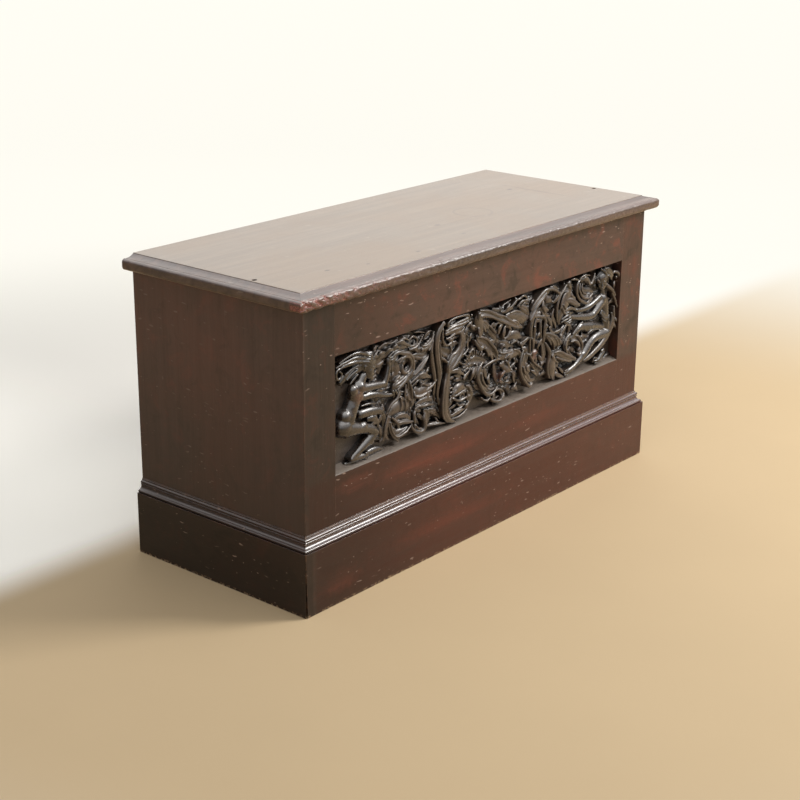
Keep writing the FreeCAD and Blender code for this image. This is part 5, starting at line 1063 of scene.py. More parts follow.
# The seated figure at the right end
RIGHT_BALLS = (
    (386.6, 65.6, 10.2, 5.8, 5.6, 5.5), (369.6, 52.6, 10.2, 4.2, 3.8, 4.6), (391, 60, 9.7, 5, 6, 4),
    (362.4, 42.6, 9.7, 6.4, 5.6, 5), (367.4, 42.2, 9.8, 4.6, 4.4, 4), (351, 45.6, 9.3, 4.2, 4.2, 4.4),
    (364.6, 22.6, 10.3, 4.4, 4.8, 5), (395.4, 29.6, 10, 6.2, 5.6, 5.5), (331, 59.6, 9.8, 3.4, 3, 3),
    (355.6, 16, 9.9, 4.6, 4.2, 3.6), (383.6, 5, 9.4, 3.2, 2.8, 3), (388.6, 9.6, 9.2, 2.6, 3, 2.6),
)
RIGHT_FIGURE = (
    ("limb", ((387, 66, 9.2, 6.6), (389.6, 59.6, 9.6, 6.8), (390.6, 52.6, 9.4, 6.6), (392.6, 45, 9, 6),
        (395, 37.6, 9.2, 6))),
    ("smooth", ((384, 52.6, 8.8, 2.6), (389.6, 48, 9.2, 4), (395, 44, 9.2, 3.4), (398, 39, 8.6, 1.6))),
    ("rib", ((383.6, 51.4, 9, 0.8), (386.4, 48, 9.8, 1), (391, 45, 9.9, 1), (396, 44.6, 9.4, 0.8))),
    ("rib", ((386, 45.6, 8.8, 0.7), (389.6, 42.6, 9.4, 0.9), (394, 40.6, 9.4, 0.8))),
    ("rib", ((397.4, 46.6, 9.4, 0.9), (397, 42.6, 9.9, 1.2), (395.6, 38, 9.2, 0.8))),
    ("limb", ((393.6, 48.4, 9.4, 1.4),)),
    ("limb", ((387.6, 64.6, 10, 5.2), (381.6, 60, 10.2, 4.8), (376, 56, 10.2, 4.4),
        (370.4, 52.8, 10.1, 3.9))),
    ("limb", ((370, 52.6, 10.1, 3.8), (361.6, 52.8, 10.2, 3.8), (351, 54.6, 10.3, 3.4),
        (341, 56.6, 10.2, 2.9), (334, 58.6, 9.9, 2.5))),
    ("rib", ((332, 62.8, 9.9, 1), (327.7, 64.2, 10.3, 1.1), (323.6, 63.6, 9.6, 0.9))),
    ("rib", ((331, 60.8, 10.1, 1), (327, 61.4, 10.4, 1.1), (321.6, 60.6, 10, 1),
        (317.6, 59.6, 9.2, 0.8))),
    ("rib", ((331.6, 58.4, 10, 1), (326, 58, 10.2, 1), (321, 57.6, 9.8, 1), (317.4, 56.8, 9, 0.8))),
    ("rib", ((332.6, 56.2, 9.7, 1), (327, 55.2, 9.9, 0.9), (323.4, 56, 9.4, 0.8))),
    ("rib", ((332.6, 54.4, 9.2, 0.9), (329, 53.4, 9.2, 0.8))),
    ("limb", ((380.6, 68, 9, 3.2), (372.6, 65, 8.8, 3), (362, 62.4, 8.6, 2.9), (350, 62.2, 8.4, 2.7),
        (341, 63.8, 8.2, 2.2))),
    ("limb", ((386, 69.6, 8.6, 3), (384.6, 75.6, 8, 2.8))),
    # Near thigh, shin and foot
    ("limb", ((396, 29, 9.9, 5.8), (389.6, 29.2, 10.1, 5.4), (381, 29.4, 10.2, 5), (373, 28, 10.3, 4.8),
        (366.6, 24, 10.3, 4.6))),
    ("limb", ((365, 22.4, 10.2, 4.6), (359.6, 17.8, 10, 4.5), (353, 14, 9.8, 4), (347, 10.6, 9.7, 3.2),
        (342.6, 8.8, 9.7, 2.7))),
    ("limb", ((343, 8.6, 9.8, 2.8), (338, 7.2, 10, 3), (332.8, 5.8, 10, 3.1), (329, 4.6, 9.4, 2.3))),
    ("rib", ((330.6, 7.6, 9.6, 1), (326.4, 7.2, 8.8, 0.9))),
    ("rib", ((329.6, 5.6, 9.5, 1), (325.4, 5.2, 8.6, 0.9))),
    ("rib", ((329.8, 3.6, 9.2, 0.9), (326, 3.2, 8.4, 0.8))),
    ("rib", ((331, 2.2, 8.8, 0.8), (327.6, 1.6, 8, 0.7))),
    # Far thigh, knee and shin
    ("limb", ((387, 37.6, 8.2, 2.8), (379, 40, 8.8, 3.8), (370, 42, 9.4, 4.8), (361, 43.6, 9.5, 5.2),
        (352, 45.4, 9.3, 4.6))),
    ("limb", ((350.6, 46, 9.3, 4), (344.6, 43.6, 9.3, 3.6), (338.6, 40.6, 9, 3), (333.6, 38, 8.6, 2.2))),
    ("rib", ((352, 49.6, 9.9, 0.8), (346.6, 47.6, 10.2, 0.9), (341.4, 43.9, 10.4, 1.3),
        (337, 40.9, 10.1, 1))),
    ("rib", ((362.4, 36, 8.6, 0.9), (368, 37.6, 9.2, 1), (376, 37.4, 9.2, 0.9), (384, 36, 8.4, 0.6))),
    # Far foot on the sill
    ("limb", ((391.6, 10.6, 9.4, 1.9), (388, 8.8, 9.4, 2.4), (385.4, 6, 9.6, 2.7), (382, 4.4, 9.4, 2.4))),
    ("limb", ((391.6, 13.6, 8.8, 1.3), (387.6, 12.6, 8.8, 1.3))),
    ("rib", ((381, 3, 8.8, 1), (377.6, 2.6, 8.2, 0.8))),
    ("rib", ((380.6, 5, 9, 1.1), (376.4, 5.2, 8.2, 0.8))),
    ("rib", ((380.6, 7, 8.8, 1), (375.6, 8.4, 8, 0.9), (373.6, 5, 7.6, 0.8))),
    # Cap of hair, band and ribbon
    ("smooth", ((386.6, 95, 9, 1.2), (390.6, 92.4, 9.9, 2.6), (395, 89.6, 10, 3.8), (398, 86, 9.6, 3.2),
        (399.4, 82.6, 8.6, 1.4))),
    ("rib", ((380.6, 95.4, 8.8, 0.8), (385.6, 92.6, 9.9, 1.1), (389.6, 88.6, 10, 1.1),
        (392, 84, 9.4, 0.9), (392.6, 80.6, 8.6, 0.6))),
    ("rib", ((387.6, 95, 9.4, 0.8), (393.6, 93.4, 10.2, 1.1), (398.6, 89.4, 10.1, 1.1),
        (401, 85, 9.2, 0.7))),
    ("rib", ((391.6, 87, 9.8, 0.7), (395.6, 85.6, 10.2, 0.9), (398.6, 82, 9.2, 0.6))),
)


def add_teeth(pile):
    """Bead-like teeth round the edge of the toothed leaf."""
    for along, up in TEETH:
        out = Vector((along - TOOTH_CENTRE[0], up - TOOTH_CENTRE[1])).normalized()
        inner = (along - out.x * 1.6, up - out.y * 1.6, 8.6, 0.95)
        outer = (along + out.x * 1.2, up + out.y * 1.2, 8.9, 0.8)
        pile.add(run_shape((inner, outer), "rib"))


# Low leaves that fill the ground: from, to along; from, to up; how many;
# and the places that stay clear, as along, up and reach
FILLINGS = {
    "carving_left_foliage": (47, 128, 11, 90, 95,
        ((94, 69, 6), (111, 15.6, 6.5), (108, 40, 6), (62, 68, 7))),
    "carving_loops": (140, 188, 12, 90, 58,
        ((155, 92.6, 5), (159.4, 17.3, 4.5), (148, 70, 5), (190, 12, 12))),
    "carving_middle_scroll": (194, 252, 12, 91, 62,
        ((214, 33, 7), (222, 10, 5.5), (224.6, 88, 4), (244, 86, 4), (246, 20, 6))),
    "carving_upright_leaves": (258, 318, 12, 90, 66,
        ((304.6, 84.8, 5), (258, 58, 9), (276, 8, 10), (296, 8, 6))),
    "carving_right_scrolls": (316, 402, 16, 90, 42,
        ((356, 81, 6), (341, 25, 7), (372, 74, 8), (392, 12, 12), (384, 48, 10))),
}
FILL_LENGTH = (6.0, 13.0)
FILL_WIDTH = (1.0, 2.4)
FILL_CREST = (5.6, 7.9)


def fill_ground(pile, limits, seed):
    """Short bent leaves that follow one another in swirls, low between the main forms."""
    left, right, low, high, count, clear = limits
    draw = np.random.default_rng(seed)
    for _ in range(count):
        along, up = draw.uniform(left, right), draw.uniform(low, high)
        length, half = draw.uniform(*FILL_LENGTH), draw.uniform(*FILL_WIDTH)
        crest, bend = draw.uniform(*FILL_CREST), draw.uniform(-0.5, 0.5)
        cut = ("leaf", "dished", "rib", "lobed")[draw.integers(4)]
        if any(math.hypot(along - x, up - y) < reach for x, y, reach in clear):
            continue
        turn = 3.2 * noise.noise(Vector((along / 26, up / 26, seed)))
        ways = [turn - bend, turn, turn + bend]
        points = [(along, up, crest - 0.8, half * 0.5)]
        for way, width, drop in zip(ways, (1.0, 0.9, 0.2), (0.0, 0.1, 1.2)):
            x, y = points[-1][:2]
            points.append(
                (x + math.cos(way) * length / 3, y + math.sin(way) * length / 3, crest - drop, half * width),
            )
        pile.add_runs(((cut, points),))


# Low veined foliage under everything. Dark hollows in it: along, up, half length, half height.
BED_HOLLOWS = (
    (94, 69, 4.6, 4.8), (111, 15.6, 5.0, 7.0), (114, 46.5, 5, 2.4), (62, 70, 4, 6), (99, 48, 2.4, 6),
    (80, 17, 2.5, 3.5), (139.7, 73.1, 2.4, 2.6), (155, 92.6, 5, 2.0), (159.4, 17.3, 3.4, 3.0),
    (153, 32.3, 2.0, 2.0), (129, 12, 4, 2.2), (148.6, 69, 2.4, 3), (205.7, 57.9, 2.2, 2.6),
    (211.4, 52.7, 4, 3.2), (224.6, 88, 4.2, 4.2), (244.3, 86, 2.2, 2.2), (240, 95, 2.4, 1.8),
    (230.9, 65.1, 2.6, 2.2), (218, 73.9, 3, 2.4), (214.5, 32, 5.4, 8.5), (222, 10.6, 5.4, 3.2),
    (232.8, 36.6, 1.8, 1.8), (237.7, 33.6, 1.8, 1.6), (228.4, 33.9, 1.8, 1.6), (266.4, 19.5, 2.0, 3.4),
    (258, 60, 7.4, 5.4), (246, 49.6, 6, 2.4), (279.6, 58, 2.6, 8), (287, 57, 1.8, 7),
    (304.6, 84.8, 4.6, 3.2), (286, 78, 2, 3), (302, 29, 2.6, 8), (323, 12.6, 9, 3.4),
    (356, 81.4, 5.4, 4.0), (341, 25, 6.6, 4.6), (355, 39, 2.4, 3.0), (372, 75, 7, 7), (298, 71, 3, 5),
    (344, 57.6, 6, 1.2), (352, 67, 4, 2), (130, 62, 1.4, 14), (381, 22, 9, 3.4), (392, 12, 6, 4),
    (182, 66, 4, 4),
)
BED_PARTS = {"carving_bed_left": (45, 224), "carving_bed_right": (223, 403)}
BED_STEP = 0.5


def bed_rise(along, up):
    """Height of the low foliage: overlapping leaves, each with its own level and veins."""
    swirl = 1.9 * noise.noise(Vector((along / 34, up / 34, 2.0)))
    bent = Vector((along, up, 0)) + 3.4 * noise.noise_vector(Vector((along / 10, up / 10, 5.0)))
    across = bent.x * math.sin(swirl) + bent.y * math.cos(swirl)
    along_leaf = bent.x * math.cos(swirl) - bent.y * math.sin(swirl)
    spot = Vector((along_leaf / 15, across / 6.4, 0.3))
    distances, points = noise.voronoi(spot)
    edge = min(1.0, 2.6 * (distances[1] - distances[0])) ** 0.6
    level = 2.4 * noise.noise(points[0] * 7.1)
    vein = 0.34 * math.cos(2 * math.pi * 2.6 * (spot.y - points[0].y) + 3 * (spot.x - points[0].x))
    rise = 3.1 + edge * (2.1 + level + vein)
    for x, y, half_along, half_up in BED_HOLLOWS:
        share = ((along - x) / half_along) ** 2 + ((up - y) / half_up) ** 2
        if share < 4:
            rise -= 6.0 * math.exp(-share)
    return max(0.25, rise)


def bed_edge(along, up):
    """How much of the low foliage is left towards the edges of the panel, which stay plain."""
    ragged = 3.0 * noise.noise(Vector((along / 7, up / 7, 9.0)))
    foot = 9.5 + ragged + 6.0 * math.exp(-(((along - 192) / 16) ** 2)) + 5.0 * math.exp(
        -(((along - 246) / 10) ** 2),
    )
    reach = min(up - foot, 92.5 + 0.5 * ragged - up, along - 47 - ragged, 398 + ragged - along)
    return min(1.0, max(0.0, reach / 3.0))


def make_bed(name):
    """A sheet of low foliage on the ground, closed behind."""
    first, last = BED_PARTS[name]
    columns = int((last - first) / BED_STEP) + 1
    rows = int(86 / BED_STEP) + 1
    points = []
    for row in range(rows):
        for column in range(columns):
            along, up = first + column * BED_STEP, 8 + row * BED_STEP
            border = row in (0, rows - 1) or column in (0, columns - 1)
            rise = -0.4 if border else bed_rise(along, up) * bed_edge(along, up) - 0.2
            points.append((RECESS_LEFT + along * STEP, GROUND_Y - rise * STEP, RECESS_FOOT + up * STEP))
    faces = []
    for start in range(0, (rows - 1) * columns, columns):
        for place in range(start, start + columns - 1):
            faces.append((place, place + 1, place + columns + 1, place + columns))
    edge = list(range(columns)) + list(range(2 * columns - 1, rows * columns, columns))
    edge += list(range(rows * columns - 2, (rows - 1) * columns - 1, -1))
    edge += list(range((rows - 2) * columns, 0, -columns))
    faces.append(tuple(reversed(edge)))
    piece = piece_from(name, points, faces)
    bpy.ops.object.shade_smooth()
    put_on_body(piece, "case", "carved_wood", "carved_panel")


def carve(name, pile, settings, smoothing=2, fineness=1.0):
    """Merges a pile of forms into one surface, rounds it slightly and thins it out where it is flat."""
    piece = piece_from(name, pile.places().tolist(), pile.faces)
    piece.data.remesh_voxel_size = settings.grain_size * fineness
    piece.data.remesh_voxel_adaptivity = 0.0
    bpy.ops.object.voxel_remesh()
    apply_modifier(piece, "SMOOTH", factor=0.5, iterations=smoothing)
    corners = sum(len(face.vertices) - 2 for face in piece.data.polygons)
    if corners > settings.most_faces:
        apply_modifier(piece, "DECIMATE", ratio=settings.most_faces / corners)
    only_select(piece)
    bpy.ops.object.shade_smooth()
    put_on_body(piece, "case", "carved_wood", "carved_panel")
    return piece


# Heads: side, place on the grid, height, turn, tilt; and of the hair: locks, curl, thickness
HEADS = (
    ("left", (43.6, 80.6, 5.4), 22.5, 48.0, -10.0, (13, 0.8, 0.052)),
    ("right", (383.4, 84.4, 5.2), 20.0, -38.0, 6.0, (15, 1.0, 0.048)),
)


class CHEST_OT_carving(bpy.types.Operator):
    """Carves the two figures and the foliage between them"""

    bl_idname = "chest.carving"
    bl_label = "Carve figures and foliage"

    def execute(self, context):
        settings = context.scene.chest_carving
        foliage = {
            "carving_left_foliage": LEFT_FOLIAGE,
            "carving_loops": MIDDLE_LEFT,
            "carving_middle_scroll": MIDDLE,
            "carving_upright_leaves": MIDDLE_RIGHT,
            "carving_right_scrolls": RIGHT_FOLIAGE,
        }
        for name, rows in foliage.items():
            pile = FormPile()
            pile.add_runs(rows)
            if name == "carving_loops":
                add_teeth(pile)
            fill_ground(pile, FILLINGS[name], len(pile.points))
            carve(name, pile, settings)
        for name in BED_PARTS:
            make_bed(name)
        for side, rows, balls in (("left", LEFT_FIGURE, LEFT_BALLS), ("right", RIGHT_FIGURE, RIGHT_BALLS)):
            body, details = FormPile(), FormPile()
            body.add_runs([row for row in rows if row[0] == "limb"])
            body.add_balls(balls)
            carve("carving_" + side + "_figure", body, settings, 22)
            details.add_runs([row for row in rows if row[0] != "limb"])
            carve("carving_" + side + "_hands_and_hair", details, settings, 3, 0.8)
        for side, place, height, turn, tilt, hair in HEADS:
            head = FormPile()
            add_head(head, place, height, turn, tilt, swept_hair(*hair))
            carve("carving_" + side + "_head", head, settings, 4, 0.5)
        return {"FINISHED"}


# Ground board behind the carving
def box_piece(name, low, high):
    bpy.ops.object.select_all(action="DESELECT")
    bpy.ops.mesh.primitive_cube_add(size=1, location=(low + high) / 2)
    piece = bpy.context.active_object
    piece.name = name
    piece.data.name = name
    piece.scale = high - low
    bpy.ops.object.transform_apply(location=True, rotation=True, scale=True)
    return piece


def select_faces(piece, wanted):
    bpy.ops.object.mode_set(mode="EDIT")
    bpy.ops.mesh.select_mode(type="FACE")
    bpy.ops.mesh.select_all(action="DESELECT")
    edited = bmesh.from_edit_mesh(piece.data)
    for face in edited.faces:
        face.select = wanted(face)
    edited.select_flush(True)
    bmesh.update_edit_mesh(piece.data)


class CHEST_OT_ground(bpy.types.Operator):
    """Makes the board that the carving stands on, with its sloping sill and its gouge marks"""

    bl_idname = "chest.ground"
    bl_label = "Make carving ground"

    def execute(self, context):
        settings = context.scene.chest_carving
        board_low = Vector((PANEL_LOW.x, GROUND_Y, PANEL_LOW.z))
        board = box_piece("carving_ground", board_low, PANEL_HIGH)
        recess_places = ((RECESS_LEFT, "X"), (RECESS_RIGHT, "X"), (RECESS_FOOT, "Z"), (RECESS_HEAD, "Z"))
        bpy.ops.object.mode_set(mode="EDIT")
        for place, axis in recess_places:
            bpy.ops.mesh.select_all(action="SELECT")
            way = Vector((1, 0, 0)) if axis == "X" else Vector((0, 0, 1))
            bpy.ops.mesh.bisect(plane_co=way * place, plane_no=way)
        bpy.ops.object.mode_set(mode="OBJECT")

        def in_recess(face):
            middle = face.calc_center_median()
            level = abs(middle.y - GROUND_Y) < 1e-5
            along = RECESS_LEFT < middle.x < RECESS_RIGHT
            return level and along and RECESS_FOOT < middle.z < RECESS_HEAD

        select_faces(board, in_recess)
        bpy.ops.mesh.subdivide(number_cuts=10)
        bpy.ops.mesh.subdivide(number_cuts=9)
        bpy.ops.object.mode_set(mode="OBJECT")
        for vertex in board.data.vertices:
            spot = vertex.co
            along = RECESS_LEFT + STEP < spot.x < RECESS_RIGHT - STEP
            upright = RECESS_FOOT < spot.z < RECESS_HEAD - STEP
            if abs(spot.y - GROUND_Y) < 1e-5 and along and upright:
                dip = noise.noise(Vector((spot.x * 55, 0.0, spot.z * 140)))
                spot.y += settings.ground_wave * (0.5 + dip)
        board.data.update()
        smooth_by_angle(board, 30)
        put_on_body(board, "case", "carved_wood", "carved_panel")
        self.make_sill()
        return {"FINISHED"}

    def make_sill(self):
        """The wedge along the foot of the recess, its long edge a little uneven."""
        rise = 0.010
        steps = 240
        rows = []
        for number in range(steps + 1):
            along = RECESS_LEFT + (RECESS_RIGHT - RECESS_LEFT) * number / steps
            inner = 0 < number < steps
            worn = 0.0005 * (1 + noise.noise(Vector((along * 40, 1.5, 0)))) if inner else 0.0
            back_lift = 0.0008 * noise.noise(Vector((along * 18, 4.5, 0)))
            rows.append((
                (along, GROUND_Y + 0.001, RECESS_FOOT + 0.0001),
                (along, FRONT_Y + 0.0002 + worn, RECESS_FOOT + 0.0001),
                (along, FRONT_Y + 0.0008 + worn, RECESS_FOOT + 0.0007),
                (along, (FRONT_Y + GROUND_Y) / 2, RECESS_FOOT + rise / 2 + back_lift),
                (along, GROUND_Y + 0.001, RECESS_FOOT + rise + back_lift),
            ))
        points = [point for row in rows for point in row]
        faces = ring_faces(len(rows), len(rows[0]), 0)
        sill = piece_from("carving_sill", points, faces)
        self.face_outwards(sill)
        smooth_by_angle(sill, 30)
        put_on_body(sill, "case", "carved_wood", "carved_panel")

    @staticmethod
    def face_outwards(piece):
        only_select(piece)
        bpy.ops.object.mode_set(mode="EDIT")
        bpy.ops.mesh.select_all(action="SELECT")
        bpy.ops.mesh.normals_make_consistent(inside=False)
        bpy.ops.object.mode_set(mode="OBJECT")


# The lid's front board with its moulded, chewed edge.
# Points of the edge: share of the inset, share of the thickness down.
EDGE_INSET = 0.031
EDGE_POINTS = (
    (1.00, 0.00), (0.995, 0.03), (0.98, 0.048), (0.95, 0.062), (0.90, 0.085), (0.82, 0.125),
    (0.74, 0.168), (0.66, 0.205), (0.58, 0.228), (0.50, 0.241), (0.42, 0.248), (0.36, 0.250),
    (0.345, 0.262), (0.33, 0.285), (0.32, 0.300), (0.30, 0.280), (0.285, 0.250), (0.26, 0.238),
    (0.22, 0.241), (0.17, 0.250), (0.12, 0.270), (0.08, 0.300), (0.045, 0.335), (0.02, 0.375),
    (0.005, 0.410), (0.00, 0.450), (0.00, 0.500), (0.00, 0.550), (0.00, 0.600), (0.00, 0.650),
    (0.00, 0.700), (0.005, 0.750), (0.015, 0.800), (0.035, 0.850), (0.06, 0.900), (0.10, 0.945),
    (0.15, 0.975), (0.20, 0.992), (0.25, 1.000),
)
CHEWED_FROM = 21


def edge_path(step, back_y):
    """Corners and steps round the two ends and the front, each with the way the edge faces there."""
    left, right, front = LID_LOW.x, LID_HIGH.x, LID_LOW.y
    side_steps = int((back_y - front) / (2 * step))
    front_steps = int((right - left) / step)
    path = []
    for number in range(side_steps):
        path.append((left, back_y + (front - back_y) * number / side_steps, 1.0, 0.0))
    path.append((left, front, 1.0, 1.0))
    for number in range(1, front_steps):
        path.append((left + (right - left) * number / front_steps, front, 0.0, 1.0))
    path.append((right, front, -1.0, 1.0))
    for number in range(1, side_steps + 1):
        path.append((right, front + (back_y - front) * number / side_steps, -1.0, 0.0))
    return path


def edge_rows(path, back_y):
    thickness = LID_HIGH.z - LID_LOW.z
    rows = []
    for along, across, inward_x, inward_y in path:
        row = []
        for inset, drop in EDGE_POINTS:
            x = along + inward_x * inset * EDGE_INSET
            y = across + inward_y * inset * EDGE_INSET
            if inward_y == 0:
                near_corner = LID_LOW.y + inset * EDGE_INSET
                y = back_y - (back_y - across) * (back_y - near_corner) / (back_y - LID_LOW.y)
            if inward_x == 0:
                shrink = 1 - inset * EDGE_INSET / LID_HIGH.x
                x = along * shrink
            row.append(Vector((x, y, LID_HIGH.z - drop * thickness)))
        rows.append(row)
    return rows


def chewed(spot, drop_index, bite):
    """How far a point of the lid's edge is worn back, and whether bare wood shows there."""
    if drop_index < CHEWED_FROM - 9 or spot.y > LID_LOW.y + 0.03:
        return 0.0, 0.0
    reach = (spot.x - LID_LOW.x) / (LID_HIGH.x - LID_LOW.x)
    strength = 0.30 + 0.45 * math.exp(-reach / 0.20) + 0.8 * math.exp(-((reach / 0.06) ** 2))
    upper = 0.35 if drop_index < CHEWED_FROM else 1.0
    coarse = noise.fractal(Vector((spot.x * 70, spot.z * 120, 3.1)), 1.0, 2.0, 3)
    fine = noise.fractal(Vector((spot.x * 260, spot.z * 300, 7.7)), 0.8, 2.0, 3)
    ragged = max(0.0, 0.30 + coarse + 0.45 * fine)
    worn = strength * upper * ragged
    return bite * min(1.0, worn * 0.62), min(1.0, worn * 1.5)


class CHEST_OT_lid_edge(bpy.types.Operator):
    """Makes the lid's front board with its moulded edge, bitten and worn along the front"""

    bl_idname = "chest.lid_edge"
    bl_label = "Make worn front board"

    def execute(self, context):
        settings = context.scene.chest_lid
        back_y = LID_HIGH.y
        path = edge_path(settings.edge_step, back_y)
        rows = edge_rows(path, back_y)
        points, bare = [], []
        for row in rows:
            for index, spot in enumerate(row):
                worn, shown = chewed(spot, index, settings.bite)
                lift = 0.5 * worn * (1 if index > 33 else -0.4)
                points.append((spot.x, spot.y + worn, spot.z + lift))
                bare.append(shown)
        per_row = len(EDGE_POINTS)
        faces = []
        for start in range(0, (len(rows) - 1) * per_row, per_row):
            for index in range(per_row - 1):
                faces.append(
                    (start + index, start + index + 1, start + per_row + index + 1, start + per_row + index),
                )
        last = (len(rows) - 1) * per_row
        faces.append(tuple(range(0, len(points), per_row)))
        faces.append(tuple(range(last + per_row - 1, 0, -per_row)))
        faces.append(tuple(range(per_row - 1, -1, -1)) + tuple(range(last, last + per_row)))
        board = piece_from("lid_front_board", points, faces)
        worn_places = board.data.attributes.new("bare_wood", "FLOAT", "POINT")
        worn_places.data.foreach_set("value", bare)
        CHEST_OT_ground.face_outwards(board)
        self.drill(board)
        smooth_by_angle(board, 32)
        put_on_body(board, "lid", "lid_wood", "lid_board_front")
        return {"FINISHED"}

    @staticmethod
    def drill(board):
        """Two old holes, one near each end."""
        hole_x = 0.5935
        hole_y = LID_LOW.y + 0.164
        depth = 0.018
        for side in (-1, 1):
            bpy.ops.object.select_all(action="DESELECT")
            middle = (side * hole_x, hole_y, LID_HIGH.z - depth / 2 + 0.001)
            bpy.ops.mesh.primitive_cylinder_add(
                vertices=40, radius=0.0055, depth=depth + 0.002, location=middle,
            )
            drill_bit = bpy.context.active_object
            apply_modifier(board, "BOOLEAN", operation="DIFFERENCE", solver="EXACT", object=drill_bit)
            bpy.data.objects.remove(drill_bit)


# Shared effects, as node groups
def new_group(name, inputs, outputs):
    group = bpy.data.node_groups.new(name, "ShaderNodeTree")
    for socket, kind, value in inputs:
        made = group.interface.new_socket(name=socket, in_out="INPUT", socket_type=kind)
        if value is not None:
            made.default_value = value
    for socket, kind in outputs:
        group.interface.new_socket(name=socket, in_out="OUTPUT", socket_type=kind)
    return group, group.nodes.new("NodeGroupInput"), group.nodes.new("NodeGroupOutput")


def put(tree, kind, settings=None, **values):
    """Adds a node. settings are its options, values fill or link its inputs by number or name."""
    node = tree.nodes.new("ShaderNode" + kind)
    for option, value in (settings or {}).items():
        setattr(node, option, value)
    for key, value in values.items():
        socket = node.inputs[int(key[1:])] if key[0] == "i" and key[1:].isdigit() else node.inputs[key]
        if isinstance(value, bpy.types.NodeSocket):
            tree.links.new(value, socket)
        else:
            socket.default_value = value
    return node


def maths(tree, operation, first, second=0.0, third=0.0, clamp=False):
    node = put(tree, "Math", {"operation": operation, "use_clamp": clamp}, i0=first, i1=second, i2=third)
    return node.outputs[0]


def spread(tree, value, low, high, new_low=0.0, new_high=1.0):
    """Maps a range of values to another, smoothly and without passing its ends."""
    node = put(tree, "MapRange", {"interpolation_type": "SMOOTHSTEP"}, Value=value)
    for socket, number in zip(("From Min", "From Max", "To Min", "To Max"), (low, high, new_low, new_high)):
        node.inputs[socket].default_value = number
    return node.outputs[0]


def mixed(tree, share, first, second, blend="MIX"):
    node = tree.nodes.new("ShaderNodeMix")
    node.data_type = "RGBA"
    node.blend_type = blend
    for socket, value in ((node.inputs[0], share), (node.inputs[6], first), (node.inputs[7], second)):
        if isinstance(value, bpy.types.NodeSocket):
            tree.links.new(value, socket)
        elif isinstance(value, (int, float)):
            socket.default_value = value
        else:
            socket.default_value = (*value, 1.0)[:4]
    return node.outputs[2]


def grain_group():
    group, given, result = new_group(
        "Wood grain",
        (("Point", "NodeSocketVector", None), ("Fineness", "NodeSocketFloat", 1.0)),
        (("Streaks", "NodeSocketFloat"), ("Pores", "NodeSocketFloat"), ("Clouds", "NodeSocketFloat")),
    )
    scaled = put(group, "VectorMath", {"operation": "SCALE"}, i0=given.outputs["Point"])
    group.links.new(given.outputs["Fineness"], scaled.inputs[3])
    long_way = put(group, "Mapping", i0=scaled.outputs[0])
    long_way.inputs["Scale"].default_value = (0.055, 1.0, 1.0)
    streaks = put(
        group, "TexNoise", i0=long_way.outputs[0], Scale=48.0, Detail=6.0, Roughness=0.62,
        Distortion=0.5,
    )
    pore_way = put(group, "Mapping", i0=scaled.outputs[0])
    pore_way.inputs["Scale"].default_value = (0.07, 1.0, 1.0)
    pores = put(group, "TexNoise", i0=pore_way.outputs[0], Scale=620.0, Detail=2.0, Roughness=0.5)
    clouds = put(
        group, "TexNoise", i0=scaled.outputs[0], Scale=4.2, Detail=4.0, Roughness=0.55, Distortion=0.3,
    )
    group.links.new(spread(group, streaks.outputs[0], 0.30, 0.72), result.inputs[0])
    group.links.new(spread(group, pores.outputs[0], 0.60, 0.72), result.inputs[1])
    group.links.new(spread(group, clouds.outputs[0], 0.32, 0.70), result.inputs[2])
    return group


def wear_group():
    group, given, result = new_group(
        "Worn edges",
        (("Point", "NodeSocketVector", None), ("Width", "NodeSocketFloat", 0.002)),
        (("Wear", "NodeSocketFloat"), ("Normal", "NodeSocketVector")),
    )
    broad = put(group, "Bevel", {"samples": 6}, Radius=given.outputs["Width"])
    soft = put(group, "Bevel", {"samples": 4}, Radius=0.0009)
    facing = group.nodes.new("ShaderNodeNewGeometry")
    agree = put(
        group, "VectorMath", {"operation": "DOT_PRODUCT"}, i0=broad.outputs[0],
        i1=facing.outputs["Normal"],
    )
    edge = maths(group, "SUBTRACT", 1.0, agree.outputs["Value"], clamp=True)
    patchy = put(group, "TexNoise", i0=given.outputs["Point"], Scale=70.0, Detail=5.0, Roughness=0.65)
    broken = spread(group, patchy.outputs[0], 0.42, 0.66)
    worn = maths(group, "MULTIPLY", spread(group, edge, 0.02, 0.16), broken, clamp=True)
    group.links.new(worn, result.inputs[0])
    group.links.new(soft.outputs[0], result.inputs[1])
    return group


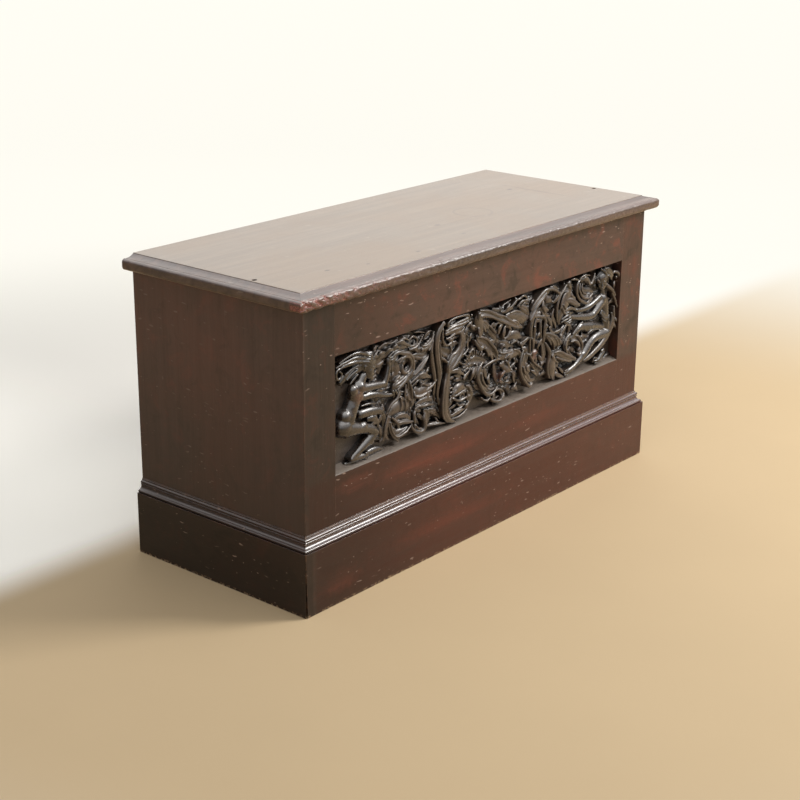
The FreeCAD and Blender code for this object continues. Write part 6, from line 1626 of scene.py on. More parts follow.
def knocks_group():
    group, given, result = new_group(
        "Knocks and scratches",
        (("Point", "NodeSocketVector", None), ("Amount", "NodeSocketFloat", 0.5)),
        (("Marks", "NodeSocketFloat"), ("Dents", "NodeSocketFloat")),
    )
    warp = put(group, "TexNoise", i0=given.outputs["Point"], Scale=30.0, Detail=2.0)
    bent = put(
        group, "VectorMath", {"operation": "MULTIPLY_ADD"}, i0=warp.outputs["Color"],
        i2=given.outputs["Point"],
    )
    bent.inputs[1].default_value = (0.03, 0.03, 0.012)
    found = []
    for tilt, length, cell_size in ((0.06, 0.22, 95.0), (-0.12, 0.30, 70.0), (0.22, 0.45, 120.0)):
        turned = put(group, "Mapping", i0=bent.outputs[0])
        turned.inputs["Rotation"].default_value = (tilt, tilt, 0.0)
        turned.inputs["Scale"].default_value = (length, length, 1.0)
        cells = put(group, "TexVoronoi", {"feature": "F1"}, i0=turned.outputs[0], Scale=cell_size)
        tick = spread(group, cells.outputs["Distance"], 0.17, 0.07)
        chosen = spread(group, cells.outputs["Color"], 0.56, 0.62)
        found.append(maths(group, "MULTIPLY", tick, chosen))
    both = maths(group, "MAXIMUM", found[0], found[1])
    ticks = maths(group, "MAXIMUM", both, found[2])
    crowd = put(group, "TexNoise", i0=given.outputs["Point"], Scale=9.0, Detail=3.0, Roughness=0.6)
    crowded = spread(group, crowd.outputs[0], 0.43, 0.58)
    ticks = maths(group, "MULTIPLY", ticks, crowded)
    marks = maths(group, "MULTIPLY", ticks, given.outputs["Amount"], clamp=True)
    lumps = put(group, "TexNoise", i0=given.outputs["Point"], Scale=26.0, Detail=3.0)
    group.links.new(marks, result.inputs[0])
    group.links.new(maths(group, "SUBTRACT", lumps.outputs[0], ticks), result.inputs[1])
    return group


def spot_group():
    group, given, result = new_group(
        "Spot at a place",
        (
            ("Point", "NodeSocketVector", None),
            ("Place", "NodeSocketVector", None),
            ("Half sizes", "NodeSocketVector", None),
            ("Raggedness", "NodeSocketFloat", 0.3),
        ),
        (("Spot", "NodeSocketFloat"),),
    )
    away = put(
        group, "VectorMath", {"operation": "SUBTRACT"}, i0=given.outputs["Point"],
        i1=given.outputs["Place"],
    )
    share = put(
        group, "VectorMath", {"operation": "DIVIDE"}, i0=away.outputs[0], i1=given.outputs["Half sizes"],
    )
    distance = put(group, "VectorMath", {"operation": "LENGTH"}, i0=share.outputs[0])
    ragged = put(group, "TexNoise", i0=given.outputs["Point"], Scale=60.0, Detail=5.0, Roughness=0.6)
    offset = maths(
        group, "MULTIPLY_ADD", ragged.outputs[0], given.outputs["Raggedness"], distance.outputs["Value"],
    )
    group.links.new(spread(group, offset, 1.0, 0.45), result.inputs[0])
    return group


def place_group(tree, group, **values):
    node = tree.nodes.new("ShaderNodeGroup")
    node.node_tree = group
    for key, value in values.items():
        socket = node.inputs[key.replace("_", " ")]
        if isinstance(value, bpy.types.NodeSocket):
            tree.links.new(value, socket)
        else:
            socket.default_value = value
    return node


def new_material(name):
    material = bpy.data.materials.new(name)
    material.use_nodes = True
    tree = material.node_tree
    shader = tree.nodes["Principled BSDF"]
    return material, tree, shader


GRAIN_TURNS = {"X": (0.0, 0.0, 0.0), "Y": (0.0, 0.0, math.pi / 2), "Z": (0.0, math.pi / 2, 0.0)}


def grain_point(tree, axis):
    """Object coordinates, turned so that the grain runs along X."""
    place = tree.nodes.new("ShaderNodeTexCoord").outputs["Object"]
    turned = put(tree, "Mapping", i0=place)
    turned.inputs["Rotation"].default_value = GRAIN_TURNS[axis]
    return place, turned.outputs[0]


def spots(tree, groups, place, rows):
    """One mask from a list of spots: place, half sizes, raggedness, strength."""
    mask = None
    for centre, halves, ragged, strength in rows:
        spot = place_group(tree, groups["spot"], Point=place, Raggedness=ragged)
        spot.inputs["Place"].default_value = centre
        spot.inputs["Half sizes"].default_value = halves
        one = maths(tree, "MULTIPLY", spot.outputs[0], strength)
        mask = one if mask is None else maths(tree, "MAXIMUM", mask, one)
    return mask


# Bounds of the room inside the case, a hair past its faces
FACE_SLACK = 0.0003
RIM_SLACK = 0.0004
INNER_HALF_LENGTH = 0.5802
INNER_BACK_Y = 0.2272


def inside_mask(tree, place):
    """1 on the faces inside the case, which were never stained."""
    parts = tree.nodes.new("ShaderNodeSeparateXYZ")
    tree.links.new(place, parts.inputs[0])
    x, y, z = parts.outputs
    inner_x = maths(tree, "LESS_THAN", maths(tree, "ABSOLUTE", x), INNER_HALF_LENGTH)
    behind = maths(tree, "GREATER_THAN", y, GROUND_Y - FACE_SLACK)
    before = maths(tree, "LESS_THAN", y, INNER_BACK_Y)
    below = maths(tree, "LESS_THAN", z, CASE_HEIGHT - RIM_SLACK)
    across = maths(tree, "MULTIPLY", inner_x, behind)
    upright = maths(tree, "MULTIPLY", before, below)
    return maths(tree, "MULTIPLY", across, upright)


RED_PLACES = (
    ((-0.20, -0.236, 0.225), (0.34, 0.05, 0.045), 0.55, 0.9),
    ((-0.45, -0.236, 0.24), (0.14, 0.05, 0.035), 0.7, 0.6),
    ((0.18, -0.236, 0.21), (0.25, 0.05, 0.035), 0.7, 0.55),
    ((-0.15, -0.253, 0.07), (0.40, 0.05, 0.05), 0.7, 0.6),
    ((-0.52, -0.253, 0.05), (0.12, 0.05, 0.05), 0.7, 0.5),
    ((0.57, -0.236, 0.50), (0.05, 0.05, 0.06), 0.6, 0.5),
)


def end_shade(tree, place_parts):
    """Painted shade on the left end, stronger towards the foot, standing in for the shadowed floor beside
    it.
    """
    x, _, z = place_parts
    at_left = spread(tree, x, -0.598, -0.606)
    low = spread(tree, z, 0.62, 0.02)
    share = maths(tree, "MULTIPLY", maths(tree, "MULTIPLY", at_left, low), 0.85)
    return at_left, share


def front_shade(tree, place_parts):
    """Where the front is darker, towards the left, and where it is redder, below the panel."""
    x, _, z = place_parts
    dark = maths(tree, "MULTIPLY", spread(tree, x, -0.12, -0.58), 0.62)
    red = maths(tree, "MULTIPLY", spread(tree, z, 0.285, 0.262), spread(tree, x, -0.600, -0.590))
    return dark, red


def stained_wood(groups, finish, name, axis, stain, light, options):
    """Old stained hardwood: streaks, clouds, red places, worn edges, knocks, a little dust; painted shade on
    the left end.
    """
    material, tree, shader = new_material(name)
    place, point = grain_point(tree, axis)
    grain = place_group(tree, groups["grain"], Point=point)
    wear = place_group(tree, groups["wear"], Point=place, Width=options.get("wear_width", 0.0022))
    knocks = place_group(tree, groups["knocks"], Point=place, Amount=options.get("knocks", 0.5))
    tone = mixed(tree, grain.outputs["Streaks"], [0.86 * part for part in stain], light)
    clouded = maths(tree, "MULTIPLY", grain.outputs["Clouds"], options.get("clouds", 0.5))
    tone = mixed(tree, clouded, tone, (1.45 * light[0], 0.95 * light[1], 0.95 * light[2]))
    blotches = put(tree, "TexNoise", i0=place, Scale=21.0, Detail=6.0, Roughness=0.62, Distortion=0.6)
    ruddier = maths(
        tree, "MULTIPLY", spread(tree, blotches.outputs[0], 0.52, 0.70), options.get("blotches", 0.5),
    )
    tone = mixed(tree, ruddier, tone, (2.1 * light[0], 1.05 * light[1], 0.95 * light[2]))
    darker = maths(
        tree, "MULTIPLY", spread(tree, blotches.outputs[0], 0.47, 0.33), options.get("blotches", 0.5),
    )
    tone = mixed(tree, darker, tone, [0.35 * part for part in light])
    parts = tree.nodes.new("ShaderNodeSeparateXYZ")
    tree.links.new(place, parts.inputs[0])
    at_left, painted_foot_shade = end_shade(tree, parts.outputs)
    # Painted shade at the foot of the left end, darkened towards a near-black stain.
    tone = mixed(tree, painted_foot_shade, tone, [0.22 * part for part in stain])
    dark_front, low_front = front_shade(tree, parts.outputs)
    off_end = maths(tree, "SUBTRACT", 1.0, at_left, clamp=True)
    ruddy = [0.55 * part for part in finish.red_stain]
    reddened = maths(
        tree, "MULTIPLY", low_front, maths(tree, "MULTIPLY_ADD", grain.outputs["Streaks"], 0.3, 0.65),
    )
    tone = mixed(tree, reddened, tone, ruddy)
    tone = mixed(tree, maths(tree, "MULTIPLY", dark_front, off_end), tone, [0.2 * part for part in stain])
    red = spots(tree, groups, place, RED_PLACES)
    red_share = maths(tree, "MULTIPLY", red, maths(tree, "ADD", grain.outputs["Streaks"], 0.35), clamp=True)
    tone = mixed(tree, red_share, tone, tuple(finish.red_stain))
    tone = mixed(
        tree, maths(tree, "MULTIPLY", grain.outputs["Pores"], 0.35), tone,
        [0.4 * part for part in stain],
    )
    bare = options.get("bare", (0.23, 0.115, 0.06))
    tone = mixed(tree, maths(tree, "MULTIPLY", wear.outputs["Wear"], options.get("wear", 0.55)), tone, bare)
    tone = mixed(tree, knocks.outputs["Marks"], tone, options.get("mark_colour", (0.34, 0.245, 0.20)))
    chips = put(tree, "TexNoise", i0=place, Scale=130.0, Detail=4.0, Roughness=0.7)
    at_floor = maths(
        tree, "MULTIPLY", spread(tree, parts.outputs[2], 0.007, 0.001),
        spread(tree, chips.outputs[0], 0.50, 0.60),
    )
    tone = mixed(tree, at_floor, tone, (0.36, 0.25, 0.16))
    raw = mixed(
        tree, grain.outputs["Streaks"], [0.6 * part for part in finish.raw_wood], tuple(finish.raw_wood),
    )
    tone = mixed(tree, inside_mask(tree, place), tone, raw)
    tree.links.new(tone, shader.inputs["Base Color"])
    rough = maths(tree, "MULTIPLY_ADD", grain.outputs["Clouds"], -0.10, options.get("roughness", 0.42))
    rough = maths(tree, "MULTIPLY_ADD", knocks.outputs["Marks"], 0.2, rough, clamp=True)
    tree.links.new(rough, shader.inputs["Roughness"])
    relief = maths(tree, "MULTIPLY_ADD", grain.outputs["Pores"], -0.35, grain.outputs["Streaks"])
    relief = maths(tree, "MULTIPLY_ADD", knocks.outputs["Dents"], 1.4, relief)
    bump = put(tree, "Bump", Strength=0.35, Distance=0.0006, Height=relief, Normal=wear.outputs["Normal"])
    tree.links.new(bump.outputs[0], shader.inputs["Normal"])
    shader.inputs["Specular IOR Level"].default_value = options.get("shine", 0.5)
    shader.inputs["Coat Weight"].default_value = options.get("coat", finish.gloss)
    shader.inputs["Coat Roughness"].default_value = 0.22
    return material


LID_SPOTS = (
    ((-0.444, -0.151, 0.671), (0.012, 0.007, 0.02), 0.4, 0.9),
    ((-0.350, -0.177, 0.671), (0.010, 0.006, 0.02), 0.4, 0.7),
    ((-0.201, -0.186, 0.671), (0.014, 0.007, 0.02), 0.4, 0.8),
    ((-0.007, -0.155, 0.671), (0.012, 0.007, 0.02), 0.4, 0.7),
    ((0.018, -0.061, 0.671), (0.016, 0.010, 0.02), 0.4, 0.7),
    ((0.442, 0.052, 0.671), (0.014, 0.010, 0.02), 0.4, 0.8),
    ((0.472, 0.0, 0.671), (0.018, 0.26, 0.02), 0.9, 0.35),
)
LID_RING = ((0.177, -0.038, 0.671), 0.045)


def lid_material(groups, finish):
    """The lid: faded and dulled on top, dark on its moulded edge, bare and reddish where it is bitten."""
    material, tree, shader = new_material("Faded lid wood")
    place, point = grain_point(tree, "X")
    grain = place_group(tree, groups["grain"], Point=point)
    wear = place_group(tree, groups["wear"], Point=place, Width=0.003)
    knocks = place_group(tree, groups["knocks"], Point=place, Amount=0.4)
    stain = tuple(finish.stain)
    dark = mixed(
        tree, grain.outputs["Streaks"], [0.8 * part for part in stain], [1.8 * part for part in stain],
    )
    top_colour = tuple(finish.lid_top)
    pale = mixed(tree, grain.outputs["Streaks"], [0.72 * part for part in top_colour], top_colour)
    pale = mixed(
        tree, maths(tree, "MULTIPLY", grain.outputs["Clouds"], 0.5), pale,
        [1.28 * part for part in top_colour],
    )
    pale = mixed(
        tree, maths(tree, "MULTIPLY", grain.outputs["Pores"], 0.5), pale,
        [0.5 * part for part in top_colour],
    )
    stains = spots(tree, groups, place, LID_SPOTS)
    pale = mixed(tree, stains, pale, (0.035, 0.024, 0.018))
    ring_place = put(tree, "VectorMath", {"operation": "DISTANCE"}, i0=place)
    ring_place.inputs[1].default_value = LID_RING[0]
    off_ring = maths(tree, "ABSOLUTE", maths(tree, "SUBTRACT", ring_place.outputs["Value"], LID_RING[1]))
    ring = maths(tree, "MULTIPLY", spread(tree, off_ring, 0.004, 0.001), 0.35)
    pale = mixed(tree, ring, pale, (0.07, 0.05, 0.04))
    parts = tree.nodes.new("ShaderNodeSeparateXYZ")
    tree.links.new(place, parts.inputs[0])
    on_top = spread(tree, parts.outputs[2], LID_HIGH.z - 0.0016, LID_HIGH.z - 0.0002)
    tone = mixed(tree, on_top, dark, pale)
    tone = mixed(tree, maths(tree, "MULTIPLY", wear.outputs["Wear"], 0.4), tone, (0.24, 0.13, 0.075))
    tone = mixed(tree, knocks.outputs["Marks"], tone, (0.30, 0.24, 0.19))
    bare = put(tree, "Attribute", {"attribute_name": "bare_wood"})
    red_share = spread(tree, parts.outputs[0], LID_LOW.x + 0.45, LID_LOW.x + 0.05)
    speckle = put(tree, "TexNoise", i0=place, Scale=420.0, Detail=3.0, Roughness=0.7)
    fleck = spread(tree, speckle.outputs[0], 0.42, 0.62)
    red_bare = mixed(tree, fleck, (0.085, 0.014, 0.011), (0.42, 0.15, 0.11))
    grey_bare = mixed(tree, fleck, (0.020, 0.012, 0.009), (0.17, 0.125, 0.10))
    bare_tone = mixed(tree, red_share, grey_bare, red_bare)
    tone = mixed(tree, maths(tree, "MULTIPLY", bare.outputs["Fac"], 0.9, clamp=True), tone, bare_tone)
    facing = tree.nodes.new("ShaderNodeSeparateXYZ")
    tree.links.new(tree.nodes.new("ShaderNodeNewGeometry").outputs["Normal"], facing.inputs[0])
    low = maths(tree, "LESS_THAN", parts.outputs[2], CASE_HEIGHT + 0.008)
    below = maths(tree, "MULTIPLY", low, spread(tree, facing.outputs[2], -0.5, -0.8))
    raw = mixed(
        tree, grain.outputs["Streaks"], [0.5 * part for part in finish.raw_wood], tuple(finish.raw_wood),
    )
    tone = mixed(tree, below, tone, raw)
    tree.links.new(tone, shader.inputs["Base Color"])
    rough = maths(tree, "MULTIPLY_ADD", grain.outputs["Clouds"], 0.12, 0.36)
    rough = maths(tree, "MULTIPLY_ADD", bare.outputs["Fac"], 0.3, rough, clamp=True)
    tree.links.new(rough, shader.inputs["Roughness"])
    relief = maths(tree, "MULTIPLY_ADD", grain.outputs["Pores"], -0.4, grain.outputs["Streaks"])
    relief = maths(tree, "MULTIPLY_ADD", knocks.outputs["Dents"], 1.5, relief)
    bump = put(tree, "Bump", Strength=0.35, Distance=0.0006, Height=relief, Normal=wear.outputs["Normal"])
    tree.links.new(bump.outputs[0], shader.inputs["Normal"])
    shader.inputs["Coat Weight"].default_value = 0.5
    shader.inputs["Coat Roughness"].default_value = 0.3
    return material


CARVING_RED_PLACES = (
    ((-0.437, -0.23, 0.42), (0.042, 0.05, 0.046), 0.9, 0.6),
    ((0.175, -0.23, 0.365), (0.03, 0.05, 0.03), 0.6, 0.7),
    ((0.045, -0.23, 0.345), (0.05, 0.05, 0.035), 0.9, 0.6),
)
# Crest colour: wear, and in part a painted highlight.
CREST_WEAR_AND_HIGHLIGHT_COLOUR = (0.200, 0.152, 0.116)
DUST_COLOUR = (0.190, 0.158, 0.126)
# Painted shade colour for the hollows, creases and deep places of the carving.
PAINTED_SHADE_COLOUR = (0.003, 0.002, 0.002)


def carving_material(groups, finish, name, kind):
    """Nearly black carving: worn crests with a painted highlight, painted shade in the hollows, grey dust
    where it can lie.
    """
    material, tree, shader = new_material(name)
    place, point = grain_point(tree, "X")
    grain = place_group(tree, groups["grain"], Point=point)
    stain = [kind["tone"] * part for part in finish.carving]
    speckle = put(tree, "TexNoise", i0=place, Scale=210.0, Detail=4.0, Roughness=0.65)
    mottled = maths(
        tree, "ADD", grain.outputs["Streaks"], spread(tree, speckle.outputs[0], 0.35, 0.65, -0.35, 0.5),
        clamp=True,
    )
    tone = mixed(tree, mottled, [0.55 * part for part in stain], [1.7 * part for part in stain])
    geometry = tree.nodes.new("ShaderNodeNewGeometry")
    # Sharp crests are lightened, partly as wear and partly as a painted highlight; creases are picked out
    # for painted shade.
    crest_wear_and_highlight = spread(tree, geometry.outputs["Pointiness"], 0.52, 0.62)
    crease_shade = spread(tree, geometry.outputs["Pointiness"], 0.485, 0.42)
    tone = mixed(tree, maths(tree, "MULTIPLY", crest_wear_and_highlight, 0.7), tone, CREST_WEAR_AND_HIGHLIGHT_COLOUR)
    red = spots(tree, groups, place, CARVING_RED_PLACES)
    tone = mixed(tree, red, tone, (0.120, 0.032, 0.022))
    parts = tree.nodes.new("ShaderNodeSeparateXYZ")
    tree.links.new(place, parts.inputs[0])
    facing = tree.nodes.new("ShaderNodeSeparateXYZ")
    tree.links.new(geometry.outputs["Normal"], facing.inputs[0])
    lying = spread(tree, facing.outputs[2], 0.1, 0.9)
    patchy = put(tree, "TexNoise", i0=place, Scale=90.0, Detail=4.0, Roughness=0.6)
    settled = maths(tree, "MULTIPLY", maths(tree, "ADD", lying, kind["dust"]), patchy.outputs[0])
    dust = maths(tree, "MULTIPLY", settled, kind["dust"], clamp=True)
    tone = mixed(tree, dust, tone, DUST_COLOUR)
    # Painted shade: places deep in the relief, creases and closed-in hollows are darkened to near black.
    deep = spread(tree, parts.outputs[1], GROUND_Y - 0.015, GROUND_Y - 0.003, 0.0, 0.8)
    open_sky = put(tree, "AmbientOcclusion", {"samples": 6}, Distance=0.014)
    occluded_shade = spread(tree, open_sky.outputs["AO"], 0.80, 0.30)
    dark = maths(tree, "MAXIMUM", maths(tree, "MAXIMUM", deep, crease_shade), occluded_shade)
    dark = maths(tree, "MULTIPLY", dark, kind["hollows"])
    tone = mixed(tree, dark, tone, PAINTED_SHADE_COLOUR)
    tree.links.new(tone, shader.inputs["Base Color"])
    rough = maths(tree, "MULTIPLY_ADD", dust, 0.4, kind["roughness"], clamp=True)
    rough = maths(tree, "MULTIPLY_ADD", spread(tree, patchy.outputs[0], 0.35, 0.65), 0.14, rough, clamp=True)
    tree.links.new(rough, shader.inputs["Roughness"])
    relief = maths(tree, "MULTIPLY_ADD", grain.outputs["Pores"], -0.25, speckle.outputs[0])
    bump = put(tree, "Bump", Strength=kind["tooled"], Distance=0.0007, Height=relief)
    tree.links.new(bump.outputs[0], shader.inputs["Normal"])
    shader.inputs["Coat Weight"].default_value = kind["coat"]
    shader.inputs["Coat Roughness"].default_value = 0.26
    return material


def plain_material(groups, finish, axis):
    material, tree, shader = new_material("Plain wood " + axis)
    place, point = grain_point(tree, axis)
    grain = place_group(tree, groups["grain"], Point=point)
    knocks = place_group(tree, groups["knocks"], Point=place, Amount=0.25)
    raw = tuple(finish.raw_wood)
    tone = mixed(tree, grain.outputs["Streaks"], [0.55 * part for part in raw], raw)
    tone = mixed(tree, maths(tree, "MULTIPLY", grain.outputs["Clouds"], 0.4), tone, (0.16, 0.11, 0.075))
    tone = mixed(tree, maths(tree, "MULTIPLY", grain.outputs["Pores"], 0.5), tone, (0.06, 0.035, 0.02))
    tone = mixed(tree, knocks.outputs["Marks"], tone, (0.36, 0.28, 0.19))
    tree.links.new(tone, shader.inputs["Base Color"])
    rough = maths(tree, "MULTIPLY_ADD", grain.outputs["Streaks"], 0.12, 0.62)
    tree.links.new(rough, shader.inputs["Roughness"])
    relief = maths(tree, "MULTIPLY_ADD", grain.outputs["Pores"], -0.5, grain.outputs["Streaks"])
    bump = put(tree, "Bump", Strength=0.4, Distance=0.0008, Height=relief)
    tree.links.new(bump.outputs[0], shader.inputs["Normal"])
    return material


def metal_material(name, clean, tarnish, roughness):
    material, tree, shader = new_material(name)
    place = tree.nodes.new("ShaderNodeTexCoord").outputs["Object"]
    patches = put(tree, "TexNoise", i0=place, Scale=140.0, Detail=5.0, Roughness=0.65)
    spotted = spread(tree, patches.outputs[0], 0.42, 0.66)
    fine = put(tree, "TexNoise", i0=place, Scale=1600.0, Detail=2.0)
    tree.links.new(mixed(tree, spotted, clean, tarnish), shader.inputs["Base Color"])
    rough = maths(tree, "MULTIPLY_ADD", spotted, 0.25, roughness, clamp=True)
    tree.links.new(rough, shader.inputs["Roughness"])
    bump = put(tree, "Bump", Strength=0.25, Distance=0.0002, Height=fine.outputs[0])
    tree.links.new(bump.outputs[0], shader.inputs["Normal"])
    shader.inputs["Metallic"].default_value = 1.0
    return material


# Which finish each kind of CAD piece gets, by the start of its name
FINISH_BY_NAME = (
    ("front_left_stile", "front Z"), ("front_right_stile", "front Z"), ("front_", "front X"),
    ("left_end_board", "end Z"), ("right_end_board", "end Z"),
    ("plinth_front", "base X"), ("plinth_left", "base Y"), ("plinth_right", "base Y"),
    ("base_moulding_front", "moulding X"), ("base_moulding_", "moulding Y"),
    ("lid_board", "lid"), ("lid_batten", "plain Y"),
    ("back_board", "plain X"), ("floor_board", "plain X"),
    ("floor_bearer_left", "plain Y"), ("floor_bearer_right", "plain Y"), ("floor_bearer", "plain X"),
    ("glue_block", "plain Z"), ("foot_block", "plain Z"),
    ("hinge_", "brass"), ("case_hinge_screws", "brass"), ("lid_hinge_screws", "brass"),
    ("carved_panel", "plain X"), ("", "steel"),
)


def finish_for(name):
    for start, finish in FINISH_BY_NAME:
        if name.startswith(start):
            return finish
    return "steel"


def clothe(piece, material):
    piece.data.materials.clear()
    piece.data.materials.append(material)


class CHEST_OT_finishes(bpy.types.Operator):
    """Gives every piece its stain, wear, dust or tarnish, with painted shade on the carving and the left
    end, and painted highlights on the carving's crests
    """

    bl_idname = "chest.finishes"
    bl_label = "Finish all pieces"

    def execute(self, context):
        finish = context.scene.chest_finish
        groups = {
            "grain": grain_group(),
            "wear": wear_group(),
            "knocks": knocks_group(),
            "spot": spot_group(),
        }
        stain = tuple(finish.stain)
        lighter = [1.25 * part for part in stain]
        moulding = {"knocks": 0.95, "wear": 0.75, "roughness": 0.30, "coat": 3.0 * finish.gloss}
        base = {"knocks": 0.75, "blotches": 0.7, "wear": 0.75, "roughness": 0.38, "shine": 0.34}
        base["coat"] = 0.3 * finish.gloss
        front = {"knocks": 0.9, "blotches": 0.7, "wear": 0.35, "roughness": 0.42, "shine": 0.34}
        front["coat"] = 0.3 * finish.gloss
        end = {"knocks": 0.3, "blotches": 0.3, "wear": 0.3, "roughness": 0.46}
        end_stain = (1.17 * stain[0], 1.10 * stain[1], 1.18 * stain[2])
        end_lighter = [1.2 * part for part in end_stain]
        materials = {
            "lid": lid_material(groups, finish),
            "brass": metal_material("Dull brass", (0.40, 0.285, 0.13), (0.13, 0.085, 0.042), 0.42),
            "steel": metal_material("Old steel", (0.32, 0.31, 0.30), (0.09, 0.055, 0.035), 0.42),
        }
        for axis in "XYZ":
            shade = 0.72 if axis == "Z" else 0.95
            front_stain, front_lighter = [shade * part for part in stain], [shade * part for part in lighter]
            materials["front " + axis] = stained_wood(
                groups, finish, "Front stain " + axis, axis, front_stain, front_lighter, front)
            # Painted shade: the plinth's end pieces get a darker stain, like the shaded foot of the left
            # end.
            plinth_end_shade = 0.75 if axis == "Y" else 1.0
            base_stain, base_lighter = [plinth_end_shade * part for part in stain], [plinth_end_shade * part for part in lighter]
            materials["base " + axis] = stained_wood(
                groups, finish, "Base stain " + axis, axis, base_stain, base_lighter, base)
            materials["plain " + axis] = plain_material(groups, finish, axis)
        # The end boards carry the painted shade at the foot of the left end.
        materials["end Z"] = stained_wood(groups, finish, "End stain and painted shade", "Z", end_stain, end_lighter, end)
        materials["moulding X"] = stained_wood(
            groups, finish, "Front moulding stain", "X", stain, lighter, moulding,
        )
        dull = {"knocks": 0.6, "wear": 0.5, "roughness": 0.40, "coat": 0.2 * finish.gloss, "shine": 0.4}
        materials["moulding Y"] = stained_wood(
            groups, finish, "End moulding stain", "Y", stain, lighter, dull,
        )
        for name, node in cad_nodes.items():
            clothe(node, materials[finish_for(name)])
        # In each kind, hollows sets how strongly the painted shade darkens the hollows.
        figure = {"tone": 1.0, "dust": 0.15, "hollows": 0.8, "roughness": 0.20, "coat": 0.85, "tooled": 0.25}
        leaf = {"tone": 1.9, "dust": 0.42, "hollows": 1.0, "roughness": 0.24, "coat": 0.6, "tooled": 0.6}
        board = {"tone": 1.8, "dust": 0.6, "hollows": 0.35, "roughness": 0.36, "coat": 0.2, "tooled": 0.5}
        figured = carving_material(groups, finish, "Carved figure stain, painted shade and highlight", figure)
        leafy = carving_material(groups, finish, "Carved foliage stain, painted shade and highlight", leaf)
        ground = carving_material(groups, finish, "Carving ground stain, painted shade and highlight", board)
        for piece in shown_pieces():
            if piece.name.startswith("carving_"):
                dusty = piece.name in ("carving_ground", "carving_sill")
                person = "figure" in piece.name or "head" in piece.name or "hands" in piece.name
                clothe(piece, ground if dusty else figured if person else leafy)
        clothe(bpy.data.objects["lid_front_board"], materials["lid"])
        return {"FINISHED"}


# Studio
CAMERA_PLACE = Vector((-2.76021, -2.28490, 1.48622))
CAMERA_YAW = math.radians(39.974)
CAMERA_DOWN = math.radians(19.075)
CAMERA_ROLL = math.radians(0.460)


def camera_turn():
    """The camera's turn as a rotation: where it looks, with a slight roll."""
    level = math.cos(CAMERA_DOWN)
    ahead = Vector((level * math.cos(CAMERA_YAW), level * math.sin(CAMERA_YAW), -math.sin(CAMERA_DOWN)))
    right = ahead.cross(Vector((0, 0, 1))).normalized()
    above = right.cross(ahead)
    rolled_right = right * math.cos(CAMERA_ROLL) + above * math.sin(CAMERA_ROLL)
    rolled_above = above * math.cos(CAMERA_ROLL) - right * math.sin(CAMERA_ROLL)
    return Matrix((rolled_right, rolled_above, -ahead)).transposed().to_euler()


def aimed_light(name, place, aim, size, power, colour):
    bpy.ops.object.select_all(action="DESELECT")
    turn = (Vector(aim) - Vector(place)).to_track_quat("-Z", "Y").to_euler()
    bpy.ops.object.light_add(type="AREA", location=place, rotation=turn)
    light = bpy.context.active_object
    light.name = name
    light.data.shape = "RECTANGLE"
    light.data.size = size[0]
    light.data.size_y = size[1]
    light.data.energy = power
    light.data.color = colour
    return light


# Lights: name, place, what it is aimed at, size, share of the key light's power, colour
LIGHTS = (
    ("key_light", (2.6, -2.7, 3.0), (0, 0, 0.3), (1.5, 1.4), 1.0, (1.0, 0.97, 0.93)),
    ("top_light", (-0.2, -0.9, 3.2), (-0.1, -0.4, 0), (3.2, 1.2), 0.18, (1.0, 0.99, 0.97)),
    ("back_light", (3.1, 2.6, 1.9), (0, 0, 0.6), (4.2, 2.6), 0.2, (1.0, 0.96, 0.90)),
)
FLOOR_FADE = (1.25, 3.0)
PALE_FLOOR_Y = (0.25, 0.42)
PALE_FLOOR_COLOUR = (0.93, 0.91, 0.86)
FAR_FLOOR_COLOUR = (0.90, 0.88, 0.80, 1.0)


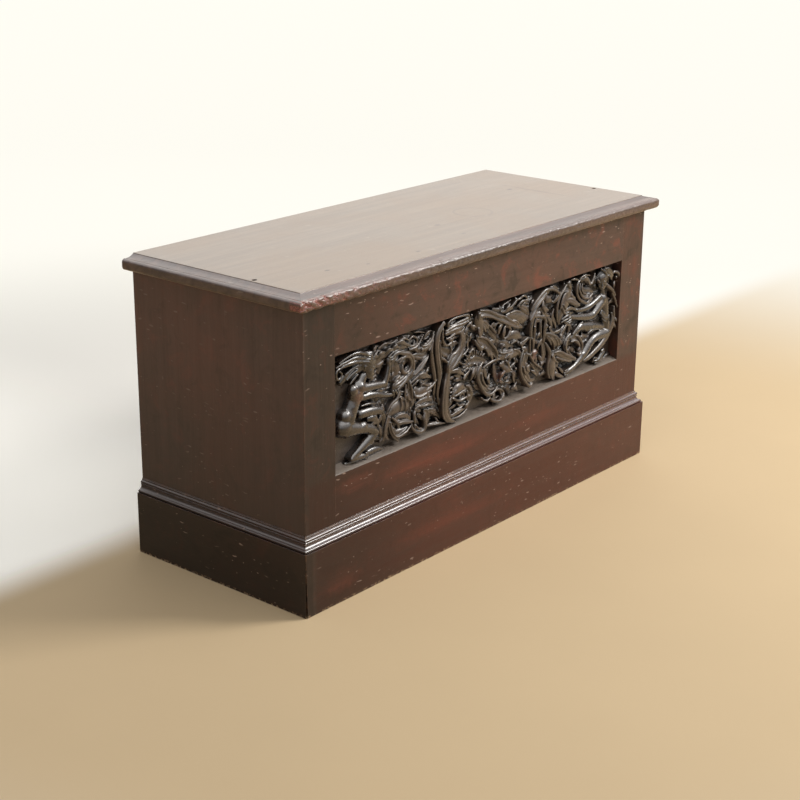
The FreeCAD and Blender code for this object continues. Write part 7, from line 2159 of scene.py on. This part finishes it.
class CHEST_OT_studio(bpy.types.Operator):
    """Sets out the plain floor, the soft lights and the camera"""

    bl_idname = "chest.studio"
    bl_label = "Set out studio"

    def execute(self, context):
        settings = context.scene.chest_studio
        scene = context.scene
        scene.view_settings.view_transform = "Standard"
        bpy.ops.object.select_all(action="DESELECT")
        bpy.ops.mesh.primitive_plane_add(size=30, location=(0, 0, -0.0005))
        floor = bpy.context.active_object
        floor.name = "studio_floor"
        bpy.ops.object.transform_apply(location=True, rotation=True, scale=True)
        floor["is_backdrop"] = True
        material, tree, shader = new_material("Plain floor")
        place = tree.nodes.new("ShaderNodeTexCoord").outputs["Object"]
        cloudy = put(tree, "TexNoise", i0=place, Scale=2.5, Detail=4.0)
        colour = tuple(settings.floor_colour)
        tone = mixed(
            tree, cloudy.outputs[0], [0.96 * part for part in colour], [1.04 * part for part in colour],
        )
        away = put(tree, "VectorMath", {"operation": "LENGTH"}, i0=place)
        far = spread(tree, away.outputs["Value"], *FLOOR_FADE)
        path = tree.nodes.new("ShaderNodeLightPath")
        parts = tree.nodes.new("ShaderNodeSeparateXYZ")
        tree.links.new(place, parts.inputs[0])
        behind = spread(tree, parts.outputs[1], *PALE_FLOOR_Y)
        pale = maths(tree, "MULTIPLY", behind, path.outputs["Is Camera Ray"])
        tone = mixed(tree, pale, tone, PALE_FLOOR_COLOUR)
        bleached = maths(tree, "MULTIPLY", far, path.outputs["Is Camera Ray"])
        # Painted light: a camera-only glow on the pale floor at the back left that lightens the chest's
        # shadow there.
        shadow_lifting_glow = maths(
            tree, "MULTIPLY", maths(tree, "MULTIPLY", pale, spread(tree, parts.outputs[0], 0.2, -0.6)),
            0.32,
        )
        glow = maths(tree, "MULTIPLY_ADD", shadow_lifting_glow, maths(tree, "SUBTRACT", 1.0, bleached), bleached)
        tone = mixed(tree, bleached, tone, (0.0, 0.0, 0.0))
        tree.links.new(tone, shader.inputs["Base Color"])
        tree.links.new(glow, shader.inputs["Emission Strength"])
        shader.inputs["Emission Color"].default_value = FAR_FLOOR_COLOUR
        shader.inputs["Roughness"].default_value = 0.85
        clothe(floor, material)
        self.make_world(scene, settings)
        for name, place, aim, size, share, colour in LIGHTS:
            aimed_light(name, place, aim, size, share * settings.key_power, colour)
        bpy.ops.object.camera_add(location=CAMERA_PLACE, rotation=camera_turn())
        camera = bpy.context.active_object
        camera.name = "photo_camera"
        camera.data.lens = settings.lens
        camera.data.sensor_width = 36
        scene.camera = camera
        return {"FINISHED"}

    @staticmethod
    def make_world(scene, settings):
        """Even light all round, and a white surrounding for the camera and for reflections."""
        world = bpy.data.worlds.new("Studio")
        scene.world = world
        world.use_nodes = True
        tree = world.node_tree
        background = tree.nodes["Background"]
        path = tree.nodes.new("ShaderNodeLightPath")
        ways = tree.nodes.new("ShaderNodeSeparateXYZ")
        tree.links.new(tree.nodes.new("ShaderNodeTexCoord").outputs["Generated"], ways.inputs[0])
        ceiling = spread(tree, ways.outputs[2], 0.42, 0.60, 0.0, 2.3)
        low = maths(
            tree, "MULTIPLY", spread(tree, ways.outputs[1], -0.25, -0.6),
            spread(tree, ways.outputs[2], 0.0, 0.1),
        )
        room = maths(tree, "ADD", ceiling, maths(tree, "MULTIPLY_ADD", low, 1.0, 0.05))
        mirrored = maths(tree, "MULTIPLY_ADD", path.outputs["Is Glossy Ray"], room, settings.sky)
        seen = maths(tree, "MULTIPLY", path.outputs["Is Camera Ray"], 0.95)
        strength = maths(tree, "MAXIMUM", seen, mirrored)
        background.inputs["Color"].default_value = (1.0, 0.995, 0.985, 1.0)
        tree.links.new(strength, background.inputs["Strength"])


class CHEST_PT_panel(bpy.types.Panel):
    """Lists the steps that dress the chest"""

    bl_idname = "CHEST_PT_panel"
    bl_label = "Carved chest"
    bl_space_type = "VIEW_3D"
    bl_region_type = "UI"
    bl_category = "Chest"

    def draw(self, context):
        scene = context.scene
        for settings in (scene.chest_carving, scene.chest_lid, scene.chest_finish, scene.chest_studio):
            box = self.layout.box()
            for name in settings.__annotations__:
                box.prop(settings, name)
        for step in STEPS:
            self.layout.operator(step.bl_idname)


STEPS = (CHEST_OT_ground, CHEST_OT_carving, CHEST_OT_lid_edge, CHEST_OT_finishes, CHEST_OT_studio)
SETTINGS = {
    "chest_carving": ChestCarving,
    "chest_lid": ChestLid,
    "chest_finish": ChestFinish,
    "chest_studio": ChestStudio,
}


def register():
    for name, group in SETTINGS.items():
        bpy.utils.register_class(group)
        setattr(bpy.types.Scene, name, bpy.props.PointerProperty(type=group))
    for step in STEPS + (CHEST_PT_panel,):
        bpy.utils.register_class(step)


def unregister():
    for step in reversed(STEPS + (CHEST_PT_panel,)):
        bpy.utils.unregister_class(step)
    for name, group in SETTINGS.items():
        delattr(bpy.types.Scene, name)
        bpy.utils.unregister_class(group)


def main():
    register()
    bpy.ops.object.select_all(action="DESELECT")
    bpy.ops.chest.ground()
    bpy.ops.chest.carving()
    bpy.ops.chest.lid_edge()
    bpy.ops.chest.finishes()
    bpy.ops.chest.studio()
    bpy.context.view_layer.update()


if __name__ == "__main__":
    main()
